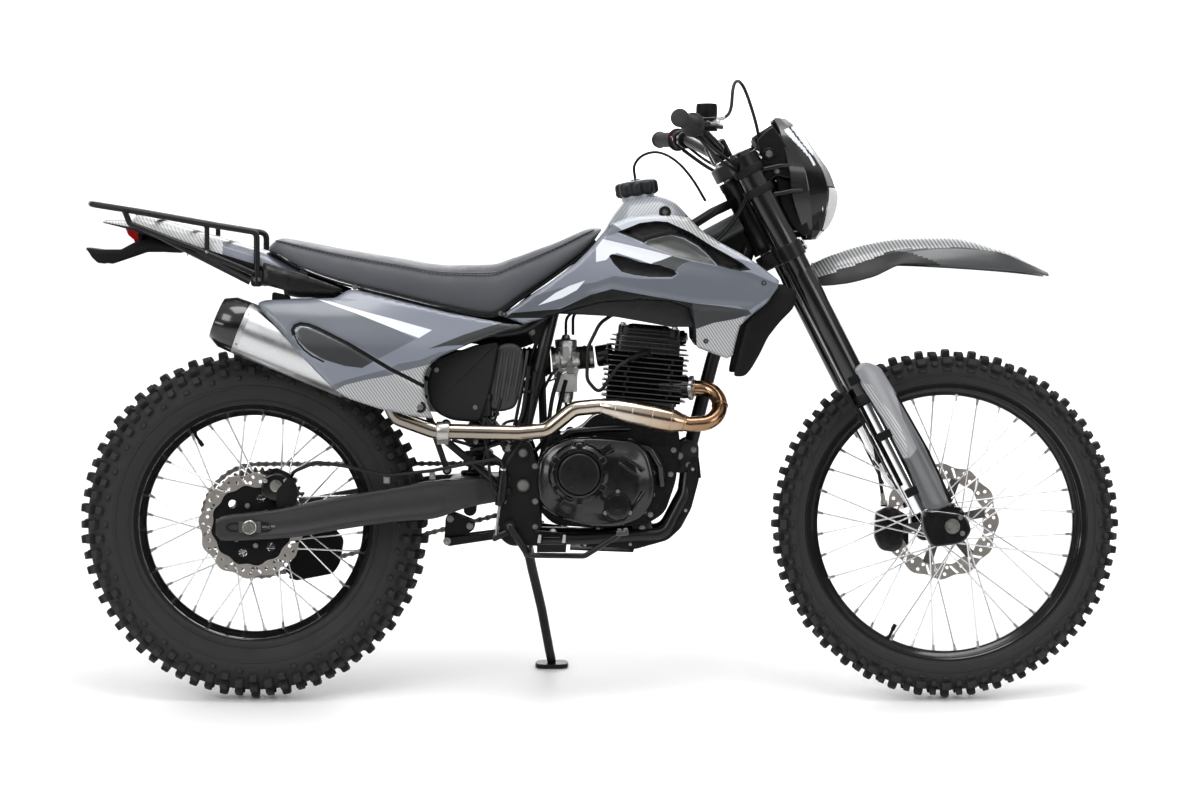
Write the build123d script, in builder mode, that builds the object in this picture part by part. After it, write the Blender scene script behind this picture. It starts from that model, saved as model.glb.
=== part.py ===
from build123d import *
import math
import os

# Dual sport motorcycle, millimetres.
# Design frame: +X forward, +Y to the rider's left, +Z up, X = 0 midway between
# the axles, Z = 0 the ground when the machine stands upright.
# Parking frame (as written out): the whole machine leans to its left on the side
# stand, the bars are turned slightly left, and the origin is under the middle of
# the overall box, on the ground.

# ---------------------------------------------------------------- dimensions
WHEELBASE = 1382.0
AXLE_X = WHEELBASE / 2
AXLE_Z = 350.0
TYRE_R = 350.0                 # both tyres, over the knobs
RAKE = 27.1                    # steering axis from the vertical, degrees
HEAD = (252.5, 0.0, 1051.8)    # steering axis at the middle of the upper clamp
FORK_OFFSET = 32.0             # fork tubes ahead of the steering axis
FORK_Y = 102.0                 # fork tube centres either side of the middle
FORK_OUTER_R = 25.0
FORK_INNER_R = 20.5
FORK_BREAK = 524.0             # outer tubes end this far down from the upper clamp
CLAMP_DROP = 197.0             # lower clamp below the upper clamp, along the axis
HEAD_TUBE_R = 25.0
STEM_R = 15.0
AXLE_R = 8.5
BORE_PLAY = 0.05               # running clearance on radius
PIVOT = (-151.6, 0.0, 432.0)   # swingarm pivot
ARM_IN, ARM_OUT = 93.0, 117.0  # swingarm arms, inner and outer faces
CHAIN_Y0, CHAIN_Y1 = 74.0, 86.0
CHAIN_REAR_R, CHAIN_FRONT_R = 113.8, 35.7
CHAIN_HALF = 6.0
SPROCKET_X, SPROCKET_Z = -85.0, 430.0
DISC_F_R, DISC_R_R = 118.0, 106.0
MUFFLER_Y = -128.0
MUFFLER_R = 53.5
PLATE_IN, PLATE_OUT = 92.0, 102.0   # frame plates at the swingarm pivot
STAND_PIVOT = (-150.0, 118.0, 305.0)
STAND_FOOT = (-100.0, 245.0, 34.0)
STAND_UP_DIR = (-0.975, 0.171, 0.140)
LEAN = 8.0                     # parked lean to the left, degrees
STEER = 2.0                    # parked steering angle to the left, degrees
SHIFT = (0.0, -157.0, 0.5)     # parking frame origin

cr, sr = math.cos(math.radians(RAKE)), math.sin(math.radians(RAKE))
UP = Vector(-sr, 0, cr)        # up along the steering axis
FWD = Vector(cr, 0, sr)        # forward, square to the steering axis
H0 = Vector(*HEAD)


def head_point(f, y, s):
    """Point f ahead of the steering axis, y to the left, s down the fork."""
    return H0 + FWD * f + Vector(0, y, 0) - UP * s


# ------------------------------------------------------------- shape helpers
def rod(a, b, r, mode=Mode.ADD):
    a, b = Vector(*a), Vector(*b)
    with Locations(Plane(origin=(a + b) * 0.5, z_dir=(b - a))):
        Cylinder(r, (b - a).length, mode=mode)


def tube(points, r, bend, mode=Mode.ADD):
    with BuildLine(mode=Mode.PRIVATE) as path:
        FilletPolyline(*points, radius=bend)
    with BuildSketch(Plane(origin=path.line @ 0, z_dir=path.line % 0),
                     mode=Mode.PRIVATE) as section:
        Circle(r)
    sweep(sections=section.sketch, path=path.line, mode=mode)


def side_slab(points, y0, y1, mode=Mode.ADD):
    with BuildSketch(Plane.XZ.offset(-y1), mode=Mode.PRIVATE) as outline:
        with BuildLine():
            Polyline(*points, close=True)
        make_face()
    extrude(outline.sketch, amount=y1 - y0, mode=mode)


def plan_slab(points, z0, z1, mode=Mode.ADD):
    with BuildSketch(Plane.XY.offset(z0), mode=Mode.PRIVATE) as outline:
        with BuildLine():
            Polyline(*points, close=True)
        make_face()
    extrude(outline.sketch, amount=z1 - z0, mode=mode)


def front_slab(points, x0, x1, mode=Mode.ADD):
    with BuildSketch(Plane.YZ.offset(x0), mode=Mode.PRIVATE) as outline:
        with BuildLine():
            Polyline(*points, close=True)
        make_face()
    extrude(outline.sketch, amount=x1 - x0, mode=mode)


def cross_loft(sections, mode=Mode.ADD, stepwise=False):
    """sections: list of (x, [(y, z), ...]) closed outlines across the machine."""
    faces = []
    for x, points in sections:
        with BuildSketch(Plane.YZ.offset(x), mode=Mode.PRIVATE) as outline:
            with BuildLine():
                Polyline(*points, close=True)
            make_face()
        faces.append(outline.sketch.face())
    if stepwise:
        for first, second in zip(faces, faces[1:]):
            loft(sections=[first, second], ruled=True, mode=mode)
    else:
        loft(sections=faces, ruled=True, mode=mode)


def level_loft(sections, mode=Mode.ADD):
    """sections: list of (z, [(x, y), ...]) closed outlines at each height."""
    faces = []
    for z, points in sections:
        with BuildSketch(Plane.XY.offset(z), mode=Mode.PRIVATE) as outline:
            with BuildLine():
                Polyline(*points, close=True)
            make_face()
        faces.append(outline.sketch.face())
    loft(sections=faces, ruled=True, mode=mode)


def body_skin(stations, levels, rows, wall, side):
    """Curved panel: outward distance per station (rows) and height (columns)."""
    sections = []
    for x, row in zip(stations, rows):
        outer = [(side * y, z) for y, z in zip(row, levels)]
        inner = [(side * (y - wall), z) for y, z in zip(row, levels)][::-1]
        sections.append((x, outer + inner))
    cross_loft(sections)


def turned(profile, y_mid=0.0, x=0.0, z=0.0, mode=Mode.ADD):
    """Revolve [(radius, y), ...] about a crosswise axle through (x, y_mid, z)."""
    with BuildSketch(Plane(origin=(x, y_mid, z), x_dir=(1, 0, 0), z_dir=(0, 0, 1)),
                     mode=Mode.PRIVATE) as outline:
        with BuildLine():
            Polyline(*profile, close=True)
        make_face()
    revolve(outline.sketch, axis=Axis((x, y_mid, z), (0, 1, 0)), mode=mode)


# ============================================================ FRAME BODY
# Frame: steering head, backbone under the tank, rear uprights, pivot plates.
with BuildPart() as frame_backbone:
    rod(head_point(0, 0, 18), head_point(0, 0, 178), HEAD_TUBE_R)
    tube([(285, 0, 955), (20, 0, 815), (-90, 0, 795)], 21, 120)
    side_slab([(306, 896), (290, 935), (190, 884), (250, 872)], -5, 5)
    # upper side tubes beside the head, seen between the tank and the fork
    for s in (-1, 1):
        tube([(268, s * 22, 992), (225, s * 40, 972), (150, s * 36, 925),
              (110, s * 12, 872)], 9.5, 22)
    # rear uprights down to the pivot plates
    rod((-90, -72, 790), (-90, 72, 790), 15)
    for s in (-1, 1):
        tube([(-90, s * 60, 790), (-112, s * 76, 700), (-158, s * 91, 510)], 13, 60)
        side_slab([(-200, 330), (-200, 470), (-178, 520), (-138, 520), (-122, 470),
                   (-118, 380), (-118, 312), (-180, 312)],
                  min(s * PLATE_IN, s * PLATE_OUT), max(s * PLATE_IN, s * PLATE_OUT))
        rod((-151.6, s * 91, 432), (-151.6, s * 108, 432), 14)
    rod(head_point(0, 0, 10), head_point(0, 0, 185), STEM_R + BORE_PLAY,
        mode=Mode.SUBTRACT)

# Downtube, cradle rails and the lower cross tube.
with BuildPart() as frame_cradle:
    tube([(299, 0, 905), (225, 0, 677), (184, 0, 518), (176, 0, 480)], 14, 120)
    rod((176, -46, 478), (176, 46, 478), 13)
    for s in (-1, 1):
        tube([(176, s * 44, 478), (168, s * 62, 410), (128, s * 72, 334),
              (-40, s * 76, 324), (-150, s * 80.3, 326)], 12, 34)
    rod((-95, -78, 325), (-95, 78, 325), 9)
    add(frame_backbone.part, mode=Mode.SUBTRACT)

# Seat rails and their stays.
with BuildPart() as rear_subframe:
    for s in (-1, 1):
        tube([(-84, s * 66, 782), (-150, s * 74, 738), (-230, s * 76, 726),
              (-400, s * 80, 768), (-520, s * 82, 800), (-676, s * 84, 842)], 11, 90)
        tube([(-440, s * 81, 778), (-300, s * 86, 640), (-182, s * 97, 506)], 9, 60)
    rod((-230, -70, 726), (-230, 70, 726), 9)
    rod((-560, -76, 811), (-560, 76, 811), 9)
    rod((-668, -80, 840), (-668, 80, 840), 9)
    add(frame_backbone.part, mode=Mode.SUBTRACT)

# Swingarm: plan shape and side shape meet in one box-section fork.
with BuildPart() as swingarm:
    plan_slab([(-758, ARM_OUT), (-310, ARM_OUT), (-232, 88), (-132, 88), (-132, -88),
               (-232, -88), (-310, -ARM_OUT), (-758, -ARM_OUT), (-758, -ARM_IN),
               (-330, -ARM_IN), (-300, -66), (-300, 66), (-330, ARM_IN),
               (-758, ARM_IN)], 300, 460)
    side_slab([(-758, 366), (-746, 372), (-647, 384), (-532, 407), (-394, 431),
               (-335, 441), (-256, 446), (-200, 450), (-140, 450), (-132, 442),
               (-132, 420), (-145, 410), (-200, 398), (-256, 388), (-335, 364),
               (-394, 360), (-513, 344), (-612, 328), (-745, 321), (-758, 330)],
              -130, 130, mode=Mode.INTERSECT)
    # shock well through the front cross piece
    with Locations((-252, 0, 420)):
        Box(56, 100, 120, mode=Mode.SUBTRACT)
    # clear of the chain and front sprocket: pivot part narrows on the left
    plan_slab([(-330, 73), (-196, 73), (-196, 60), (-40, 60), (-40, 110), (-190, 110),
               (-232, 150), (-330, 150)], 451.5, 470, mode=Mode.SUBTRACT)
    rod((-151.6, -91, 432), (-151.6, 91, 432), 19)
    # chain adjuster blocks and axle slots
    for s in (-1, 1):
        with Locations((-AXLE_X, s * 105, AXLE_Z)):
            Box(60, 24.0, 26, mode=Mode.SUBTRACT)
        with Locations((-AXLE_X - 2, s * 105, AXLE_Z)):
            Box(56, 24.0, 25.9)
    rod((-AXLE_X, -125, AXLE_Z), (-AXLE_X, 125, AXLE_Z), AXLE_R, mode=Mode.SUBTRACT)
    add(frame_backbone.part, mode=Mode.SUBTRACT)

# Rear axle: hollow spindle with spacers, nut and head.
with BuildPart() as rear_axle:
    rod((-AXLE_X, -127, AXLE_Z), (-AXLE_X, 127, AXLE_Z), AXLE_R)
    rod((-AXLE_X, -128, AXLE_Z), (-AXLE_X, -117.2, AXLE_Z), 14)
    rod((-AXLE_X, 117.2, AXLE_Z), (-AXLE_X, 129, AXLE_Z), 14)
    rod((-AXLE_X, -92.8, AXLE_Z), (-AXLE_X, -79, AXLE_Z), 14)
    rod((-AXLE_X, 91, AXLE_Z), (-AXLE_X, 92.8, AXLE_Z), 14)
    rod((-AXLE_X, -140, AXLE_Z), (-AXLE_X, 140, AXLE_Z), 5, mode=Mode.SUBTRACT)

# Chain guide hanging below the left arm.
with BuildPart() as chain_guide:
    side_slab([(-640, 330), (-545, 341), (-520, 310), (-528, 262), (-540, 243),
               (-618, 228), (-638, 252), (-604, 296)], 95, 99)
    side_slab([(-640, 330), (-545, 341), (-520, 310), (-528, 262), (-540, 243),
               (-618, 228), (-638, 252), (-604, 296)], 61, 65)
    for x, z in ((-625, 252), (-540, 274)):
        rod((x, 64, z - 16), (x, 96, z - 16), 4)
    side_slab([(-600, 322), (-560, 326), (-560, 345), (-600, 340)], 93, 99)
    add(swingarm.part, mode=Mode.SUBTRACT)

# Shock linkage: rocker and pull rods below the swingarm.
with BuildPart() as suspension_linkage:
    side_slab([(-312, 306), (-296, 308), (-250, 340), (-252, 356), (-292, 372),
               (-308, 366)], -24, -16)
    side_slab([(-312, 306), (-296, 308), (-250, 340), (-252, 356), (-292, 372),
               (-308, 366)], 16, 24)
    rod((-305, -27, 316), (-305, 27, 316), 7)
    rod((-299, -27, 360), (-299, 27, 360), 7)
    rod((-260, -27, 346), (-260, 27, 346), 7)
    side_slab([(-308, 310), (-302, 306), (-196, 322), (-196, 334), (-204, 336),
               (-300, 324)], -36, -28)
    side_slab([(-308, 310), (-302, 306), (-196, 322), (-196, 334), (-204, 336),
               (-300, 324)], 28, 36)
    rod((-305, -36, 316), (-305, 36, 316), 5)
    rod((-200, -36, 328), (-200, 36, 328), 6)

# Rear shock: body, spring envelope, collars.
SHOCK_LOW, SHOCK_TOP = Vector(-262, 0, 372), Vector(-212, 0, 688)
shock_dir = (SHOCK_TOP - SHOCK_LOW).normalized()
with BuildPart() as rear_shock:
    rod(SHOCK_LOW + shock_dir * 6, SHOCK_TOP, 14)
    rod(SHOCK_LOW + shock_dir * 62, SHOCK_LOW + shock_dir * 250, 30)
    rod(SHOCK_LOW + shock_dir * 56, SHOCK_LOW + shock_dir * 64, 34)
    rod(SHOCK_LOW + shock_dir * 246, SHOCK_LOW + shock_dir * 256, 34)
    rod(SHOCK_LOW + shock_dir * 256, SHOCK_LOW + shock_dir * 298, 25)
    rod((-260, -14, 378), (-260, 14, 378), 13)
    rod((-212, -20, 690), (-212, 20, 690), 13)
    add(swingarm.part, mode=Mode.SUBTRACT)

# Engine cases: crankcase core, right clutch cover, left generator cover.
CASE = [(-126, 420), (-124, 480), (-104, 524), (-40, 540), (-8, 572), (150, 560),
        (158, 520), (150, 440), (128, 376), (90, 352), (0, 346), (-90, 352),
        (-120, 380)]
CLUTCH = [(-118, 392), (-126, 440), (-120, 486), (-98, 512), (-60, 527), (0, 527),
          (70, 521), (96, 496), (110, 446), (106, 402), (84, 368), (36, 350),
          (-24, 352), (-80, 368)]
with BuildPart() as engine_cases:
    side_slab(CASE, -72, 58)
    side_slab(CLUTCH, -128, -70)
    chamfer(engine_cases.faces().sort_by(Axis.Y)[0].edges(), 12)
    rod((-41, -128, 456), (-41, -150, 456), 41)
    rod((35, -128, 393), (35, -138, 393), 22)
    # generator cover, left
    rod((52, 56, 436), (52, 118, 436), 78)
    rod((52, 116, 436), (52, 126, 436), 52)
    side_slab([(-20, 352), (120, 372), (146, 440), (150, 520), (-5, 530),
               (-30, 480)], 56, 96)
    # front sprocket cover, outboard of the chain
    side_slab([(-131, 402), (-131, 462), (-110, 482), (-20, 482), (-20, 380),
               (-110, 384)], 90, 100)
    # output shaft
    rod((SPROCKET_X, 56, SPROCKET_Z), (SPROCKET_X, 91, SPROCKET_Z), 11)
    # room for the chain and sprocket behind the cover
    side_slab([(-260, 340), (-260, 500), (-44, 500), (-36, 476), (-36, 384),
               (-60, 366)], 58.5, 89.9, mode=Mode.SUBTRACT)
    rod((SPROCKET_X, 56, SPROCKET_Z), (SPROCKET_X, 90.5, SPROCKET_Z), 11)
    add(frame_cradle.part, mode=Mode.SUBTRACT)
    add(frame_backbone.part, mode=Mode.SUBTRACT)

# Front sprocket, fixed with the engine.
with BuildPart() as front_sprocket:
    rod((SPROCKET_X, 77, SPROCKET_Z), (SPROCKET_X, 83, SPROCKET_Z), 28)
    rod((SPROCKET_X, 70, SPROCKET_Z), (SPROCKET_X, 88, SPROCKET_Z), 17)
    rod((SPROCKET_X, 60, SPROCKET_Z), (SPROCKET_X, 95, SPROCKET_Z), 11,
        mode=Mode.SUBTRACT)

# Chain: one closed loop round both sprockets.
with BuildPart() as drive_chain:
    d = math.hypot(AXLE_X + SPROCKET_X, SPROCKET_Z - AXLE_Z)
    ux, uz = (AXLE_X + SPROCKET_X) / d, (SPROCKET_Z - AXLE_Z) / d
    k = (CHAIN_REAR_R - CHAIN_FRONT_R) / d
    q = math.sqrt(1 - k * k)
    top_n = (k * ux - q * uz, k * uz + q * ux)
    low_n = (k * ux + q * uz, k * uz - q * ux)
    for offset_r, mode in ((CHAIN_HALF, Mode.ADD), (-CHAIN_HALF, Mode.SUBTRACT)):
        r1, r2 = CHAIN_REAR_R + offset_r, CHAIN_FRONT_R + offset_r
        a = (-AXLE_X + r1 * top_n[0], AXLE_Z + r1 * top_n[1])
        b = (SPROCKET_X + r2 * top_n[0], SPROCKET_Z + r2 * top_n[1])
        c = (SPROCKET_X + r2 * low_n[0], SPROCKET_Z + r2 * low_n[1])
        e = (-AXLE_X + r1 * low_n[0], AXLE_Z + r1 * low_n[1])
        front = (SPROCKET_X + r2 * ux, SPROCKET_Z + r2 * uz)
        rear = (-AXLE_X - r1 * ux, AXLE_Z - r1 * uz)
        with BuildSketch(Plane.XZ.offset(-CHAIN_Y1), mode=Mode.PRIVATE) as loop:
            with BuildLine():
                Line(a, b)
                ThreePointArc(b, front, c)
                Line(c, e)
                ThreePointArc(e, rear, a)
            make_face()
        extrude(loop.sketch, amount=CHAIN_Y1 - CHAIN_Y0, mode=mode)

# Cylinder with cooling fins, leaning 5 degrees forward.
CYL = Plane(origin=(82, 0, 558), x_dir=(math.cos(math.radians(5)), 0, -math.sin(math.radians(5))),
            z_dir=(math.sin(math.radians(5)), 0, math.cos(math.radians(5))))
# exhaust port stub, low on the front right of the cylinder
PORT_START = Vector(120, -42, 624)
PORT_DIR = Vector(96, -16, -2).normalized()
PORT_END = PORT_START + PORT_DIR * 58
with BuildPart() as cylinder:
    with Locations(CYL.offset(66)):
        Box(120, 116, 132)
    for i in range(7):
        with Locations(CYL.offset(48 + 13 * i)):
            Box(172, 144, 4.5)
    fillet(cylinder.edges().filter_by(lambda e: abs(e.length - 4.5) < 0.01), 18)
    rod(PORT_START, PORT_END, 22)
    side_slab(CASE, -140, 140, mode=Mode.SUBTRACT)
with BuildPart() as cylinder_head:
    with Locations(CYL.offset(150)):
        Box(132, 118, 35.9)
    for i in range(2):
        with Locations(CYL.offset(140 + 13 * i)):
            Box(168, 144, 4.5)
    with Locations(CYL.offset(174)):
        Box(126, 112, 22)
    with Locations(CYL.offset(176)):
        Box(100, 96, 28)
    for dx, dy in ((-52, -46), (-52, 46), (52, -46), (52, 46)):
        base = CYL.origin + CYL.x_dir * dx + CYL.y_dir * dy
        rod(base + CYL.z_dir * 153, base + CYL.z_dir * 188, 8)
    # inlet stub to the rear, exhaust stub low at the front
    rod((20, -14, 690), (-14, -14, 684), 22)
    add(cylinder.part, mode=Mode.SUBTRACT)

with BuildPart() as carburettor:
    rod((-14.5, -14, 684), (-48, -14, 680), 20)
    rod((-46, -14, 680), (-90, -14, 676), 26)
    with Locations((-68, -16, 700)):
        Cylinder(21, 44)
    with Locations((-68, -16, 640)):
        Box(48, 54, 58)
    with Locations((-68, -16, 606)):
        Cylinder(13, 14)
    rod((-88, -14, 676), (-104, -14, 674), 30)
    rod((-60, -44, 660), (-60, -56, 660), 9)
    add(cylinder_head.part, mode=Mode.SUBTRACT)

# Airbox between the rails, with its ribbed boot to the carburettor.
with BuildPart() as airbox:
    side_slab([(-338, 640), (-330, 690), (-256, 707), (-199, 716), (-190, 640),
               (-216, 620), (-300, 600)], -62, 62)
    side_slab([(-329, 676), (-256, 704), (-199, 716), (-214, 630), (-236, 556),
               (-290, 560), (-318, 572), (-335, 591), (-342, 630)], -108, -60)
    side_slab([(-329, 676), (-256, 704), (-199, 716), (-214, 630), (-236, 556),
               (-290, 560), (-318, 572), (-335, 591), (-342, 630)], 60, 108)
    rod((-104.5, -14, 674), (-196, -14, 668), 31)
    rod(SHOCK_LOW + shock_dir * 40, SHOCK_TOP + shock_dir * 60, 39, mode=Mode.SUBTRACT)
    with Locations((-240, 0, 735)):
        Box(110, 84, 60, mode=Mode.SUBTRACT)
    add(carburettor.part, mode=Mode.SUBTRACT)
    add(rear_subframe.part, mode=Mode.SUBTRACT)
    add(frame_backbone.part, mode=Mode.SUBTRACT)

# Exhaust: port, loop past the downtube, fat section, run back to the muffler.
MUF_REAR, MUF_DIR = Vector(-752, MUFFLER_Y, 763.5), Vector(0.9252, 0, -0.3795).normalized()
MUF_FRONT = 324.3
with BuildPart() as exhaust_header:
    joint_a, joint_b = MUF_REAR + MUF_DIR * 348, MUF_REAR + MUF_DIR * MUF_FRONT
    tube([PORT_END, (236, -61.35, 621.55), (238, -106, 556), (176, -114, 553),
          (0, -116, 589), (-52, -117, 584), (-104, -118, 541), (-160, -122, 536),
          (-325, -126, 540), (-400, -127.5, 567), joint_a, joint_b], 15.5,
         [28, 28, 28, 60, 40, 40, 60, 60, 22, 22])
    fat0, fat1 = Vector(165, -114.1, 555.3), Vector(2, -116, 588.6)
    fat = (fat1 - fat0).normalized()
    span = (fat1 - fat0).length
    for s0, s1, r0, r1 in ((0, 24, 17, 21), (24, 84, 21, 23), (84, 140, 23, 21),
                           (140, span, 21, 17)):
        with Locations(Plane(origin=fat0 + fat * ((s0 + s1) / 2), z_dir=fat)):
            Cone(r0, r1, s1 - s0)
    rod(PORT_END, PORT_END + PORT_DIR * 9, 25)
    # joint clamp ahead of the muffler
    rod((-296, -125.3, 539.3), (-322, -125.9, 539.9), 20)

with BuildPart() as muffler:
    rod(MUF_REAR + MUF_DIR * 24, MUF_REAR + MUF_DIR * 284, MUFFLER_R)
    with Locations(Plane(origin=MUF_REAR + MUF_DIR * 12, z_dir=MUF_DIR)):
        Cone(42, MUFFLER_R, 24)
    with Locations(Plane(origin=MUF_REAR + MUF_DIR * ((284 + MUF_FRONT) / 2), z_dir=MUF_DIR)):
        Cone(MUFFLER_R, 21, MUF_FRONT - 284)
    rod(MUF_REAR - MUF_DIR * 6, MUF_REAR + MUF_DIR * 70, 16, mode=Mode.SUBTRACT)
    # hanger lug up to the seat rail
    side_slab([(-650, 740), (-610, 726), (-610, 806), (-646, 814)], -100, -93)
    add(rear_subframe.part, mode=Mode.SUBTRACT)


# Fuel tank: cross sections from the seat to the steering head.
def tank_section(x, low, top, half_low, half, half_top):
    pts = [(half_low, low), (half, low + 0.30 * (top - low)),
           (half, low + 0.55 * (top - low)), (half_top, top - 0.16 * (top - low)),
           (half_top * 0.62, top - 5), (half_top * 0.25, top)]
    return x, pts + [(-y, z) for y, z in pts[::-1]]


TANK = [  # x, bottom, top, half width at bottom, middle, shoulder
    (-150, 772, 800, 92, 96, 78),
    (-79, 768, 848, 94, 100, 80),
    (5, 764, 930, 96, 106, 78),
    (30, 762, 972, 98, 108, 72),
    (60, 757, 1000, 98, 108, 66),
    (110, 748, 1005, 98, 110, 64),
    (145, 742, 994, 98, 110, 62),
    (185, 742, 955, 96, 108, 62),
    (215, 780, 925, 80, 98, 62),
]
with BuildPart() as fuel_tank:
    cross_loft([tank_section(*row) for row in TANK])
    # tunnel over the backbone and the cylinder head
    with Locations((40, 0, 800)):
        Box(460, 92, 190, mode=Mode.SUBTRACT)
    with Locations((80, 0, 735)):
        Box(220, 160, 50, mode=Mode.SUBTRACT)
    with Locations((215, 0, 925)):
        Box(60, 110, 110, mode=Mode.SUBTRACT)
    add(frame_backbone.part, mode=Mode.SUBTRACT)
    add(rear_subframe.part, mode=Mode.SUBTRACT)

# Cap: lobed knob on a short neck, tilted back a little.
cap_axis = Vector(-0.148, 0, 0.989)
with BuildPart() as fuel_cap:
    base = Vector(73.9, 0, 1014.4)
    with Locations(Plane(origin=base + cap_axis * -6, z_dir=cap_axis)):
        Cylinder(30, 30)
    with Locations(Plane(origin=base + cap_axis * 6, z_dir=cap_axis)):
        Cylinder(36, 24)
    for i in range(8):
        a = math.radians(45 * i)
        side_v = Vector(0, 1, 0)
        fore_v = Vector(0.989, 0, 0.148)
        with Locations(Plane(origin=base + cap_axis * 6 + side_v * (36 * math.sin(a))
                             + fore_v * (36 * math.cos(a)), z_dir=cap_axis)):
            Cylinder(7, 24)
    rod(base + cap_axis * 17, base + cap_axis * 24, 7)
    add(fuel_tank.part, mode=Mode.SUBTRACT)

# Tank shrouds: outward distance of the outer face.
SHROUD_Z = [680, 770, 840, 900, 960, 1000]
SHROUD_X = [-210, -120, -20, 80, 180, 270, 360]
SHROUD_Y = [
    [106, 110, 110, 108, 100, 92],
    [112, 116, 117, 113, 103, 92],
    [121, 126, 126, 119, 104, 90],
    [132, 139, 137, 126, 104, 88],
    [144, 152, 149, 134, 108, 92],
    [154, 162, 157, 143, 118, 102],
    [160, 166, 160, 150, 128, 112],
]
SHROUD = [(6, 928), (-20, 898), (-49, 869), (-78, 848), (-117, 819), (-156, 793),
          (-196, 767), (-151, 750), (-78, 771), (0, 792), (78, 798), (137, 794),
          (172, 782), (180, 757), (182, 720), (192, 704), (249, 683), (260, 690),
          (267, 722), (274, 748), (296, 768), (326, 792), (348, 822), (350, 836),
          (336, 847), (309, 868), (274, 890), (235, 911), (196, 937), (176, 960),
          (120, 968), (60, 962), (24, 948)]
with BuildPart() as tank_shrouds:
    for s in (-1, 1):
        body_skin(SHROUD_X, SHROUD_Z, SHROUD_Y, 4.0, s)
    side_slab(SHROUD, -200, 200, mode=Mode.INTERSECT)
    add(fuel_tank.part, mode=Mode.SUBTRACT)

# Black inner scoops behind the front edges of the shrouds.
SCOOP = [(352, 832), (300, 790), (284, 750), (272, 700), (264, 662), (262, 648),
         (284, 648), (297, 664), (314, 694), (328, 724), (353, 756), (378, 780),
         (386, 800), (384, 816)]
with BuildPart() as inner_scoops:
    for s in (-1, 1):
        body_skin([240, 300, 340, 390], [640, 760, 840],
                  [[141, 148, 144], [146, 154, 148], [140, 150, 146], [128, 136, 134]],
                  4.0, s)
    side_slab(SCOOP, -200, 200, mode=Mode.INTERSECT)

# Seat: cushion over the rails, from the tail to the tank.
SEAT = [  # x, skirt bottom, top, half width
    (-660, 893, 906, 84),
    (-640, 886, 921, 96),
    (-599, 862, 915, 108),
    (-520, 832, 900, 116),
    (-400, 801, 880, 118),
    (-300, 777, 866, 112),
    (-216, 762, 868, 100),
    (-160, 796, 885, 90),
    (-79, 852, 915, 80),
    (-20, 900, 940, 70),
    (4, 936, 946, 58),
]


def seat_section(x, low, top, half):
    h = top - low
    pts = [(half - 6, low), (half, low + 0.35 * h), (half - 5, low + 0.68 * h),
           (half - 22, top - 0.10 * h), (half * 0.5, top - 1)]
    return x, pts + [(-y, z) for y, z in pts[::-1]]


with BuildPart() as seat:
    cross_loft([seat_section(*row) for row in SEAT], stepwise=True)
    side_slab([(-640, 800), (-640, 893), (-590, 866), (-512, 838), (-400, 808),
               (-300, 784), (-250, 772), (-216, 768), (-180, 775), (-180, 700),
               (-600, 700)], -98, 98, mode=Mode.SUBTRACT)
    add(fuel_tank.part, mode=Mode.SUBTRACT)
    add(tank_shrouds.part, mode=Mode.SUBTRACT)
    add(rear_subframe.part, mode=Mode.SUBTRACT)

# Side panels, outside the muffler on the right and the tool box on the left.
PANEL_Z = [550, 640, 700, 760, 825]
PANEL_X = [-680, -600, -500, -400, -300, -140]
PANEL_Y = [
    [184, 188, 188, 176, 132],
    [186, 191, 190, 176, 130],
    [182, 190, 190, 172, 130],
    [164, 175, 176, 158, 128],
    [136, 145, 147, 135, 121],
    [118, 122, 123, 114, 108],
]
PANEL = [(-670, 792), (-656, 798), (-588, 800), (-519, 802), (-494, 818),
         (-480, 818), (-392, 796), (-294, 772), (-196, 754), (-151, 748),
         (-196, 733), (-255, 712), (-314, 686), (-327, 676), (-341, 661),
         (-345, 641), (-343, 612), (-334, 582), (-326, 566), (-353, 568),
         (-392, 577), (-432, 586), (-490, 606), (-514, 620), (-549, 655),
         (-588, 696), (-627, 743), (-662, 778)]
with BuildPart() as side_panels:
    for s in (-1, 1):
        body_skin(PANEL_X, PANEL_Z, PANEL_Y, 3.5, s)
    side_slab(PANEL, -220, 220, mode=Mode.INTERSECT)
    add(muffler.part, mode=Mode.SUBTRACT)
    add(seat.part, mode=Mode.SUBTRACT)
    add(tank_shrouds.part, mode=Mode.SUBTRACT)

# Rear fender and tail: top skin with side skirts.
TAIL = [  # x, skirt bottom, top, half width, crown drop
    (-985, 950, 957, 50, 2),
    (-930, 937, 956, 80, 4),
    (-914, 932, 971, 84, 5),
    (-828, 903, 944, 90, 6),
    (-750, 877, 921, 92, 6),
    (-664, 851, 896, 94, 6),
    (-640, 846, 884, 94, 6),
    (-590, 832, 858, 92, 4),
]


def tail_section(x, low, top, half, crown, wall=0.0, drop=0.0):
    shoulder = low + 0.55 * (top - low)
    pts = [(half - wall, low - drop), (half - wall, shoulder - wall),
           (half - 12 - wall * 0.6, top - crown - wall), (half * 0.4, top - wall)]
    if wall and top - low < 10:
        pts[1] = (half - wall, low - drop + 1)
    return x, pts + [(-y, z) for y, z in pts[::-1]]


with BuildPart() as rear_fender:
    cross_loft([tail_section(*row) for row in TAIL], stepwise=True)
    inner = [tail_section(-931, 935, 957, 79, 4, 4.0, 14.0)]
    inner += [tail_section(x, low, top, half, crown, 4.0, 14.0)
              for x, low, top, half, crown in TAIL[2:-1]]
    inner += [tail_section(-585, 830, 856, 92, 4, 4.0, 14.0)]
    cross_loft(inner, mode=Mode.SUBTRACT, stepwise=True)
    add(seat.part, mode=Mode.SUBTRACT)
    add(rear_subframe.part, mode=Mode.SUBTRACT)

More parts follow.
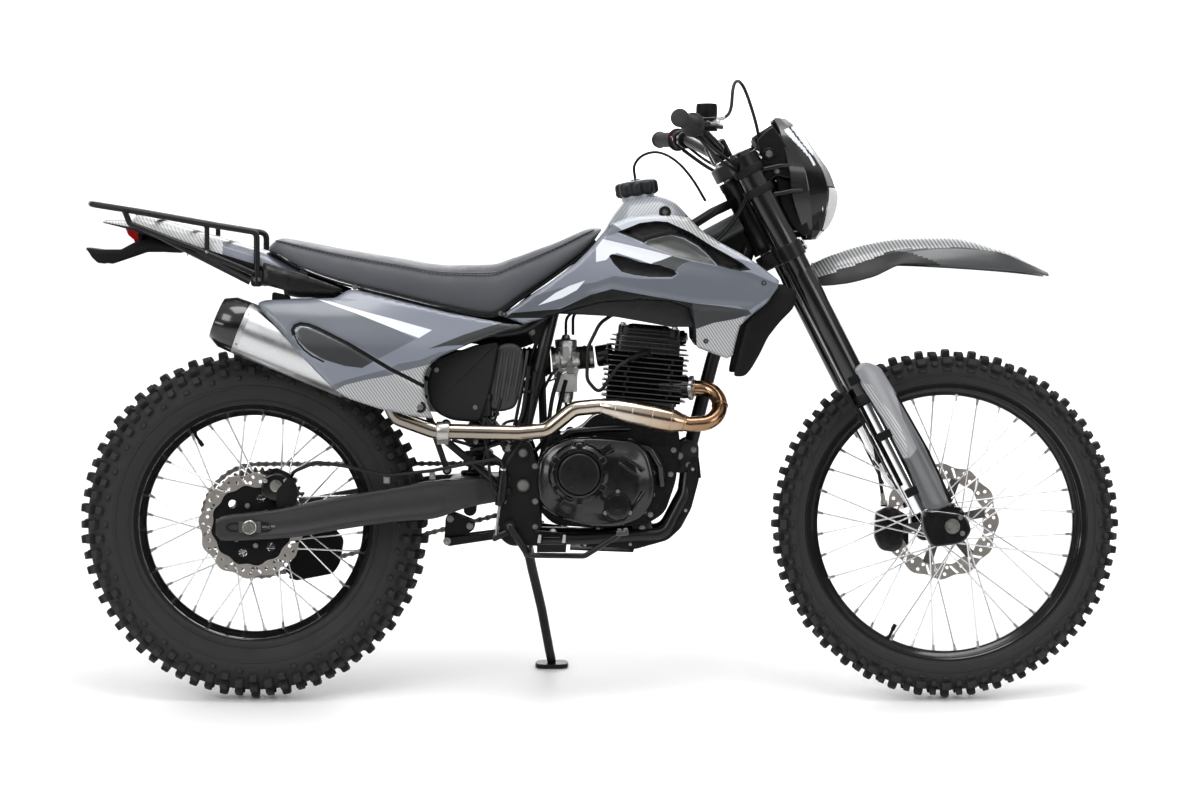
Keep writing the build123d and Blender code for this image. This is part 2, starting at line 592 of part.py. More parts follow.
# Tail side pieces below the seat's rear, left and right.
with BuildPart() as tail_sides:
    for s in (-1, 1):
        body_skin([-690, -590, -490], [790, 840, 890],
                  [[98, 100, 98], [112, 118, 114], [124, 130, 126]], 3.5, s)
    side_slab([(-664, 872), (-592, 852), (-503, 819), (-523, 803),
               (-592, 802), (-622, 808), (-622, 818), (-651, 828), (-664, 829)],
              -150, 150, mode=Mode.INTERSECT)
    add(seat.part, mode=Mode.SUBTRACT)
    add(side_panels.part, mode=Mode.SUBTRACT)
    add(rear_fender.part, mode=Mode.SUBTRACT)

with BuildPart() as tail_light:
    with Locations((-925, 0, 925)):
        Box(26, 92, 30)
    side_slab([(-945, 945), (-938, 926), (-912, 905), (-905, 930), (-912, 945)],
              -60, 60, mode=Mode.INTERSECT)
    add(rear_fender.part, mode=Mode.SUBTRACT)

# Number plate holder under the tail.
with BuildPart() as plate_holder:
    side_slab([(-1020, 902), (-990, 898), (-950, 898), (-925, 912), (-891, 924),
               (-812, 900), (-842, 890), (-872, 892), (-911, 892), (-981, 868),
               (-996, 870), (-1004, 878)], -58, 58)
    side_slab([(-1010, 892), (-985, 888), (-945, 888), (-915, 900), (-880, 912),
               (-840, 898), (-872, 880), (-911, 880), (-981, 858)], -52, 52,
              mode=Mode.SUBTRACT)
    add(tail_light.part, mode=Mode.SUBTRACT)
    add(rear_fender.part, mode=Mode.SUBTRACT)

# Luggage rack: two-storey tube rails with cross bars and stays.
with BuildPart() as luggage_rack:
    tube([(-676, -100, 822), (-676, -100, 931), (-774, -100, 947), (-931, -100, 975),
          (-1000, -96, 986), (-1008, -60, 988), (-1008, 60, 988), (-1000, 96, 986),
          (-931, 100, 975), (-774, 100, 947), (-676, 100, 931), (-676, 100, 822)],
         6, 14)
    for s in (-1, 1):
        tube([(-936, s * 100, 974), (-926, s * 101, 948), (-788, s * 102, 895),
              (-680, s * 101, 850)], 6, 12)
        rod((-774, s * 100, 947), (-774, s * 102, 889), 5)
        rod((-887, s * 100, 932), (-690, s * 100, 832), 5)
    for x, z in ((-730, 940), (-800, 951.5), (-870, 964)):
        rod((x, -100, z), (x, 100, z), 5.5)
    for x, z in ((-676, 838),):
        rod((x, -100, z), (x, -86, z), 7)
        rod((x, 86, z), (x, 100, z), 7)
    add(rear_fender.part, mode=Mode.SUBTRACT)
    add(rear_subframe.part, mode=Mode.SUBTRACT)

# Foot pegs with their brackets.
with BuildPart() as foot_pegs:
    for s in (-1, 1):
        side_slab([(-122, 326), (-118, 338), (-70, 338), (-66, 326), (-76, 308),
                   (-112, 308)], min(s * 136, s * 248), max(s * 136, s * 248))
        side_slab([(-112, 318), (-112, 332), (-78, 332), (-78, 318)],
                  min(s * 100, s * 138), max(s * 100, s * 138))
        side_slab([(-130, 312), (-130, 344), (-76, 338), (-76, 312)],
                  min(s * 96, s * 106), max(s * 96, s * 106))
    add(frame_backbone.part, mode=Mode.SUBTRACT)
    add(frame_cradle.part, mode=Mode.SUBTRACT)

# Brake pedal on the right, gear lever on the left.
with BuildPart() as foot_controls:
    rod((-178, -103, 352), (-178, -122, 352), 12)
    tube([(-178, -116, 352), (-140, -132, 296), (-30, -150, 296), (40, -152, 340)],
         6, 16)
    rod((44, -140, 342), (44, -182, 342), 8)
    rod((-60, 101, 368), (-60, 128, 368), 10)
    tube([(-60, 122, 368), (10, 140, 352), (62, 142, 346)], 5.5, 20)
    rod((62, 136, 346), (62, 172, 346), 9)
    add(engine_cases.part, mode=Mode.SUBTRACT)
    add(foot_pegs.part, mode=Mode.SUBTRACT)
    add(frame_cradle.part, mode=Mode.SUBTRACT)

# Skid plate in front of and under the engine.
SKID_OUT = [(193, 484), (198, 440), (182, 380), (162, 342), (136, 318), (72, 300),
            (-60, 304)]
SKID_IN = [(-60, 308), (72, 305), (132, 323), (157, 346), (177, 383), (193, 440),
           (188, 484)]
with BuildPart() as skid_plate:
    side_slab(SKID_OUT + SKID_IN, -70, 70)
    add(frame_cradle.part, mode=Mode.SUBTRACT)

# Rear brake caliper over the right arm.
with BuildPart() as rear_caliper:
    side_slab([(-676, 404), (-672, 452), (-640, 466), (-604, 450), (-590, 416),
               (-600, 398), (-640, 392)], -90, -56)
    with Locations((-640, -71.5, 420)):
        Box(120, 9, 110, mode=Mode.SUBTRACT)
    side_slab([(-660, 455), (-622, 458), (-606, 452), (-640, 472)], -90, -56)
    side_slab([(-640, 384), (-600, 391), (-604, 420), (-640, 420)], -92, -78)
    add(swingarm.part, mode=Mode.SUBTRACT)

# Tank breather hose, from the cap to the steering head.
with BuildPart() as tank_vent_hose:
    tube([(70, 0, 1040), (70, 0, 1066), (96, -4, 1086), (130, -8, 1078),
          (172, -14, 1036), (212, -18, 992), (222, -22, 978)], 2.6, 14)
    add(fuel_cap.part, mode=Mode.SUBTRACT)
    add(frame_backbone.part, mode=Mode.SUBTRACT)

# Side stand bracket, with the pivot pin, on the left pivot plate.
SP, SF = Vector(*STAND_PIVOT), Vector(*STAND_FOOT)
stand_dir = (SF - SP).normalized()
stand_up = Vector(*STAND_UP_DIR).normalized()
stand_axis = stand_dir.cross(stand_up).normalized()
stand_back = (stand_dir + stand_up).normalized() * -1
with BuildPart() as side_stand_bracket:
    rod(SP - stand_axis * 16, SP + stand_axis * 16, 6)
    for a0, a1 in ((8.4, 14.0), (-14.0, -8.4)):
        rod(SP + stand_axis * a0, SP + stand_axis * a1, 16)
        with Locations(Plane(origin=SP + stand_axis * ((a0 + a1) / 2) + stand_back * 16,
                             x_dir=stand_back, z_dir=stand_axis)):
            Box(32, 28, a1 - a0)
    with Locations(Plane(origin=SP + stand_back * 29, x_dir=stand_back, z_dir=stand_axis)):
        Box(18, 28, 28)
    add(frame_backbone.part, mode=Mode.SUBTRACT)
    add(frame_cradle.part, mode=Mode.SUBTRACT)
    add(foot_pegs.part, mode=Mode.SUBTRACT)

# ============================================================ SIDE STAND BODY
tan_lean = math.tan(math.radians(LEAN))
ground_normal = Vector(0, -math.sin(math.radians(LEAN)), math.cos(math.radians(LEAN)))
with BuildPart() as side_stand:
    rod(SP - stand_axis * 8.0, SP + stand_axis * 8.0, 14)
    with Locations(Plane(origin=SP + stand_dir * 17, x_dir=stand_dir, z_dir=stand_axis)):
        Box(34, 22, 15.6)
    rod(SP + stand_dir * 26, SF + ground_normal * 12, 10)
    with Locations(Plane(origin=SF + ground_normal * 5, x_dir=(1, 0, 0), z_dir=ground_normal)):
        Box(70, 46, 10)
    rod(SP - stand_axis * 20, SP + stand_axis * 20, 6 + BORE_PLAY, mode=Mode.SUBTRACT)

# ============================================================ STEERING BODY
def clamp_plane(s):
    return Plane(origin=H0 - UP * s, x_dir=FWD, z_dir=UP)


with BuildPart() as triple_clamps:
    for s, t in ((0, 30), (CLAMP_DROP, 32)):
        with BuildSketch(clamp_plane(s).offset(-t / 2), mode=Mode.PRIVATE) as plate:
            Circle(30)
            with Locations((FORK_OFFSET, FORK_Y), (FORK_OFFSET, -FORK_Y)):
                Circle(34)
            with BuildLine():
                Polyline((-18, -24), (-18, 24), (8, 108), (58, 92), (34, 0),
                         (58, -92), (8, -108), close=True)
            make_face()
        extrude(plate.sketch, amount=t)
    rod(head_point(0, 0, -24), head_point(0, 0, CLAMP_DROP + 10), STEM_R)
    # bar risers
    for y in (-36, 36):
        rod(head_point(0, y, -10), (236, y, 1082), 15)
    for y in (-FORK_Y, FORK_Y):
        rod(head_point(FORK_OFFSET, y, -40), head_point(FORK_OFFSET, y, 260),
            FORK_OUTER_R, mode=Mode.SUBTRACT)
    add(frame_backbone.part, mode=Mode.SUBTRACT)

with BuildPart() as fork_outer_tubes:
    for y in (-FORK_Y, FORK_Y):
        rod(head_point(FORK_OFFSET, y, -24), head_point(FORK_OFFSET, y, FORK_BREAK),
            FORK_OUTER_R)

LUG = [(631, 376), (661, 380), (706, 374), (722, 366), (730, 340), (716, 320),
       (700, 314), (651, 308), (634, 340)]
with BuildPart() as fork_lower_legs:
    for s in (-1, 1):
        rod(head_point(FORK_OFFSET, s * FORK_Y, FORK_BREAK),
            head_point(FORK_OFFSET, s * FORK_Y, 784), FORK_INNER_R)
        side_slab(LUG, min(s * 82, s * 118), max(s * 82, s * 118))
    rod((AXLE_X, -140, AXLE_Z), (AXLE_X, 140, AXLE_Z), AXLE_R, mode=Mode.SUBTRACT)

with BuildPart() as front_axle:
    rod((AXLE_X, -122, AXLE_Z), (AXLE_X, 122, AXLE_Z), AXLE_R)
    rod((AXLE_X, -126, AXLE_Z), (AXLE_X, -118.2, AXLE_Z), 13)
    rod((AXLE_X, 118.2, AXLE_Z), (AXLE_X, 126, AXLE_Z), 13)
    rod((AXLE_X, -81.8, AXLE_Z), (AXLE_X, -45, AXLE_Z), 13)
    rod((AXLE_X, 64, AXLE_Z), (AXLE_X, 81.8, AXLE_Z), 13)
    rod((AXLE_X, -140, AXLE_Z), (AXLE_X, 140, AXLE_Z), 5, mode=Mode.SUBTRACT)

# Stone guards outside the lower fork legs.
GUARD = [(494, 660), (508, 672), (522, 674), (548, 664), (591, 595), (644, 502),
         (690, 403), (688, 392), (661, 382), (634, 384), (603, 463), (552, 561),
         (512, 624)]
with BuildPart() as fork_guards:
    for s in (-1, 1):
        side_slab(GUARD, min(s * 70, s * 134), max(s * 70, s * 134))
        for t, m in ((0, Mode.SUBTRACT),):
            tube([head_point(FORK_OFFSET + 1, s * FORK_Y, 380),
                  head_point(FORK_OFFSET + 0.5, s * FORK_Y, 500),
                  head_point(FORK_OFFSET, s * FORK_Y, 860)], 28.5, 5000, mode=m)
        side_slab([(300, 300), (300, 800), (800, 800), (800, 300)],
                  min(s * 60, s * 90), max(s * 60, s * 90), mode=Mode.SUBTRACT)
    add(fork_lower_legs.part, mode=Mode.SUBTRACT)
    add(fork_outer_tubes.part, mode=Mode.SUBTRACT)

BAR = [(138, -390, 1137), (184, -216, 1128), (230, -100, 1094), (236, -40, 1092),
       (236, 40, 1092), (230, 100, 1094), (184, 216, 1128), (138, 390, 1137)]
with BuildPart() as handlebar:
    tube(BAR, 11, 34)
    rod((138, -392, 1137), (146, -362, 1136), 6.5, mode=Mode.SUBTRACT)
    rod((138, 392, 1137), (146, 362, 1136), 6.5, mode=Mode.SUBTRACT)
    # cross pad and clamp caps
    for y in (-36, 36):
        with Locations((236, y, 1092)):
            Box(40, 24, 40)
    add(triple_clamps.part, mode=Mode.SUBTRACT)

grip_dir = Vector(46, 174, -9).normalized()
with BuildPart() as hand_grips:
    for s in (-1, 1):
        g = Vector(grip_dir.X, -s * grip_dir.Y, grip_dir.Z)
        end = Vector(138, s * 390, 1137)
        rod(end - g * 3, end + g * 122, 16)
        rod(end + g * 122, end + g * 128, 24)
        rod(end - g * 3, end + g * 1, 18)
        rod(end - g * 20, end - g * 0.0, 6.5, mode=Mode.SUBTRACT)
    add(handlebar.part, mode=Mode.SUBTRACT)

# Perches, switches, levers and the brake master cylinder.
with BuildPart() as hand_controls:
    for s in (-1, 1):
        g = Vector(grip_dir.X, -s * grip_dir.Y, grip_dir.Z)
        end = Vector(138, s * 390, 1137)
        rod(end + g * 129, end + g * 158, 19)
        rod(end + g * 166, end + g * 182, 17)
        p = end + g * 172
        tube([p, p + Vector(34, s * 4, 4), p + Vector(44, s * 60, -2),
              p + Vector(6, s * 198, -4)], 6, 16)
    # master cylinder and reservoir, right side
    m = Vector(138, -390, 1137) + Vector(grip_dir.X, grip_dir.Y, grip_dir.Z) * 172
    with Locations((m.X + 20, m.Y + 16, m.Z + 12)):
        Box(34, 46, 22)
    with Locations((m.X + 18, m.Y + 14, m.Z + 34)):
        Cylinder(21, 26)
    add(handlebar.part, mode=Mode.SUBTRACT)
    add(hand_grips.part, mode=Mode.SUBTRACT)

with BuildPart() as instrument:
    with Locations(Plane(origin=(328, 0, 1122), x_dir=(0, 1, 0), z_dir=(-0.55, 0, 0.84))):
        Box(108, 54, 26)
    side_slab([(290.5, 1064), (289, 1074), (306, 1080), (318, 1104), (330, 1110),
               (330, 1090), (318, 1070), (306, 1064)], -14, 14)


# Headlight mask: level outlines, hollow behind.
def mask_section(z, back, front, half, inset=0.0, rear=0.0):
    f, h = front - inset, half - inset
    pts = [(back - rear, -h), (back + 0.38 * (f - back), -h * 0.93),
           (back + 0.80 * (f - back), -h * 0.62), (f, -h * 0.22)]
    return z, pts + [(x, -y) for x, y in pts[::-1]]


MASK = [  # z, back edge, front, half width
    (917, 410, 432, 52),
    (945, 396, 452, 76),
    (1014, 374, 468, 96),
    (1046, 370, 459, 98),
    (1092, 362, 429, 92),
    (1136, 352, 399, 72),
    (1158, 344, 372, 50),
]
with BuildPart() as headlight_mask:
    level_loft([mask_section(*row) for row in MASK])
    level_loft([mask_section(z, b, f, h, 4.0, 30.0) for z, b, f, h in MASK[:-1]]
               + [mask_section(1154, 344, 374, 52, 4.0, 30.0)], mode=Mode.SUBTRACT)
    with Locations((470, 0, 972)):
        Box(150, 132, 82, mode=Mode.SUBTRACT)
    # ears back to the fork tubes
    for s in (-1, 1):
        rod((392, s * 92, 1012), (338, s * 102, 1003), 5)
        rod((384, s * 90, 1062), (312, s * 102, 1052), 5)
    add(fork_outer_tubes.part, mode=Mode.SUBTRACT)
    add(instrument.part, mode=Mode.SUBTRACT)

with BuildPart() as headlight_lens:
    level_loft([
        (932, [(404, -62), (446, -62), (452, -26), (452, 26), (446, 62), (404, 62)]),
        (946, [(402, -65.5), (456, -65.5), (466, -26), (466, 26), (456, 65.5), (402, 65.5)]),
        (968, [(400, -65.5), (462, -65.5), (477, -26), (477, 26), (462, 65.5), (400, 65.5)]),
        (996, [(396, -65.5), (460, -65.5), (475, -26), (475, 26), (460, 65.5), (396, 65.5)]),
        (1012.5, [(394, -62), (452, -62), (460, -26), (460, 26), (452, 62), (394, 62)]),
    ])
    add(headlight_mask.part, mode=Mode.SUBTRACT)

# Front fender: crown, creases and side edges.
FENDER = [  # x, crown, crease height, edge height, crease half width, edge half width
    (424, 872, 846, 826, 46, 60),
    (470, 893, 862, 828, 56, 76),
    (534, 912, 876, 842, 62, 84),
    (600, 922, 892, 868, 64, 86),
    (690, 924, 899, 864, 64, 86),
    (780, 906, 893, 858, 60, 80),
    (860, 869, 864, 851, 44, 60),
    (894, 851, 850, 846, 26, 36),
]


def fender_section(x, crown, crease, edge, half_c, half_e, wall):
    outer = [(half_e, edge), (half_c, crease), (half_c * 0.45, crown - (crown - crease) * 0.12),
             (0, crown)]
    outer += [(-y, z) for y, z in outer[:-1][::-1]]
    inner = [(half_e - wall, edge), (half_c - wall * 0.7, crease - wall * 0.8),
             (half_c * 0.43, crown - (crown - crease) * 0.12 - wall), (0, crown - wall)]
    inner += [(-y, z) for y, z in inner[:-1][::-1]]
    return x, outer + inner[::-1]


with BuildPart() as front_fender:
    cross_loft([fender_section(*row, 3.2) for row in FENDER])
    for s in (-1, 1):
        rod((455, s * 30, 878), (455, s * 30, 895), 6)
    add(triple_clamps.part, mode=Mode.SUBTRACT)

# Front caliper on the left leg, behind it, round the disc.
with BuildPart() as front_caliper:
    side_slab([(556, 372), (590, 384), (616, 372), (618, 300), (600, 284), (566, 288),
               (552, 316)], 47, 80)
    side_slab([(540, 250), (540, 400), (630, 400), (630, 250)], 53.5, 62.5,
              mode=Mode.SUBTRACT)
    side_slab([(553, 318), (558, 372), (566, 376), (560, 318)], 47, 80)
    side_slab([(600, 330), (650, 326), (650, 348), (600, 360)], 70, 80)
    add(fork_lower_legs.part, mode=Mode.SUBTRACT)

# Front brake hose: from the master cylinder over the bars, down the left leg.
with BuildPart() as front_brake_hose:
    tube([(216, -192, 1144), (250, -176, 1150), (254, -160, 1222), (276, -110, 1226),
          (302, -80, 1160), (314, -70, 1110), (332, -44, 1052), (350, 6, 990),
          (376, 58, 940), (412, 90, 892), (455, 97, 812), (510, 93, 706),
          (528, 76, 648), (550, 69, 545), (566, 67, 450), (576, 66, 385)], 3.6, 16)
    add(hand_controls.part, mode=Mode.SUBTRACT)
    add(front_caliper.part, mode=Mode.SUBTRACT)

# ============================================================ WHEELS
def make_tyre(x, half_width, crown_r, bead_r, bead_half):
    c = TYRE_R - crown_r
    profile = []
    for deg in range(-78, 79, 12):
        a = math.radians(deg)
        profile.append((c + crown_r * math.cos(a), crown_r * math.sin(a)))
    profile = [(r, max(-half_width, min(half_width, y))) for r, y in profile]
    outline = [(bead_r, -bead_half + 9), (bead_r, -bead_half), (bead_r + 13, -bead_half)]
    outline += profile
    outline += [(bead_r + 13, bead_half), (bead_r, bead_half), (bead_r, bead_half - 9)]
    inner = [(c + (crown_r - 16) * math.cos(math.radians(d)),
              (half_width - 12) * math.sin(math.radians(d))) for d in range(76, -77, -19)]
    turned(outline + inner, x=x, z=AXLE_Z)


with BuildPart() as front_tyre:
    make_tyre(AXLE_X, 43, 45, 272.5, 26)
with BuildPart() as rear_tyre:
    make_tyre(-AXLE_X, 59.5, 62, 232.7, 31)


def rim_profile(bead_r, half):
    return [(bead_r - 16, -6), (bead_r - 16, 6), (bead_r - 3, half - 8), (bead_r - 3, half + 3.2),
            (bead_r + 12, half + 3.2), (bead_r + 12, half + 0.2), (bead_r - 0.2, half + 0.2),
            (bead_r - 0.2, half - 10), (bead_r - 10, 7), (bead_r - 10, -7),
            (bead_r - 0.2, -half + 10), (bead_r - 0.2, -half - 0.2), (bead_r + 12, -half - 0.2),
            (bead_r + 12, -half - 3.2), (bead_r - 3, -half - 3.2), (bead_r - 3, -half + 8)]


with BuildPart() as front_rim:
    turned(rim_profile(272.5, 26), x=AXLE_X, z=AXLE_Z)
with BuildPart() as rear_rim:
    turned(rim_profile(232.7, 31), x=-AXLE_X, z=AXLE_Z)


def spoke_set(x, hub_r, hub_y_right, hub_y_left, rim_r, count, cross):
    """Crossed spokes: alternate flanges, alternate lead and trail."""
    for i in range(count):
        side = 1 if i % 2 else -1
        lead = 1 if (i // 2) % 2 else -1
        flange_y = hub_y_left if side > 0 else hub_y_right
        out = 1.0 if (i // 2) % 2 else -1.0
        rim_a = 2 * math.pi * (i + 0.5) / count
        hub_a = rim_a - lead * cross
        h = Vector(x + hub_r * math.cos(hub_a), flange_y + 4 * out, AXLE_Z + hub_r * math.sin(hub_a))
        r = Vector(x + rim_r * math.cos(rim_a), side * 4.0 + 1.8 * out, AXLE_Z + rim_r * math.sin(rim_a))
        rod(h, r, 1.9)


with BuildPart() as front_hub:
    turned([(AXLE_R + BORE_PLAY, -44.7), (16, -44.7), (22, -44), (22, -38), (42, -38), (42, -32),
            (26, -28), (24, 0), (28, 26), (44, 30), (44, 36), (36, 38), (36, 53.8),
            (24, 53.8), (22, 63.7), (AXLE_R + BORE_PLAY, 63.7)], x=AXLE_X, z=AXLE_Z)
with BuildPart() as rear_hub:
    turned([(AXLE_R + BORE_PLAY, -78.7), (18, -78.7), (24, -74), (24, -68), (36, -68), (36, -44),
            (52, -42), (52, -36), (34, -32), (32, 0), (36, 28), (54, 34), (54, 40),
            (46, 44), (46, 76.8), (30, 77), (26, 90.7), (AXLE_R + BORE_PLAY, 90.7)],
           x=-AXLE_X, z=AXLE_Z)

with BuildPart() as front_spokes:
    spoke_set(AXLE_X, 38, -35, 33, 258, 36, math.radians(62))
    add(front_hub.part, mode=Mode.SUBTRACT)
    add(front_rim.part, mode=Mode.SUBTRACT)
with BuildPart() as rear_spokes:
    spoke_set(-AXLE_X, 47, -39, 37, 218, 36, math.radians(62))
    add(rear_hub.part, mode=Mode.SUBTRACT)
    add(rear_rim.part, mode=Mode.SUBTRACT)


def wave_disc(x, y0, y1, r_out, r_in, hub_r, lobes):
    with BuildSketch(Plane.XZ.offset(-y1), mode=Mode.PRIVATE) as ring:
        with Locations((x, AXLE_Z)):
            Circle(r_out)
            with PolarLocations(r_out + 22, lobes):
                Circle(26, mode=Mode.SUBTRACT)
            Circle(r_in, mode=Mode.SUBTRACT)
            with PolarLocations((r_in + hub_r) / 2 + 2, 6):
                Rectangle(r_in - hub_r + 12, 16)
            Circle(hub_r + 12)
            Circle(hub_r, mode=Mode.SUBTRACT)
    extrude(ring.sketch, amount=y1 - y0)


with BuildPart() as front_brake_disc:
    wave_disc(AXLE_X, 56, 60, DISC_F_R, 86, 24.2, 12)
    rod((AXLE_X, 53.8, AXLE_Z), (AXLE_X, 56, AXLE_Z), 35)
    rod((AXLE_X, 50, AXLE_Z), (AXLE_X, 66, AXLE_Z), 24.2, mode=Mode.SUBTRACT)
with BuildPart() as rear_brake_disc:
    wave_disc(-AXLE_X, -73.5, -69.5, DISC_R_R, 78, 24.2, 12)
    rod((-AXLE_X, -69.5, AXLE_Z), (-AXLE_X, -68, AXLE_Z), 34)
    rod((-AXLE_X, -80, AXLE_Z), (-AXLE_X, -60, AXLE_Z), 24.2, mode=Mode.SUBTRACT)
with BuildPart() as rear_sprocket:
    with BuildSketch(Plane.XZ.offset(-83)) as blank:
        with Locations((-AXLE_X, AXLE_Z)):
            Circle(CHAIN_REAR_R - CHAIN_HALF - 2.0)
            with PolarLocations(72, 6):
                Circle(19, mode=Mode.SUBTRACT)
            Circle(30.2, mode=Mode.SUBTRACT)
    extrude(amount=6)

# ============================================================ PLACING AND OUTPUT
FRAME_PIECES = [
    ("frame_backbone", frame_backbone), ("frame_cradle", frame_cradle),
    ("rear_subframe", rear_subframe), ("swingarm", swingarm), ("rear_axle", rear_axle),
    ("chain_guide", chain_guide), ("suspension_linkage", suspension_linkage),
    ("rear_shock", rear_shock), ("engine_cases", engine_cases),
    ("front_sprocket", front_sprocket), ("drive_chain", drive_chain),
    ("cylinder", cylinder), ("cylinder_head", cylinder_head),
    ("carburettor", carburettor), ("airbox", airbox),
    ("exhaust_header", exhaust_header), ("muffler", muffler),
    ("fuel_tank", fuel_tank), ("fuel_cap", fuel_cap), ("tank_shrouds", tank_shrouds),
    ("inner_scoops", inner_scoops), ("seat", seat), ("side_panels", side_panels),
    ("rear_fender", rear_fender), ("tail_sides", tail_sides),
    ("tail_light", tail_light), ("plate_holder", plate_holder),
    ("luggage_rack", luggage_rack), ("foot_pegs", foot_pegs),
    ("foot_controls", foot_controls), ("skid_plate", skid_plate),
    ("rear_caliper", rear_caliper), ("tank_vent_hose", tank_vent_hose),
    ("side_stand_bracket", side_stand_bracket),
]
STAND_PIECES = [("side_stand", side_stand)]
STEERING_PIECES = [
    ("triple_clamps", triple_clamps), ("fork_outer_tubes", fork_outer_tubes),
    ("fork_lower_legs", fork_lower_legs), ("front_axle", front_axle),
    ("fork_guards", fork_guards), ("handlebar", handlebar),
    ("hand_grips", hand_grips), ("hand_controls", hand_controls),
    ("instrument", instrument), ("headlight_mask", headlight_mask),
    ("headlight_lens", headlight_lens), ("front_fender", front_fender),
    ("front_caliper", front_caliper), ("front_brake_hose", front_brake_hose),
]
FRONT_WHEEL_PIECES = [
    ("front_tyre", front_tyre), ("front_rim", front_rim), ("front_hub", front_hub),
    ("front_spokes", front_spokes), ("front_brake_disc", front_brake_disc),
]
REAR_WHEEL_PIECES = [
    ("rear_tyre", rear_tyre), ("rear_rim", rear_rim), ("rear_hub", rear_hub),
    ("rear_spokes", rear_spokes), ("rear_brake_disc", rear_brake_disc),
    ("rear_sprocket", rear_sprocket),
]

STEER_AXIS = Axis(HEAD, (UP.X, UP.Y, UP.Z))
LEAN_AXIS = Axis((0, 0, 0), (1, 0, 0))

os.makedirs("parts", exist_ok=True)
for pieces, steered in ((FRAME_PIECES, False), (STAND_PIECES, False),
                        (STEERING_PIECES, True), (FRONT_WHEEL_PIECES, True),
                        (REAR_WHEEL_PIECES, False)):
    for label, name in pieces:
        placed = name.part
        if steered:
            placed = placed.rotate(STEER_AXIS, STEER)
        placed = placed.rotate(LEAN_AXIS, -LEAN)
        placed = placed.translate(SHIFT)
        placed.label = label
        export_step(placed, "parts/" + label + ".step")
        print(label, len(placed.solids()), round(placed.volume))
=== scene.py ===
import bpy, bmesh, math
from mathutils.geometry import delaunay_2d_cdt
from mathutils import Vector, Matrix, noise


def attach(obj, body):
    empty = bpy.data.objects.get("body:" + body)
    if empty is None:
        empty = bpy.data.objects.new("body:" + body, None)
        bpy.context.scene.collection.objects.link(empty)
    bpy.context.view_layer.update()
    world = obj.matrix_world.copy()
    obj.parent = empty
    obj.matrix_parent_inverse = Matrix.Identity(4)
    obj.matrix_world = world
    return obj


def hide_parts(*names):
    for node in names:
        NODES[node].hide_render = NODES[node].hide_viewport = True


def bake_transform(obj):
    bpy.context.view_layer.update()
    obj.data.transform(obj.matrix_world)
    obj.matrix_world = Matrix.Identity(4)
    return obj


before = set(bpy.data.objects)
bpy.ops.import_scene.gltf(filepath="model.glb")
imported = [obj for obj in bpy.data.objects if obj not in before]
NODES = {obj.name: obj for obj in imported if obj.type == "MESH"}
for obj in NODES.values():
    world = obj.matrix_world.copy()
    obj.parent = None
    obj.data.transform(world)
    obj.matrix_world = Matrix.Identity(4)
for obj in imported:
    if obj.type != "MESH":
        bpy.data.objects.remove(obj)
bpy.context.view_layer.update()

# ----------------------------------------------------------------- frame of reference
# Pieces are drawn upright in millimetres (X forward, Y left, Z up, ground at 0) and
# placed by these matrices: the parked lean, and the parked steering angle.
LEAN, STEER, RAKE = math.radians(8.0), math.radians(2.0), math.radians(27.1)
SHIFT = Vector((0.0, -157.0, 0.5))
HEAD = Vector((252.5, 0.0, 1051.8))
CLAMP_DROP = 197.0
UP = Vector((-math.sin(RAKE), 0, math.cos(RAKE)))
FWD = Vector((math.cos(RAKE), 0, math.sin(RAKE)))
M_F = Matrix.Scale(0.001, 4) @ Matrix.Translation(SHIFT) @ Matrix.Rotation(-LEAN, 4, "X")
M_S = M_F @ Matrix.Translation(HEAD) @ Matrix.Rotation(STEER, 4, UP) @ Matrix.Translation(-HEAD)
MAT = {"frame": M_F, "side_stand": M_F, "steering": M_S, "front_wheel": M_S, "rear_wheel": M_F}


def hp(f, y, s):
    """Point f ahead of the steering axis, y left, s down the fork."""
    return HEAD + FWD * f + Vector((0, y, 0)) - UP * s


# viewing geometry, used to place side-view outlines on surfaces
VIEW_D, VIEW_F, VIEW_PITCH, VIEW_Z = 7000.0, 3500.0, math.atan(130 / 3500.0), 856.7


def at(px, py, y):
    r, u = px - 600.0, 400.0 - py
    c, s = math.cos(VIEW_PITCH), math.sin(VIEW_PITCH)
    rx, ry, rz = r, VIEW_F * c + u * s, u * c - VIEW_F * s
    t = (y + VIEW_D) / ry
    return rx * t, VIEW_Z + rz * t


def trace(points, f=None, y=-140.0):
    out = []
    for px, py in points:
        x, z = at(px, py, y)
        if f:
            for _ in range(3):
                x, z = at(px, py, -f(x, z))
        out.append((x, z))
    return out


# ----------------------------------------------------------------- interpolation
def curve(xs, vs, x):
    n = len(xs)
    if x <= xs[0]:
        return vs[0]
    if x >= xs[-1]:
        return vs[-1]
    i = 0
    while x > xs[i + 1]:
        i += 1

    def slope(k):
        if k == 0:
            return (vs[1] - vs[0]) / (xs[1] - xs[0])
        if k == n - 1:
            return (vs[-1] - vs[-2]) / (xs[-1] - xs[-2])
        a = (vs[k] - vs[k - 1]) / (xs[k] - xs[k - 1])
        b = (vs[k + 1] - vs[k]) / (xs[k + 1] - xs[k])
        if a * b <= 0:
            return 0.0
        return 2 * a * b / (a + b)
    h = xs[i + 1] - xs[i]
    t = (x - xs[i]) / h
    m0, m1 = slope(i) * h, slope(i + 1) * h
    return ((2 * t ** 3 - 3 * t ** 2 + 1) * vs[i] + (t ** 3 - 2 * t ** 2 + t) * m0
            + (-2 * t ** 3 + 3 * t ** 2) * vs[i + 1] + (t ** 3 - t ** 2) * m1)


def field(xs, zs, rows):
    def f(x, z):
        return curve(xs, [curve(zs, r, z) for r in rows], x)
    return f


def smooth01(t):
    t = max(0.0, min(1.0, t))
    return t * t * (3 - 2 * t)


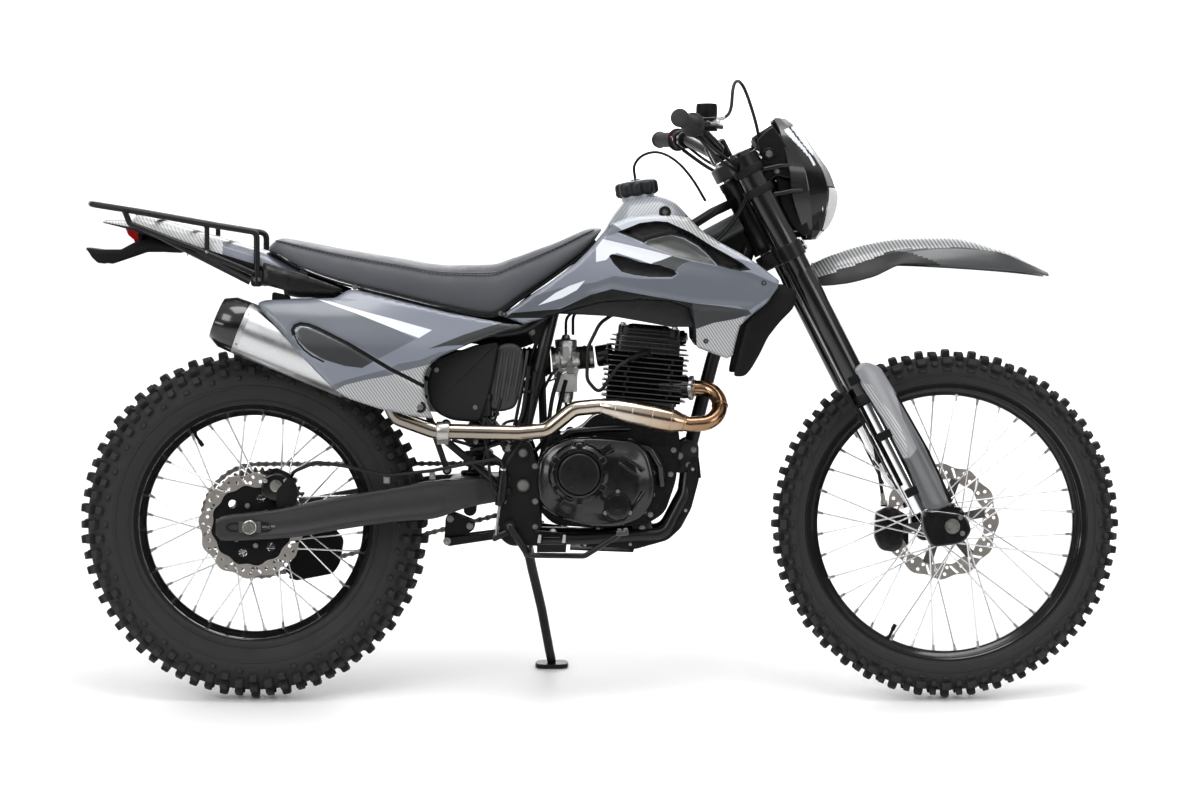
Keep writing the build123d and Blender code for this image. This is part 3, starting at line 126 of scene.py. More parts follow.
def edge_distance(p, poly):
    best = 1e9
    for a, b in zip(poly, poly[1:] + poly[:1]):
        ax, ay = a
        dx, dy = b[0] - ax, b[1] - ay
        L = dx * dx + dy * dy
        t = 0 if L == 0 else max(0, min(1, ((p[0] - ax) * dx + (p[1] - ay) * dy) / L))
        d = math.hypot(p[0] - ax - t * dx, p[1] - ay - t * dy)
        best = min(best, d)
    return best


def soft_path(pts, rounds=4):
    """Smooth bend of a hose: corners cut again and again, ends kept."""
    pts = [Vector(p) for p in pts]
    for _ in range(rounds):
        out = [pts[0]]
        for i in range(len(pts) - 1):
            a, b = pts[i], pts[i + 1]
            if i > 0:
                out.append(a.lerp(b, 0.25))
            if i < len(pts) - 2:
                out.append(a.lerp(b, 0.75))
        pts = out + [pts[-1]]
    return pts


def fillet_path(pts, radius, step=8):
    """Straight runs joined by arcs, as a list of points."""
    pts = [Vector(p) for p in pts]
    out = [pts[0]]
    for i in range(1, len(pts) - 1):
        a, b, c = pts[i - 1], pts[i], pts[i + 1]
        r = radius[i - 1] if isinstance(radius, (list, tuple)) else radius
        u, v = (a - b), (c - b)
        la, lc = u.length, v.length
        u.normalize(); v.normalize()
        ang = math.acos(max(-1, min(1, -u.dot(v))))
        if ang < 1e-3:
            continue
        tl = min(r * math.tan(ang / 2), la * 0.48, lc * 0.48)
        n = max(2, int(math.degrees(ang) / step) + 1)
        for k in range(n + 1):
            t = k / n
            p = b + u * tl * (1 - t) ** 2 + v * tl * t ** 2
            out.append(p)
    out.append(pts[-1])
    return out


def round_outline(pts, r=6.0, n=4):
    out = []
    m = len(pts)
    for i in range(m):
        a, b, c = Vector(pts[i - 1]), Vector(pts[i]), Vector(pts[(i + 1) % m])
        u, v = a - b, c - b
        t = min(r, u.length * 0.45, v.length * 0.45)
        if u.length < 1e-6 or v.length < 1e-6:
            continue
        u.normalize(); v.normalize()
        for k in range(n + 1):
            s = k / n
            out.append(tuple(b + u * t * (1 - s) ** 2 + v * t * s ** 2))
    return out


# ----------------------------------------------------------------- mesh helpers
def sweep(bm, path, r, seg=14, caps=True, closed=False, flat=None, scale=None):
    """Round bar along a list of points. flat=(a, b) gives an oval section."""
    path = [Vector(p) for p in path]
    n = len(path)
    tang = []
    for i in range(n):
        a = path[i - 1] if (i > 0 or closed) else path[i]
        b = path[(i + 1) % n] if (i < n - 1 or closed) else path[i]
        d = b - a
        tang.append(d.normalized() if d.length > 1e-9 else Vector((1, 0, 0)))
    ref = Vector((0, 0, 1)) if abs(tang[0].z) < 0.9 else Vector((0, 1, 0))
    nrm = (ref - tang[0] * ref.dot(tang[0])).normalized()
    rings = []
    for i in range(n):
        if i:
            nrm = (nrm - tang[i] * nrm.dot(tang[i]))
            nrm.normalize()
        bi = tang[i].cross(nrm)
        rr = r if not callable(r) else r(i / (n - 1))
        ring = []
        for k in range(seg):
            a = 2 * math.pi * k / seg
            ca, sa = math.cos(a), math.sin(a)
            if flat:
                ca, sa = ca * flat[0], sa * flat[1]
            ring.append(bm.verts.new(path[i] + nrm * rr * ca + bi * rr * sa))
        rings.append(ring)
    rng = range(n if closed else n - 1)
    for i in rng:
        A, B = rings[i], rings[(i + 1) % n]
        for k in range(seg):
            bm.faces.new((A[k], A[(k + 1) % seg], B[(k + 1) % seg], B[k]))
    if caps and not closed:
        bm.faces.new(rings[0][::-1])
        bm.faces.new(rings[-1])
    return rings


def bar(bm, a, b, r0, r1=None, seg=20):
    a, b = Vector(a), Vector(b)
    t0 = (b - a).normalized()
    ref = Vector((0, 0, 1)) if abs(t0.z) < 0.9 else Vector((0, 1, 0))
    nrm = (ref - t0 * ref.dot(t0)).normalized()
    bi = t0.cross(nrm)
    r1 = r0 if r1 is None else r1
    R = []
    for p, r in ((a, r0), (b, r1)):
        R.append([bm.verts.new(p + (nrm * math.cos(2 * math.pi * k / seg) + bi * math.sin(2 * math.pi * k / seg)) * r) for k in range(seg)])
    for k in range(seg):
        bm.faces.new((R[0][k], R[0][(k + 1) % seg], R[1][(k + 1) % seg], R[1][k]))
    bm.faces.new(R[0][::-1])
    bm.faces.new(R[1])


def lathe(bm, profile, origin, axis, seg=64, closed=True, ripple=None):
    """profile [(radius, along)] about axis through origin."""
    o, ax = Vector(origin), Vector(axis).normalized()
    ref = Vector((1, 0, 0)) if abs(ax.x) < 0.9 else Vector((0, 0, 1))
    u = (ref - ax * ref.dot(ax)).normalized()
    w = ax.cross(u)
    rings = []
    for r, h in profile:
        ring = []
        for k in range(seg):
            a = 2 * math.pi * k / seg
            rr = r if ripple is None else ripple(r, h, a)
            ring.append(bm.verts.new(o + ax * h + (u * math.cos(a) + w * math.sin(a)) * rr))
        rings.append(ring)
    m = len(rings)
    for i in range(m if closed else m - 1):
        A, B = rings[i], rings[(i + 1) % m]
        for k in range(seg):
            bm.faces.new((A[k], B[k], B[(k + 1) % seg], A[(k + 1) % seg]))
    if not closed:
        if profile[0][0] > 1e-6:
            bm.faces.new(rings[0])
        if profile[-1][0] > 1e-6:
            bm.faces.new(rings[-1][::-1])
    return rings


def block(bm, centre, size, ax=None, taper=1.0):
    """Box; ax = (xdir, ydir, zdir); taper scales the +z face."""
    c = Vector(centre)
    X, Y, Z = ax if ax else (Vector((1, 0, 0)), Vector((0, 1, 0)), Vector((0, 0, 1)))
    X, Y, Z = Vector(X), Vector(Y), Vector(Z)
    v = []
    for dz in (-0.5, 0.5):
        k = taper if dz > 0 else 1.0
        for dx, dy in ((-0.5, -0.5), (0.5, -0.5), (0.5, 0.5), (-0.5, 0.5)):
            v.append(bm.verts.new(c + X * size[0] * dx * k + Y * size[1] * dy * k + Z * size[2] * dz))
    for f in ((0, 3, 2, 1), (4, 5, 6, 7), (0, 1, 5, 4), (1, 2, 6, 5), (2, 3, 7, 6), (3, 0, 4, 7)):
        bm.faces.new([v[i] for i in f])
    return v


def prism(bm, outline, y0, y1, flip=False):
    """Side-view outline [(x, z)] from y0 to y1."""
    A = [bm.verts.new((x, y0, z)) for x, z in outline]
    B = [bm.verts.new((x, y1, z)) for x, z in outline]
    n = len(A)
    for i in range(n):
        bm.faces.new((A[i], A[(i + 1) % n], B[(i + 1) % n], B[i]))
    bm.faces.new(A[::-1])
    bm.faces.new(B)


def hexhead(bm, p, d, r, h):
    """Hexagon bolt head with a small washer at p, pointing along d."""
    p, d = Vector(p), Vector(d).normalized()
    bar(bm, p, p + d * h * 0.22, r * 1.25, r * 1.2, seg=20)
    bar(bm, p + d * h * 0.2, p + d * h * 0.86, r, r, seg=6)
    bar(bm, p + d * h * 0.8, p + d * h, r * 0.86, r * 0.74, seg=18)


def inset(outline, d):
    """Shrink a roughly convex outline by d along its corner bisectors."""
    n = len(outline)
    area2 = sum(outline[i][0] * outline[(i + 1) % n][1] - outline[(i + 1) % n][0] * outline[i][1] for i in range(n))
    sg = 1 if area2 > 0 else -1
    out = []
    for i in range(n):
        a, p, c = Vector(outline[i - 1]), Vector(outline[i]), Vector(outline[(i + 1) % n])
        u, v = (p - a).normalized(), (c - p).normalized()
        nu, nv = Vector((-u.y, u.x)) * sg, Vector((-v.y, v.x)) * sg
        m = nu + nv
        m = m.normalized() / max(0.5, m.normalized().dot(nu)) if m.length > 1e-6 else nu
        q = p + m * d
        out.append((q.x, q.y))
    return out


def slab(bm, outline, y0, y1, r=6, n=3, edge=1.2):
    """Side-view plate with softened rim."""
    pts = round_outline(outline, r, n) if r else outline
    s = 1 if y1 > y0 else -1
    rings = []
    for d, y in ((edge, y0), (0, y0 + s * edge), (0, y1 - s * edge), (edge, y1)):
        q = inset(pts, d) if d else pts
        rings.append([bm.verts.new((x, y, z)) for x, z in q])
    m = len(pts)
    for A, B in zip(rings, rings[1:]):
        for i in range(m):
            bm.faces.new((A[i], A[(i + 1) % m], B[(i + 1) % m], B[i]))
    bm.faces.new(rings[0][::-1]); bm.faces.new(rings[-1])


def patch(outline, cell, fn):
    """Flat outline [(a, b)] cut into a fine grid, then each point moved by fn(a, b)."""
    bm = bmesh.new()
    vs = [bm.verts.new((a, 0, b)) for a, b in outline]
    bm.faces.new(vs)
    lo_a, hi_a = min(p[0] for p in outline), max(p[0] for p in outline)
    lo_b, hi_b = min(p[1] for p in outline), max(p[1] for p in outline)
    k = math.ceil(lo_a / cell) * cell
    while k < hi_a:
        bmesh.ops.bisect_plane(bm, geom=bm.verts[:] + bm.edges[:] + bm.faces[:], plane_co=(k, 0, 0), plane_no=(1, 0, 0), dist=1e-4)
        k += cell
    k = math.ceil(lo_b / cell) * cell
    while k < hi_b:
        bmesh.ops.bisect_plane(bm, geom=bm.verts[:] + bm.edges[:] + bm.faces[:], plane_co=(0, 0, k), plane_no=(0, 0, 1), dist=1e-4)
        k += cell
    for v in bm.verts:
        v.co = Vector(fn(v.co.x, v.co.z))
    return bm


MADE = []


def piece(name, bm, body, mat, rep=(), smooth=True, angle=38, solid=0.0, solid_off=-1.0,
          bevel=0.0, seg=2, sub=0, weld=False, bevel_angle=35, fix_normals=True):
    if weld:
        bmesh.ops.remove_doubles(bm, verts=bm.verts[:], dist=0.01)
    if fix_normals:
        bmesh.ops.recalc_face_normals(bm, faces=bm.faces[:])
    bm.transform(MAT[body])
    me = bpy.data.meshes.new(name)
    bm.to_mesh(me)
    bm.free()
    for m in (mat if isinstance(mat, (list, tuple)) else [mat]):
        me.materials.append(m)
    if smooth:
        for p in me.polygons:
            p.use_smooth = True
        me.set_sharp_from_angle(angle=math.radians(angle))
    ob = bpy.data.objects.new(name, me)
    bpy.context.scene.collection.objects.link(ob)
    if solid:
        md = ob.modifiers.new("wall", "SOLIDIFY")
        md.thickness, md.offset = solid * 0.001, solid_off
        md.use_even_offset = True
    if bevel:
        md = ob.modifiers.new("edge", "BEVEL")
        md.width, md.segments = bevel * 0.001, seg
        md.limit_method, md.angle_limit = "ANGLE", math.radians(bevel_angle)
        md.harden_normals = False
    if sub:
        md = ob.modifiers.new("sub", "SUBSURF")
        md.levels = md.render_levels = sub
    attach(ob, body)
    if rep:
        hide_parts(*([rep] if isinstance(rep, str) else rep))
    MADE.append(ob)
    return ob


# ----------------------------------------------------------------- materials
def tree(name):
    m = bpy.data.materials.new(name)
    m.use_nodes = True
    nt = m.node_tree
    for n in list(nt.nodes):
        nt.nodes.remove(n)
    out = nt.nodes.new("ShaderNodeOutputMaterial")
    sh = nt.nodes.new("ShaderNodeBsdfPrincipled")
    nt.links.new(sh.outputs[0], out.inputs[0])
    return m, nt, sh


def node(nt, kind, **kw):
    n = nt.nodes.new(kind)
    for k, v in kw.items():
        setattr(n, k, v)
    return n


def coords(nt, scale=(1, 1, 1), rot=(0, 0, 0)):
    tc = node(nt, "ShaderNodeTexCoord")
    mp = node(nt, "ShaderNodeMapping")
    mp.inputs["Scale"].default_value = scale
    mp.inputs["Rotation"].default_value = rot
    nt.links.new(tc.outputs["Object"], mp.inputs["Vector"])
    return mp.outputs[0]


def mix_rgb(nt, fac, a, b):
    m = node(nt, "ShaderNodeMix", data_type="RGBA")
    if isinstance(fac, float):
        m.inputs[0].default_value = fac
    else:
        nt.links.new(fac, m.inputs[0])
    for i, v in ((6, a), (7, b)):
        if isinstance(v, (tuple, list)):
            m.inputs[i].default_value = (*v[:3], 1)
        else:
            nt.links.new(v, m.inputs[i])
    return m.outputs[2]


def ramp(nt, src, lo, hi, a=0.0, b=1.0):
    r = node(nt, "ShaderNodeMapRange")
    nt.links.new(src, r.inputs[0])
    r.inputs[1].default_value, r.inputs[2].default_value = a, b
    r.inputs[3].default_value, r.inputs[4].default_value = lo, hi
    return r.outputs[0]


def noisy(nt, vec, scale, detail=3.0, rough=0.55):
    n = node(nt, "ShaderNodeTexNoise")
    n.inputs["Scale"].default_value = scale
    n.inputs["Detail"].default_value = detail
    n.inputs["Roughness"].default_value = rough
    nt.links.new(vec, n.inputs["Vector"])
    return n.outputs[0]


def bump(nt, sh, height, strength=0.2, distance=0.001, chain=None):
    b = node(nt, "ShaderNodeBump")
    b.inputs["Strength"].default_value = strength
    b.inputs["Distance"].default_value = distance
    nt.links.new(height, b.inputs["Height"])
    if chain is not None:
        nt.links.new(chain, b.inputs["Normal"])
    nt.links.new(b.outputs[0], sh.inputs["Normal"])
    return b.outputs[0]


def surface(name, col, rough=0.4, metal=0.0, var=0.06, rvar=0.08, scale=6.0, bumps=0.0,
            bump_scale=400.0, coat=0.0, coat_rough=0.1, dust=0.0, stretch=(1, 1, 1), spec=0.5,
            edge=0.0, detail=4.0, aniso=0.0):
    """General painted, moulded or metal surface with tone, roughness and fine relief."""
    m, nt, sh = tree(name)
    vec = coords(nt, stretch)
    n1 = noisy(nt, vec, scale, detail)
    n2 = noisy(nt, vec, scale * 7.3, 4.0)
    dark = tuple(max(0.0, c * (1 - var)) for c in col)
    light = tuple(min(1.0, c * (1 + var) + var * 0.01) for c in col)
    c = mix_rgb(nt, n1, dark, light)
    if dust:
        d = ramp(nt, n2, 0.0, dust, 0.45, 0.85)
        c = mix_rgb(nt, d, c, (0.36, 0.34, 0.31))
    if edge:
        g = node(nt, "ShaderNodeNewGeometry")
        e = ramp(nt, g.outputs["Pointiness"], 0.0, edge, 0.52, 0.60)
        c = mix_rgb(nt, e, c, tuple(min(1, x * 1.7 + 0.10) for x in col))
    nt.links.new(c, sh.inputs["Base Color"])
    nt.links.new(ramp(nt, n2, max(0.02, rough - rvar), min(1, rough + rvar), 0.25, 0.75), sh.inputs["Roughness"])
    sh.inputs["Metallic"].default_value = metal
    sh.inputs["Coat Weight"].default_value = coat
    sh.inputs["Coat Roughness"].default_value = coat_rough
    sh.inputs["Specular IOR Level"].default_value = spec
    if aniso:
        sh.inputs["Anisotropic"].default_value = aniso
    if bumps:
        n3 = noisy(nt, vec, bump_scale, 2.0)
        bump(nt, sh, n3, bumps, 0.0006)
    return m


def brushed(name, col, rough=0.3, axis=(1, 30, 30), tint=0.12, scale=40):
    m, nt, sh = tree(name)
    vec = coords(nt, axis)
    n1 = noisy(nt, vec, scale, 3.0)
    n2 = noisy(nt, coords(nt), 7.0, 3.0)
    c = mix_rgb(nt, n1, tuple(x * (1 - tint) for x in col), tuple(min(1, x * (1 + tint)) for x in col))
    nt.links.new(c, sh.inputs["Base Color"])
    sh.inputs["Metallic"].default_value = 1.0
    nt.links.new(ramp(nt, n2, rough * 0.75, rough * 1.3, 0.3, 0.7), sh.inputs["Roughness"])
    bump(nt, sh, n1, 0.10, 0.0004)
    return m


def hatch(name, base, line, pitch=0.0035, angle=0.7, rough=0.3, amount=0.55, lo=0.42, hi=0.58, coat=0.3, fade=None):
    """Printed fine hatching over a panel colour. fade=(axis, from, to): lines fade out."""
    m, nt, sh = tree(name)
    vec = coords(nt, (1, 1, 1), (0, angle, 0))
    w = node(nt, "ShaderNodeTexWave", wave_type="BANDS", bands_direction="X")
    w.inputs["Scale"].default_value = 0.314 / pitch
    w.inputs["Distortion"].default_value = 0.0
    nt.links.new(vec, w.inputs["Vector"])
    f = ramp(nt, w.outputs["Fac"], 0.0, amount, lo, hi)
    n1 = noisy(nt, coords(nt), 9.0, 3.0)
    if fade:
        tc = node(nt, "ShaderNodeTexCoord")
        sp = node(nt, "ShaderNodeSeparateXYZ")
        nt.links.new(tc.outputs["Object"], sp.inputs[0])
        g = ramp(nt, sp.outputs[fade[0]], 0.0, 1.0, fade[1], fade[2])
        mul = node(nt, "ShaderNodeMath", operation="MULTIPLY")
        nt.links.new(f, mul.inputs[0]); nt.links.new(g, mul.inputs[1])
        f = mul.outputs[0]
    b2 = mix_rgb(nt, n1, tuple(x * 0.94 for x in base), tuple(min(1, x * 1.06) for x in base))
    c = mix_rgb(nt, f, b2, line)
    nt.links.new(c, sh.inputs["Base Color"])
    nt.links.new(ramp(nt, noisy(nt, coords(nt), 60.0), rough - 0.05, rough + 0.08), sh.inputs["Roughness"])
    sh.inputs["Coat Weight"].default_value = coat
    sh.inputs["Coat Roughness"].default_value = 0.12
    bump(nt, sh, w.outputs["Fac"], 0.03, 0.0002)
    return m


def leather(name, col):
    """Grained seat vinyl with soft creases."""
    m, nt, sh = tree(name)
    vec = coords(nt)
    v = node(nt, "ShaderNodeTexVoronoi", feature="DISTANCE_TO_EDGE")
    v.inputs["Scale"].default_value = 520.0
    nt.links.new(vec, v.inputs["Vector"])
    n1 = noisy(nt, vec, 9.0, 5.0)
    n2 = noisy(nt, vec, 55.0, 4.0)
    c = mix_rgb(nt, n1, tuple(x * 0.82 for x in col), tuple(x * 1.22 for x in col))
    nt.links.new(c, sh.inputs["Base Color"])
    nt.links.new(ramp(nt, n2, 0.42, 0.62, 0.3, 0.7), sh.inputs["Roughness"])
    sh.inputs["Sheen Weight"].default_value = 0.25
    sh.inputs["Sheen Roughness"].default_value = 0.5
    b1 = bump(nt, sh, v.outputs["Distance"], 0.35, 0.0008)
    bump(nt, sh, n2, 0.12, 0.002, chain=b1)
    return m


def heat_steel(name):
    """Exhaust steel: warm tint that deepens at the port."""
    m, nt, sh = tree(name)
    tc = node(nt, "ShaderNodeTexCoord")
    sp = node(nt, "ShaderNodeSeparateXYZ")
    nt.links.new(tc.outputs["Object"], sp.inputs[0])
    n1 = noisy(nt, coords(nt), 14.0, 5.0)
    n2 = noisy(nt, coords(nt, (3, 60, 60)), 30.0, 3.0)
    cr_ = node(nt, "ShaderNodeValToRGB")
    e = cr_.color_ramp.elements
    e[0].position, e[0].color = 0.0, (0.28, 0.252, 0.220, 1)
    e[1].position, e[1].color = 1.0, (0.30, 0.185, 0.112, 1)
    for p, c in ((0.30, (0.32, 0.282, 0.238, 1)), (0.50, (0.40, 0.342, 0.280, 1)), (0.70, (0.57, 0.52, 0.45, 1)),
                 (0.90, (0.37, 0.255, 0.168, 1))):
        k = e.new(p); k.color = c
    g = ramp(nt, sp.outputs[0], 0.0, 1.0, -0.42, 0.235)
    add = node(nt, "ShaderNodeMath", operation="MULTIPLY_ADD")
    nt.links.new(n1, add.inputs[0]); add.inputs[1].default_value = 0.16; nt.links.new(g, add.inputs[2])
    sub = node(nt, "ShaderNodeMath", operation="SUBTRACT")
    nt.links.new(add.outputs[0], sub.inputs[0]); sub.inputs[1].default_value = 0.08
    nt.links.new(sub.outputs[0], cr_.inputs[0])
    nt.links.new(cr_.outputs[0], sh.inputs["Base Color"])
    sh.inputs["Metallic"].default_value = 1.0
    nt.links.new(ramp(nt, n1, 0.12, 0.24, 0.3, 0.7), sh.inputs["Roughness"])
    bump(nt, sh, n2, 0.02, 0.0002)
    return m


def rubber_tyre(name):
    m, nt, sh = tree(name)
    vec = coords(nt)
    n1 = noisy(nt, vec, 16.0, 5.0)
    n2 = noisy(nt, vec, 260.0, 3.0)
    c = mix_rgb(nt, n1, (0.012, 0.012, 0.012), (0.034, 0.033, 0.032))
    nt.links.new(c, sh.inputs["Base Color"])
    nt.links.new(ramp(nt, n1, 0.58, 0.82, 0.3, 0.7), sh.inputs["Roughness"])
    bump(nt, sh, n2, 0.22, 0.0008)
    return m


def disc_steel(name, cx, cz):
    """Ground steel disc: fine rings round the wheel centre (row frame, metres)."""
    m, nt, sh = tree(name)
    tc = node(nt, "ShaderNodeTexCoord")
    sub = node(nt, "ShaderNodeVectorMath", operation="SUBTRACT")
    sub.inputs[1].default_value = (cx, 0, cz)
    nt.links.new(tc.outputs["Object"], sub.inputs[0])
    mul = node(nt, "ShaderNodeVectorMath", operation="MULTIPLY")
    mul.inputs[1].default_value = (1, 0.0, 1)
    nt.links.new(sub.outputs[0], mul.inputs[0])
    ln = node(nt, "ShaderNodeVectorMath", operation="LENGTH")
    nt.links.new(mul.outputs[0], ln.inputs[0])
    cmb = node(nt, "ShaderNodeCombineXYZ")
    nt.links.new(ln.outputs["Value"], cmb.inputs[0])
    n1 = noisy(nt, cmb.outputs[0], 900.0, 2.0)
    n2 = noisy(nt, coords(nt), 30.0, 4.0)
    c = mix_rgb(nt, n1, (0.40, 0.37, 0.34), (0.66, 0.63, 0.60))
    c = mix_rgb(nt, ramp(nt, n2, 0.0, 0.35, 0.45, 0.75), c, (0.34, 0.27, 0.21))
    nt.links.new(c, sh.inputs["Base Color"])
    sh.inputs["Metallic"].default_value = 1.0
    nt.links.new(ramp(nt, n1, 0.22, 0.42), sh.inputs["Roughness"])
    bump(nt, sh, n1, 0.08, 0.0003)
    return m


def clear(name, col=(0.95, 0.96, 0.97), rough=0.02, through=0.55, ridges=0.0):
    m, nt, sh = tree(name)
    n1 = noisy(nt, coords(nt), 5.0, 2.0)
    c = mix_rgb(nt, n1, tuple(x * 0.97 for x in col), col)
    nt.links.new(c, sh.inputs["Base Color"])
    sh.inputs["Transmission Weight"].default_value = through
    sh.inputs["Roughness"].default_value = rough
    sh.inputs["IOR"].default_value = 1.45
    if ridges:
        w = node(nt, "ShaderNodeTexWave", wave_type="BANDS", bands_direction="Y")
        w.inputs["Scale"].default_value = ridges
        nt.links.new(coords(nt), w.inputs["Vector"])
        bump(nt, sh, w.outputs["Fac"], 0.25, 0.001)
    return m


PANEL_GREY = surface("panel_grey", (0.198, 0.214, 0.252), 0.34, 0, 0.04, 0.05, 5, 0.02, 900, coat=0.35, coat_rough=0.16)
PANEL_LIGHT = surface("panel_light", (0.40, 0.425, 0.46), 0.34, 0, 0.03, 0.05, 5, 0.02, 900, coat=0.3, coat_rough=0.16)
PANEL_MID = surface("panel_mid", (0.125, 0.137, 0.158), 0.34, 0, 0.05, 0.05, 5, 0.02, 900, coat=0.35, coat_rough=0.16)
PANEL_MID2 = surface("panel_mid_dark", (0.040, 0.043, 0.045), 0.36, 0, 0.05, 0.05, 5, 0.02, 900, coat=0.3, coat_rough=0.16)
PANEL_TOP = surface("panel_top", (0.16, 0.17, 0.185), 0.36, 0, 0.05, 0.05, 5, 0.02, 900, coat=0.3, coat_rough=0.16)
PANEL_BLACK = surface("panel_black", (0.010, 0.0105, 0.011), 0.40, 0, 0.1, 0.05, 5, 0.02, 900, spec=0.30)
PANEL_DARK = surface("panel_dark", (0.060, 0.066, 0.064), 0.36, 0, 0.06, 0.05, 5, 0.02, 900, coat=0.3, coat_rough=0.16)
PANEL_WHITE = surface("panel_white", (0.66, 0.68, 0.72), 0.34, 0, 0.02, 0.05, 5, 0.02, 900, coat=0.3, coat_rough=0.16)
PLASTIC_BLACK = surface("plastic_black", (0.0065, 0.0065, 0.0068), 0.50, 0, 0.2, 0.10, 9, 0.12, 700, spec=0.22)
PLASTIC_SATIN = surface("plastic_satin", (0.008, 0.008, 0.009), 0.32, 0, 0.2, 0.08, 9, 0.05, 900, spec=0.40)
FRAME_GREY = surface("frame_grey", (0.10, 0.103, 0.107), 0.38, 0.35, 0.06, 0.06, 8, 0.05, 900, coat=0.25)
FRAME_BLACK = surface("frame_black", (0.007, 0.007, 0.0075), 0.34, 0.0, 0.2, 0.08, 8, 0.05, 900, spec=0.42)
ARM_GREY = surface("arm_grey", (0.048, 0.047, 0.049), 0.42, 0.35, 0.10, 0.07, 7, 0.08, 800, spec=0.4)
ENGINE_BLACK = surface("engine_black", (0.0055, 0.0055, 0.0058), 0.24, 0.0, 0.20, 0.06, 10, 0.10, 520, spec=0.55, coat=0.35, coat_rough=0.08)
GLOSS_BLACK = surface("gloss_black", (0.006, 0.006, 0.0064), 0.22, 0.0, 0.15, 0.05, 8, 0.03, 900, spec=0.5, coat=0.6, coat_rough=0.06)
# barrel between the fins: darkest black with little shine, a painted shade between the fins
FIN_GAP_SHADE = surface("fin_gap_painted_shade", (0.0028, 0.0028, 0.003), 0.60, 0.0, 0.2, 0.05, 8, 0.10, 500, spec=0.10)
CAP_GREY = surface("cap_grey", (0.020, 0.021, 0.023), 0.38, 0.0, 0.12, 0.06, 9, 0.06, 800, spec=0.4)
ENGINE_GREY = surface("engine_grey", (0.26, 0.265, 0.27), 0.40, 0.85, 0.12, 0.08, 12, 0.12, 500)
# fins: the cylinder's own black, lightened as painted light for the lit fin edges
FIN_LIT_BLACK = surface("fin_black_painted_lit", (0.044, 0.044, 0.046), 0.30, 0.0, 0.15, 0.06, 12, 0.06, 420, spec=0.7)
CAST_ALLOY = surface("cast_alloy", (0.62, 0.62, 0.61), 0.36, 1.0, 0.12, 0.10, 14, 0.12, 480)
ZINC = surface("zinc", (0.43, 0.42, 0.40), 0.30, 1.0, 0.06, 0.06, 9, 0.02, 600)
DARK_STEEL = surface("dark_steel", (0.16, 0.155, 0.15), 0.38, 1.0, 0.2, 0.1, 20, 0.06, 600)
CHROME = surface("chrome", (0.80, 0.80, 0.81), 0.07, 1.0, 0.03, 0.04, 12, 0.0)
SPOKE = surface("spoke_steel", (0.72, 0.72, 0.73), 0.16, 1.0, 0.06, 0.06, 30, 0.0)
RIM_BLACK = surface("rim_black", (0.012, 0.012, 0.013), 0.22, 0.3, 0.15, 0.06, 8, 0.02, 900, coat=0.5, coat_rough=0.1)
CAN = surface("can_alloy", (0.56, 0.565, 0.57), 0.30, 1.0, 0.03, 0.04, 9, 0.02, 900)
CAN_CAP = surface("can_cap", (0.50, 0.50, 0.51), 0.34, 1.0, 0.08, 0.08, 14, 0.06, 600)
HEADER = heat_steel("header_steel")
RUBBER = surface("rubber", (0.008, 0.008, 0.008), 0.60, 0, 0.25, 0.12, 20, 0.15, 500, spec=0.3)
HOSE = surface("hose_rubber", (0.009, 0.009, 0.0095), 0.40, 0, 0.2, 0.1, 30, 0.08, 700, spec=0.4)
GRIP = surface("grip_rubber", (0.018, 0.018, 0.018), 0.55, 0, 0.2, 0.1, 20, 0.2, 650)
TYRE = rubber_tyre("tyre_rubber")
SEAT_VINYL = leather("seat_vinyl", (0.060, 0.064, 0.073))
HATCH_LIGHT = hatch("hatch_light", (0.24, 0.245, 0.25), (0.60, 0.605, 0.61), 0.0050, 0.6)
HATCH_WHITE = hatch("hatch_white", (0.42, 0.425, 0.43), (0.86, 0.865, 0.87), 0.0052, 0.6)
GUARD_GREY = surface("guard_grey", (0.235, 0.240, 0.250), 0.34, 0, 0.04, 0.05, 5, 0.02, 900, coat=0.35, coat_rough=0.16)
GUARD_LOW = surface("guard_low", (0.095, 0.098, 0.103), 0.36, 0, 0.04, 0.05, 5, 0.02, 900, coat=0.3, coat_rough=0.16)
CHAMBER_GREY = surface("chamber_grey", (0.045, 0.045, 0.046), 0.42, 0, 0.15, 0.10, 9, 0.10, 700, spec=0.45)
COVER_BLACK = surface("cover_black", (0.019, 0.019, 0.0195), 0.52, 0, 0.12, 0.08, 9, 0.10, 700, spec=0.25)
HATCH_MID = hatch("hatch_mid", (0.10, 0.102, 0.105), (0.52, 0.525, 0.53), 0.0064, 0.6)
HATCH_TOP = hatch("hatch_top", (0.055, 0.056, 0.058), (0.26, 0.262, 0.265), 0.0034, 0.6)
HATCH_GREY = hatch("hatch_grey", (0.19, 0.205, 0.225), (0.34, 0.36, 0.385), 0.0050, -0.7)
HATCH_DARK = hatch("hatch_dark", (0.07, 0.075, 0.08), (0.20, 0.215, 0.23), 0.0030, 0.75)
LENS = clear("lens_clear")
LENS_RED = surface("lens_red", (0.42, 0.012, 0.010), 0.12, 0, 0.10, 0.04, 40, 0.06, 220, coat=0.8, coat_rough=0.05)
LENS_WHITE = surface("lens_white", (0.80, 0.80, 0.78), 0.10, 0, 0.03, 0.04, 40, 0.05, 200, coat=0.8, coat_rough=0.05)
REFLECTOR = surface("reflector", (0.88, 0.88, 0.89), 0.06, 1.0, 0.03, 0.03, 9, 0.0)
CHAIN_STEEL = surface("chain_steel", (0.30, 0.285, 0.26), 0.34, 1.0, 0.18, 0.10, 40, 0.05, 500)
FLOOR = surface("floor", (0.86, 0.86, 0.86), 0.55, 0, 0.01, 0.05, 0.6, 0.0)

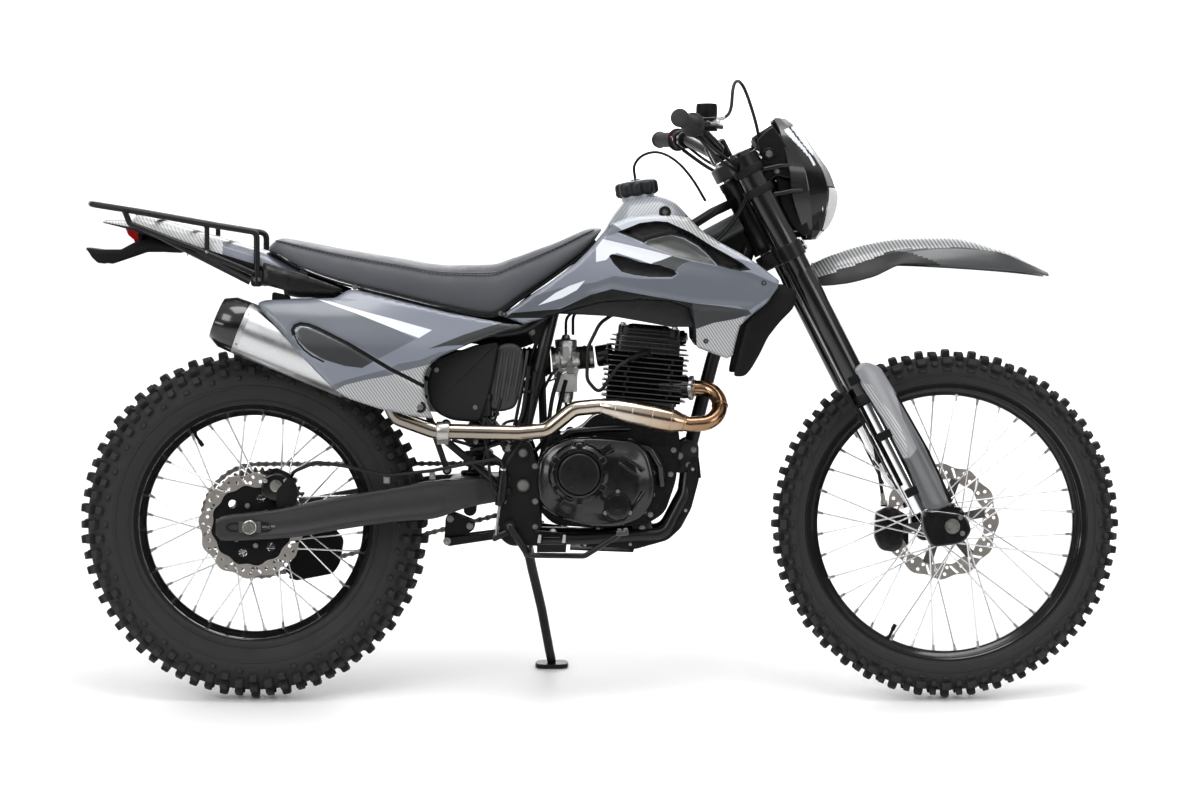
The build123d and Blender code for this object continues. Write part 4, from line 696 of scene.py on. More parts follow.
for nm, mt in (
        ("frame_backbone", FRAME_GREY), ("frame_cradle", FRAME_BLACK), ("rear_subframe", FRAME_BLACK),
        ("swingarm", ARM_GREY), ("rear_axle", ZINC), ("chain_guide", PLASTIC_BLACK),
        ("suspension_linkage", ARM_GREY), ("rear_shock", DARK_STEEL), ("engine_cases", ENGINE_BLACK),
        ("front_sprocket", DARK_STEEL), ("drive_chain", CHAIN_STEEL), ("cylinder", FIN_LIT_BLACK),
        ("cylinder_head", FIN_LIT_BLACK), ("carburettor", CAST_ALLOY), ("airbox", PLASTIC_BLACK),
        ("exhaust_header", HEADER), ("muffler", CAN), ("fuel_tank", PLASTIC_SATIN), ("fuel_cap", PLASTIC_BLACK),
        ("tank_shrouds", PANEL_GREY), ("inner_scoops", PLASTIC_BLACK), ("seat", SEAT_VINYL),
        ("side_panels", PANEL_GREY), ("rear_fender", PANEL_GREY), ("tail_sides", PANEL_GREY),
        ("tail_light", LENS_RED), ("plate_holder", PLASTIC_BLACK), ("luggage_rack", FRAME_BLACK),
        ("foot_pegs", ZINC), ("foot_controls", DARK_STEEL), ("skid_plate", PLASTIC_BLACK),
        ("rear_caliper", ENGINE_BLACK), ("tank_vent_hose", RUBBER), ("side_stand_bracket", FRAME_BLACK),
        ("side_stand", FRAME_BLACK), ("triple_clamps", ENGINE_BLACK), ("fork_outer_tubes", FRAME_BLACK),
        ("fork_lower_legs", CHROME), ("front_axle", ZINC), ("fork_guards", PANEL_GREY),
        ("handlebar", FRAME_BLACK), ("hand_grips", GRIP), ("hand_controls", PLASTIC_BLACK),
        ("instrument", PLASTIC_BLACK), ("headlight_mask", PLASTIC_BLACK), ("headlight_lens", LENS),
        ("front_fender", PANEL_GREY), ("front_caliper", ENGINE_BLACK), ("front_brake_hose", HOSE),
        ("front_tyre", TYRE), ("front_rim", RIM_BLACK), ("front_hub", ENGINE_BLACK), ("front_spokes", SPOKE),
        ("front_brake_disc", DARK_STEEL), ("rear_tyre", TYRE), ("rear_rim", RIM_BLACK), ("rear_hub", ENGINE_BLACK),
        ("rear_spokes", SPOKE), ("rear_brake_disc", DARK_STEEL), ("rear_sprocket", DARK_STEEL)):
    if nm in NODES:
        me = NODES[nm].data
        me.materials.clear()
        me.materials.append(mt)

# ----------------------------------------------------------------- wheels
FX, RX, AZ = 691.0, -691.0, 350.0


def plate_bm(outline, holes, y0, y1, bevel=0.0):
    """Flat side-view plate with holes, between y0 and y1."""
    cu = bpy.data.curves.new("outline", "CURVE")
    cu.dimensions, cu.fill_mode = "2D", "BOTH"
    cu.extrude = abs(y1 - y0) / 2 - bevel
    cu.bevel_depth, cu.bevel_resolution = bevel, 1
    cu.offset = -bevel
    for pts in [outline] + list(holes):
        sp = cu.splines.new("POLY")
        sp.points.add(len(pts) - 1)
        for p, (a, b) in zip(sp.points, pts):
            p.co = (a, b, 0, 1)
        sp.use_cyclic_u = True
    ob = bpy.data.objects.new("outline", cu)
    bpy.context.scene.collection.objects.link(ob)
    dg = bpy.context.evaluated_depsgraph_get()
    me = bpy.data.meshes.new_from_object(ob.evaluated_get(dg))
    bm_ = bmesh.new()
    bm_.from_mesh(me)
    mid = (y0 + y1) / 2
    for v in bm_.verts:
        a, b, c = v.co
        v.co = (a, mid + c, b)
    bpy.data.objects.remove(ob)
    bpy.data.curves.remove(cu)
    bpy.data.meshes.remove(me)
    return bm_


def ring_pts(cx, cz, r, n=40, a0=0.0, wave=None):
    out = []
    for k in range(n):
        a = 2 * math.pi * k / n + a0
        rr = r if wave is None else wave(a)
        out.append((cx + rr * math.cos(a), cz + rr * math.sin(a)))
    return out


def merge(bm_a, bm_b):
    me = bpy.data.meshes.new("tmp")
    bm_b.to_mesh(me)
    bm_b.free()
    bm_a.from_mesh(me)
    bpy.data.meshes.remove(me)


def tyre(name, body, cx, half_w, crown, bead_r, bead_half, pitches, rows, knob):
    c = 350.0 - crown
    wr, wl = crown - knob, half_w - knob * 0.72

    def base(phi, drop=0.0):
        return c + (wr - drop) * math.cos(phi), (wl - drop) * math.sin(phi)

    prof = []
    for k in range(-14, 15):
        phi = math.radians(k * 92 / 14.0)
        prof.append(base(phi))
    r_end, y_end = prof[-1]
    side = [(r_end - (r_end - bead_r) * t, y_end + (bead_half - 0.5 - y_end) * (t ** 1.35)) for t in
            (0.10, 0.16, 0.18, 0.24, 0.26, 0.40, 0.60, 0.70, 0.715, 0.74, 0.755, 0.86, 0.95)]
    bulge = [0, 0, 1.2, 1.2, 0, 0.4, 0.2, 0.0, 1.3, 1.3, 0.0, 0.8, 0.4]
    left = [(r, y + b) for (r, y), b in zip(side, bulge)]
    prof = [(r, -y) for r, y in left[::-1]] + prof + left
    inner = [(bead_r + 1, bead_half - 3), (bead_r + 6, bead_half - 9), (c, wl - 9), (c + wr * 0.55, wl * 0.55), (c + wr - 9, 0)]
    loop = prof + inner + [(r, -y) for r, y in inner[::-1][1:]]
    b = bmesh.new()
    lathe(b, loop, (cx, 0, AZ), (0, 1, 0), seg=144)
    piece(name + "_carcass", b, body, TYRE, rep=name, angle=34)

    def tip(phi):
        return c + (crown - 0.6) * math.cos(phi), max(-half_w + 0.4, min(half_w - 0.4, (crown - 0.6) * math.sin(phi)))

    b = bmesh.new()
    for i in range(pitches):
        for (dth, phi0, ln, wd, hgt, skew) in rows:
            for s in ((1, -1) if abs(phi0) > 1e-6 or dth < 0 else (1,)):
                th0 = 2 * math.pi * (i + abs(dth) + (0.5 * 0 if s > 0 else 0)) / pitches
                phi = s * phi0
                V = []
                for lvl in (0, 1):
                    for du, dv in ((-1, -1), (1, -1), (1, 1), (-1, 1)):
                        k = 1.0 if lvl == 0 else 0.80
                        ph = phi + s * dv * k * (wd / 2) / crown
                        if lvl:
                            r1, y1 = tip(ph)
                            r0, y0 = base(ph)
                            r, y = r0 + (r1 - r0) * hgt, y0 + (y1 - y0) * hgt
                        else:
                            r, y = base(ph, 2.0)
                        th = th0 + (du * k * ln / 2 + skew * dv * wd / 2) / 350.0
                        V.append(b.verts.new((cx + r * math.sin(th), y, AZ + r * math.cos(th))))
                for f in ((0, 3, 2, 1), (4, 5, 6, 7), (0, 1, 5, 4), (1, 2, 6, 5), (2, 3, 7, 6), (3, 0, 4, 7)):
                    b.faces.new([V[j] for j in f])
    piece(name + "_knobs", b, body, TYRE, rep=name, smooth=True, angle=30, bevel=1.5, seg=1)


# dth, angle over the section, length, width, height, skew
tyre("front_tyre", "front_wheel", FX, 43.0, 45.0, 272.5, 26.0, 40,
     [(0.0, math.radians(15), 17, 17, 1.0, 0.0), (0.5, math.radians(34), 16, 17, 1.0, 0.1),
      (0.0, math.radians(58), 25, 17, 1.0, 0.0), (0.5, math.radians(66), 14, 12, 0.85, 0.0),
      (0.0, math.radians(84), 20, 9, 0.45, 0.0)], 15.0)
tyre("rear_tyre", "rear_wheel", RX, 59.5, 62.0, 232.7, 31.0, 34,
     [(0.0, math.radians(10), 19, 17, 1.0, 0.0), (0.5, math.radians(27), 18, 20, 1.0, 0.12),
      (0.0, math.radians(44), 20, 18, 1.0, 0.0), (0.5, math.radians(56), 21, 19, 1.0, 0.0),
      (0.0, math.radians(70), 19, 17, 0.9, 0.0), (0.5, math.radians(84), 15, 12, 0.45, 0.0)], 15.5)


def rim(name, body, cx, bead_r, half):
    b = bmesh.new()
    prof = [(bead_r - 16, -6), (bead_r - 16.5, 0), (bead_r - 16, 6), (bead_r - 13, 10), (bead_r - 4, half - 9), (bead_r - 3, half - 6),
            (bead_r - 3, half + 1.5), (bead_r - 1, half + 3.0), (bead_r + 9, half + 3.1), (bead_r + 11.6, half + 2.4), (bead_r + 11.8, half + 0.8),
            (bead_r + 8, half + 0.2), (bead_r - 0.2, half + 0.0), (bead_r - 0.4, half - 10), (bead_r - 10, 7), (bead_r - 10, -7),
            (bead_r - 0.4, -half + 10), (bead_r - 0.2, -half), (bead_r + 8, -half - 0.2), (bead_r + 11.8, -half - 0.8), (bead_r + 11.6, -half - 2.4),
            (bead_r + 9, -half - 3.1), (bead_r - 1, -half - 3.0), (bead_r - 3, -half - 1.5), (bead_r - 3, -half + 6), (bead_r - 4, -half + 9), (bead_r - 13, -10)]
    lathe(b, prof, (cx, 0, AZ), (0, 1, 0), seg=180)
    piece(name + "_band", b, body, RIM_BLACK, rep=name, angle=28)


rim("front_rim", "front_wheel", FX, 272.5, 26)
rim("rear_rim", "rear_wheel", RX, 232.7, 31)


def spokes(name, body, cx, hub_r, y_r, y_l, rim_r, count, cross, valve_a):
    b, n, v = bmesh.new(), bmesh.new(), bmesh.new()
    for i in range(count):
        side = 1 if i % 2 else -1
        lead = 1 if (i // 2) % 2 else -1
        fy = y_l if side > 0 else y_r
        out = 1.0 if (i // 2) % 2 else -1.0
        ra = 2 * math.pi * (i + 0.5) / count
        ha = ra - lead * cross
        h = Vector((cx + hub_r * math.cos(ha), fy + 4 * out, AZ + hub_r * math.sin(ha)))
        r = Vector((cx + rim_r * math.cos(ra), side * 4.0 + 1.8 * out, AZ + rim_r * math.sin(ra)))
        d = (r - h).normalized()
        hook = Vector((cx + hub_r * math.cos(ha), fy - 3.5 * out, AZ + hub_r * math.sin(ha)))
        sweep(b, [hook, hook.lerp(h, 0.75), h + d * 2.5, h + d * 8, r - d * 6], 1.75, seg=8)
        bar(b, hook + Vector((0, -1.2 * out, 0)), hook + Vector((0, 0.6 * out, 0)), 3.2, 2.6, seg=10)
        bar(n, r - d * 13, r - d * 2, 3.0, 2.7, seg=6)
        bar(n, r - d * 3.5, r + d * 1.5, 3.7, 3.7, seg=12)
    piece(name + "_wire", b, body, SPOKE, rep=name, angle=50)
    piece(name + "_nipples", n, body, ZINC, rep=name, angle=30)
    va = math.radians(valve_a)
    d = Vector((math.cos(va), 0, math.sin(va)))
    base = Vector((cx, 0, AZ)) + d * (rim_r + 1)
    bar(v, base, base - d * 4, 6.5, 6.0, seg=6)
    bar(v, base - d * 4, base - d * 7, 4.6, 4.6, seg=12)
    bar(v, base - d * 7, base - d * 20, 3.0, 3.0, seg=12)
    bar(v, base - d * 20, base - d * 33, 4.4, 4.0, seg=12)
    piece(name + "_valve", v, body, PLASTIC_BLACK, rep=name, angle=30)


spokes("front_spokes", "front_wheel", FX, 38, -35, 33, 258, 36, math.radians(62), 244)
spokes("rear_spokes", "rear_wheel", RX, 47, -39, 37, 218, 36, math.radians(62), 124)


def disc(name, body, cx, y0, y1, r_out, r_in, hub_r, lobes, carrier_mat, mat, ph=0.0, dish=False):
    holes, outer = [], []
    amp = 3.0

    def wave(a):
        return r_out - 3.2 + amp * math.cos(lobes * (a + ph))

    def wave_in(a):
        return r_in + 2.2 - 2.2 * math.cos(lobes * (a + ph))
    outer = ring_pts(cx, AZ, r_out, 240, wave=wave)
    holes.append(ring_pts(cx, AZ, r_in, 240, wave=wave_in))
    for i in range(lobes):
        a = 2 * math.pi * i / lobes - ph
        for dr, da, rr in ((0.30, 0.13, 3.4), (0.68, 0.07, 3.4), (0.45, -0.10, 3.4)):
            rad = r_in + (r_out - r_in) * dr
            holes.append(ring_pts(cx + rad * math.cos(a + da), AZ + rad * math.sin(a + da), rr, 14))
        # slanted slot
        mid_a = a + math.pi / lobes
        pts = []
        for t in range(-6, 7):
            u = t / 6.0
            rad = r_in + (r_out - r_in) * (0.50 + 0.26 * u)
            ang = mid_a + 0.055 * u
            pts.append((rad, ang))
        slot = [(cx + rad * math.cos(g + 0.026), AZ + rad * math.sin(g + 0.026)) for rad, g in pts]
        slot += [(cx + rad * math.cos(g - 0.026), AZ + rad * math.sin(g - 0.026)) for rad, g in pts[::-1]]
        holes.append(slot)
    b = plate_bm(outer, holes, y0, y1, 0.25)
    piece(name + "_ring", b, body, mat, rep=name, angle=30)
    # carrier with six arms and rivets to the ring
    arms = []
    n = 6
    for i in range(n):
        a = 2 * math.pi * i / n + 0.2
        for da, rr in ((-0.34, hub_r + 15), (-0.20, hub_r + 20), (-0.115, r_in + 0.5), (-0.10, r_in + 5.5), (0.10, r_in + 5.5), (0.115, r_in + 0.5), (0.20, hub_r + 20), (0.34, hub_r + 15)):
            arms.append((cx + rr * math.cos(a + da), AZ + rr * math.sin(a + da)))
    lo, hi = min(y0, y1), max(y0, y1)
    sgn = 1 if lo > 0 else -1
    c0, c1 = (lo - 1.6, lo - 0.1) if sgn > 0 else (hi + 0.1, hi + 1.4)
    if dish:
        ports = [ring_pts(cx, AZ, hub_r + 0.6, 48)]
        for i in range(n):
            a = 2 * math.pi * i / n + 0.2
            ports.append(ring_pts(cx + (r_in - 19) * math.cos(a), AZ + (r_in - 19) * math.sin(a), 8.5, 24))
        b = plate_bm(ring_pts(cx, AZ, r_in + 4.5, 120), ports, min(c0, c1), max(c0, c1), 0.2)
    else:
        b = plate_bm(arms, [ring_pts(cx, AZ, hub_r + 0.6, 48)], min(c0, c1), max(c0, c1), 0.2)
    merge(b, plate_bm(ring_pts(cx, AZ, hub_r + 14, 64), [ring_pts(cx, AZ, hub_r + 0.6, 48)], lo + 0.2, hi - 0.2, 0.2))
    for i in range(n):
        a = 2 * math.pi * i / n + 0.2
        px, pz = cx + (r_in - 0.5) * math.cos(a), AZ + (r_in - 0.5) * math.sin(a)
        bar(b, (px, lo - 0.8, pz), (px, hi + 0.8, pz), 4.6, 4.6, seg=18)
    piece(name + "_carrier", b, body, carrier_mat, rep=name, angle=30)
    b = bmesh.new()
    yb = hi if sgn > 0 else lo
    for i in range(n):
        a = 2 * math.pi * i / n + 0.2 + math.pi / 6
        rb = hub_r + (16 if dish else 8)
        px, pz = cx + rb * math.cos(a), AZ + rb * math.sin(a)
        hexhead(b, (px, yb, pz), (0, sgn, 0), 4.4, 3.8)
    piece(name + "_bolts", b, body, ZINC, rep=name, angle=30)


FDISC = disc_steel("front_disc_steel", 0.691, 0.347)
RDISC = disc_steel("rear_disc_steel", -0.691, 0.347)
disc("front_brake_disc", "front_wheel", FX, 56, 60, 118, 84, 24.2, 12, DARK_STEEL, FDISC)
disc("rear_brake_disc", "rear_wheel", RX, -73.5, -69.5, 106, 76, 24.2, 12, PLASTIC_BLACK, RDISC, ph=0.1, dish=True)


def hub(name, body, cx, prof, flange_r, flanges, count, mat):
    b = bmesh.new()
    lathe(b, prof, (cx, 0, AZ), (0, 1, 0), seg=72)
    piece(name + "_shell", b, body, mat, rep=name, angle=35, bevel=0.9, seg=2)
    b = bmesh.new()
    for yf, sgn in flanges:
        for i in range(count):
            a = 2 * math.pi * i / count
            px, pz = cx + flange_r * math.cos(a), AZ + flange_r * math.sin(a)
            bar(b, (px, yf - 0.3 * sgn, pz), (px, yf + 0.7 * sgn, pz), 2.6, 2.2, seg=8)
    piece(name + "_seats", b, body, DARK_STEEL, rep=name, angle=30)


hub("front_hub", "front_wheel", FX, [(8.6, -44.7), (15, -44.7), (20, -44), (22, -42), (22, -39), (30, -38), (41, -37.5), (42, -35), (41, -32.5), (30, -31),
    (26, -27), (24, -10), (24, 6), (28, 25), (36, 29), (43, 30.5), (44, 33), (43, 35.5), (37, 37), (36, 40), (36, 52), (34, 53.8), (24, 53.8), (22, 55), (22, 62), (20, 63.7), (8.6, 63.7)],
    39.5, ((-38, -1), (36, 1)), 18, ENGINE_BLACK)
hub("rear_hub", "rear_wheel", RX, [(8.6, -78.7), (17, -78.7), (22, -76), (24, -73), (24, -68.5), (34, -68), (36, -66), (36, -46), (44, -43), (51, -42), (52, -39), (51, -36.5),
    (40, -35), (34, -31), (32, -10), (32, 6), (36, 27), (46, 32), (53, 34), (54, 37), (53, 39.5), (48, 41), (46, 45), (46, 75), (44, 76.8), (31, 77), (28, 80), (26, 90), (24, 90.7), (8.6, 90.7)],
    48.5, ((-42, -1), (40, 1)), 18, ENGINE_BLACK)

# rear sprocket: toothed rim with cut-outs and six bolts
teeth = 46
outer = []
for i in range(teeth):
    a = 2 * math.pi * i / teeth
    p = 2 * math.pi / teeth
    for da, r in ((-0.50, 100.6), (-0.36, 101.0), (-0.26, 103.6), (-0.12, 107.6), (0.12, 107.6), (0.26, 103.6), (0.36, 101.0)):
        outer.append((RX + r * math.cos(a + da * p), AZ + r * math.sin(a + da * p)))
holes = [ring_pts(RX, AZ, 30.4, 48)]
for i in range(6):
    a = 2 * math.pi * (i + 0.5) / 6
    pts = []
    for da, r in ((-0.30, 62), (-0.36, 70), (-0.38, 84), (-0.30, 90), (-0.15, 91.5), (0, 92), (0.15, 91.5), (0.30, 90), (0.38, 84), (0.36, 70), (0.30, 62), (0.0, 59)):
        pts.append((RX + r * math.cos(a + da), AZ + r * math.sin(a + da)))
    holes.append(round_outline(pts, 4, 3))
for i in range(12):
    a = 2 * math.pi * i / 12
    holes.append(ring_pts(RX + 96 * math.cos(a), AZ + 96 * math.sin(a), 2.6, 10))
b = plate_bm(outer, holes, 77.2, 82.8, 0.3)
piece("rear_sprocket_plate", b, "rear_wheel", DARK_STEEL, rep="rear_sprocket", angle=30)
b = bmesh.new()
for i in range(6):
    a = 2 * math.pi * i / 6
    hexhead(b, (RX + 40 * math.cos(a), 82.6, AZ + 40 * math.sin(a)), (0, 1, 0), 6.0, 5.5)
piece("rear_sprocket_bolts", b, "rear_wheel", ZINC, rep="rear_sprocket", angle=30)
# ----------------------------------------------------------------- bodywork
SH_Z = [680, 770, 840, 900, 960, 1000]
SH_X = [-210, -120, -20, 80, 180, 270, 360]
SH_Y = [[106, 110, 110, 108, 100, 92], [112, 116, 117, 113, 103, 92], [121, 126, 126, 119, 104, 90],
        [132, 139, 137, 126, 104, 88], [144, 152, 149, 134, 108, 92], [154, 162, 157, 143, 118, 102],
        [160, 166, 160, 150, 128, 112]]
SH = [(6, 928), (-20, 898), (-49, 869), (-78, 848), (-117, 819), (-156, 793), (-196, 767), (-151, 750), (-78, 771),
      (0, 792), (78, 798), (137, 794), (172, 782), (180, 757), (182, 720), (192, 704), (249, 683), (260, 690),
      (267, 722), (274, 748), (296, 768), (326, 792), (348, 822), (350, 836), (336, 847), (309, 868), (274, 890),
      (235, 911), (196, 937), (176, 960), (120, 968), (60, 962), (24, 948)]
sh_y = field(SH_X, SH_Z, SH_Y)
PA_Z = [550, 640, 700, 760, 825]
PA_X = [-680, -600, -500, -400, -300, -140]
PA_Y = [[184, 188, 188, 176, 132], [186, 191, 190, 176, 130], [182, 190, 190, 172, 130],
        [164, 175, 176, 158, 128], [136, 145, 147, 135, 121], [118, 122, 123, 114, 108]]
PA = [(-670, 792), (-656, 798), (-588, 800), (-519, 802), (-494, 818), (-480, 818), (-392, 796), (-294, 772),
      (-196, 754), (-151, 748), (-196, 733), (-255, 712), (-314, 686), (-327, 676), (-341, 661), (-345, 641),
      (-343, 612), (-334, 582), (-326, 566), (-353, 568), (-392, 577), (-432, 586), (-490, 606), (-514, 620),
      (-549, 655), (-588, 696), (-627, 743), (-662, 778)]
pa_y = field(PA_X, PA_Z, PA_Y)


def groove(p, line, width, depth):
    best = 1e9
    for a, b in zip(line, line[1:]):
        dx, dy = b[0] - a[0], b[1] - a[1]
        L = dx * dx + dy * dy
        t = max(0, min(1, ((p[0] - a[0]) * dx + (p[1] - a[1]) * dy) / L))
        best = min(best, math.hypot(p[0] - a[0] - t * dx, p[1] - a[1] - t * dy))
    return depth * (1 - smooth01(best / width))


def inside(p, poly):
    c = False
    n = len(poly)
    for i in range(n):
        a, b = poly[i], poly[i - 1]
        if (a[1] > p[1]) != (b[1] > p[1]) and p[0] < (b[0] - a[0]) * (p[1] - a[1]) / (b[1] - a[1]) + a[0]:
            c = not c
    return c


def densify(poly, cell):
    out = []
    for i, a in enumerate(poly):
        a, c = Vector(a), Vector(poly[(i + 1) % len(poly)])
        k = max(1, math.ceil((c - a).length / cell))
        out += [a.lerp(c, j / k) for j in range(k)]
    return out


def ribbon(path, w):
    """Narrow outline round an open path."""
    pts = [Vector(p) for p in path]
    left, right = [], []
    for i, p in enumerate(pts):
        d = (pts[min(i + 1, len(pts) - 1)] - pts[max(i - 1, 0)]).normalized()
        nrm = Vector((-d.y, d.x)) * (w / 2)
        left.append(tuple(p + nrm)); right.append(tuple(p - nrm))
    return left + right[::-1]


def zoned(outline, zones, mats, cell, fn):
    """Flat outline cut along every colour zone's edge, then moved by fn; zones = [(outline, material), ...]."""
    verts, edges = [], []
    for poly in [outline] + [z for z, _ in zones]:
        k0, pts = len(verts), densify(poly, cell)
        verts.extend(pts)
        edges.extend((k0 + i, k0 + (i + 1) % len(pts)) for i in range(len(pts)))
    xs, ys = [p[0] for p in outline], [p[1] for p in outline]
    row, yy = 0, min(ys)
    while yy < max(ys):
        xx = min(xs) + (cell / 2 if row % 2 else 0)
        while xx < max(xs):
            if inside((xx, yy), outline) and edge_distance((xx, yy), outline) > cell * 0.4:
                verts.append(Vector((xx, yy)))
            xx += cell
        yy += cell * 0.87
        row += 1
    vs, _, fs = delaunay_2d_cdt(verts, edges, [], 0, 1e-3)[:3]
    boxes = [(min(p[0] for p in z), max(p[0] for p in z), min(p[1] for p in z), max(p[1] for p in z)) for z, _ in zones]
    bm = bmesh.new()
    made = {}

    def vert(i):
        if i not in made:
            made[i] = bm.verts.new(fn(vs[i].x, vs[i].y))
        return made[i]
    for f in fs:
        c = (sum(vs[i].x for i in f) / len(f), sum(vs[i].y for i in f) / len(f))
        if not inside(c, outline):
            continue
        mi = 0
        for (z, m), bx in zip(zones, boxes):
            if bx[0] <= c[0] <= bx[1] and bx[2] <= c[1] <= bx[3] and inside(c, z):
                mi = mats.index(m)
        bm.faces.new([vert(i) for i in f]).material_index = mi
    return bm


def painted_shell(name, outline, fy, body, mat, zones, rep, wall=3.0, cell=6.0, roll=8.0, dents=None, sides=(-1, 1)):
    """Moulded panel with its colour zones (print, and in places painted shade), on both sides of the machine."""
    mats = [mat]
    for _, m in zones:
        if m not in mats:
            mats.append(m)
    for s in sides:
        def fn(a, c, s=s):
            y = fy(a, c)
            t = max(0.0, 1 - edge_distance((a, c), outline) / roll)
            y -= roll * 0.45 * (1 - math.sqrt(max(0.0, 1 - t * t)))
            if dents:
                y -= dents(a, c)
            return (a, s * y, c)
        b_ = zoned(outline, zones, mats, cell, fn)
        bmesh.ops.recalc_face_normals(b_, faces=b_.faces[:])
        if sum(f.normal.y * f.calc_area() for f in b_.faces) * s < 0:
            bmesh.ops.reverse_faces(b_, faces=b_.faces[:])
        piece(name + ("_right" if s < 0 else "_left"), b_, body, mats, rep=rep, angle=50, solid=wall, solid_off=-1.0, fix_normals=False)


def shell(name, outline, fy, body, mat, rep, wall=3.0, cell=9.0, roll=7.0, lift=0.0, dents=None, sides=(-1, 1), bevel=0.8, flat=False):
    """Moulded panel on both sides: outline on the curved face, edges rolled inwards."""
    for s in sides:
        def fn(a, b, s=s):
            y = fy(a, b) + lift
            d = edge_distance((a, b), outline)
            if roll:
                t = max(0.0, 1 - d / roll)
                y -= roll * 0.45 * (1 - math.sqrt(max(0.0, 1 - t * t)))
            if dents:
                y -= dents(a, b)
            return (a, s * y, b)
        b_ = patch(outline, cell, fn)
        piece(name + ("_right" if s < 0 else "_left"), b_, body, mat, rep=rep, angle=50, solid=wall,
              solid_off=(-1.0 if s > 0 else -1.0), bevel=bevel, seg=2, bevel_angle=60)


# --- tank shrouds
# openings in the shroud, dented in: painted black inside, a painted shade in the recesses; BULGE is the tank's grey
# side in the upper one
SLOT_HI = [(617, 232), (628, 228), (640, 223), (656, 221), (668, 222), (690, 232), (712, 246), (730, 256), (742, 263), (751, 270),
           (740, 271), (726, 268), (718, 266), (708, 255), (698, 246), (684, 238), (671, 235), (658, 238), (647, 241), (644, 243), (630, 237)]
SLOT_LO = [(609, 256), (612, 254), (626, 257), (640, 262), (660, 265), (674, 270), (677, 274), (672, 277), (650, 277), (634, 275), (622, 272), (614, 264)]
BULGE = [(645, 244), (648, 240), (660, 237), (671, 235), (684, 239), (698, 247), (708, 256), (716, 265), (700, 262), (677, 256), (660, 250)]
slot_hi, slot_lo, bulge = trace(SLOT_HI, sh_y), trace(SLOT_LO, sh_y), trace(BULGE, sh_y)
ridge = trace([(604, 238), (625, 244), (672, 256), (700, 262), (750, 272), (778, 284)], sh_y)
fold = trace([(592, 294), (612, 289), (650, 297), (692, 304), (720, 306), (752, 308)], sh_y)


def sh_dents(a, b):
    p = (a, b)
    d = 0.0
    if inside(p, slot_hi):
        d += 11 * smooth01(edge_distance(p, slot_hi) / 8.0)
    elif inside(p, bulge):
        d += 5 * smooth01(edge_distance(p, bulge) / 10.0)
    elif inside(p, slot_lo):
        d += 9 * smooth01(edge_distance(p, slot_lo) / 7.0)
    return d + groove(p, ridge, 9, -1.6) + groove(p, fold, 12, -1.8)


def tr(px, fy):
    return trace(px, fy)


SH_ZONES = [(tr(px, sh_y), m) for px, m in (
    ([(604, 240), (608, 226), (616, 212), (634, 202), (664, 204), (690, 214), (716, 236), (742, 252), (752, 262), (730, 257), (700, 240), (680, 228), (660, 221), (640, 223), (617, 232), (606, 237)], PANEL_LIGHT),
    ([(668, 208), (690, 214), (712, 233), (722, 244), (712, 246), (690, 232), (672, 223), (666, 216)], HATCH_LIGHT),
    ([(609, 225), (613, 224), (622, 230), (617, 233), (606, 237), (604, 236)], PANEL_MID),
    ([(596, 248), (603, 239), (620, 243), (645, 249), (672, 256), (662, 260), (651, 264), (640, 260), (617, 253), (611, 255), (606, 260), (596, 262)], PANEL_WHITE),
    ([(672, 256), (690, 261), (683, 264), (677, 268), (677, 272), (664, 266), (652, 263), (662, 260)], PANEL_DARK),
    ([(677, 268), (690, 261), (720, 267), (752, 273), (770, 281), (782, 286), (780, 294), (764, 300), (748, 311), (738, 306), (692, 303), (650, 296), (612, 289), (598, 291), (596, 282), (614, 276), (640, 279), (672, 279), (678, 274)], PANEL_MID),
    ([(500, 318), (506, 308), (530, 297), (560, 288), (584, 284), (604, 281), (614, 277), (612, 288), (590, 295), (560, 308), (530, 314)], PANEL_MID),
    ([(560, 309), (590, 295), (612, 289), (650, 296), (692, 303), (696, 312), (697, 330), (690, 336), (600, 322), (540, 318), (505, 318), (512, 313)], PANEL_BLACK),
    ([(692, 303), (720, 306), (748, 310), (752, 314), (735, 320), (713, 323), (696, 329)], PANEL_MID2),
    ([(690, 331), (696, 329), (697, 349), (692, 352)], PLASTIC_BLACK),
    ([(696, 329), (713, 323), (735, 319), (745, 316), (740, 330), (731, 362), (716, 358), (697, 350)], HATCH_LIGHT),
    ([(538, 305.5), (556, 292.5), (569, 286), (585, 280.5), (577, 290), (562, 298)], PANEL_WHITE),
    # openings painted black: painted shade in the recesses
    (SLOT_HI, PLASTIC_BLACK), (BULGE, PANEL_DARK), (SLOT_LO, PLASTIC_BLACK))]
painted_shell("tank_shroud", SH, sh_y, "frame", PANEL_GREY, SH_ZONES, "tank_shrouds", wall=3.4, cell=5.6, roll=9, dents=sh_dents)

b = bmesh.new()
bb = bmesh.new()
for s in (-1, 1):
    for px, r in (((665, 212), 9.5),):
        x, z = trace([px], sh_y)[0]
        y = sh_y(x, z)
        bar(b, (x, s * (y - 2), z), (x, s * (y + 0.8), z), r + 2.5, r + 1.6, seg=24)
        bar(bb, (x, s * (y + 0.6), z), (x, s * (y + 2.6), z), r - 3.5, r - 4.5, seg=20)
    for px in ((764, 283), (706, 341), (504, 314)):
        x, z = trace([px], sh_y)[0]
        y = sh_y(x, z)
        bar(b, (x, s * (y - 1), z), (x, s * (y + 0.9), z), 5.2, 4.6, seg=20)
        bar(bb, (x, s * (y + 0.6), z), (x, s * (y + 1.8), z), 3.4, 2.8, seg=16)
piece("shroud_washers", b, "frame", RUBBER, rep="tank_shrouds", angle=30)
piece("shroud_screws", bb, "frame", ZINC, rep="tank_shrouds", angle=30)

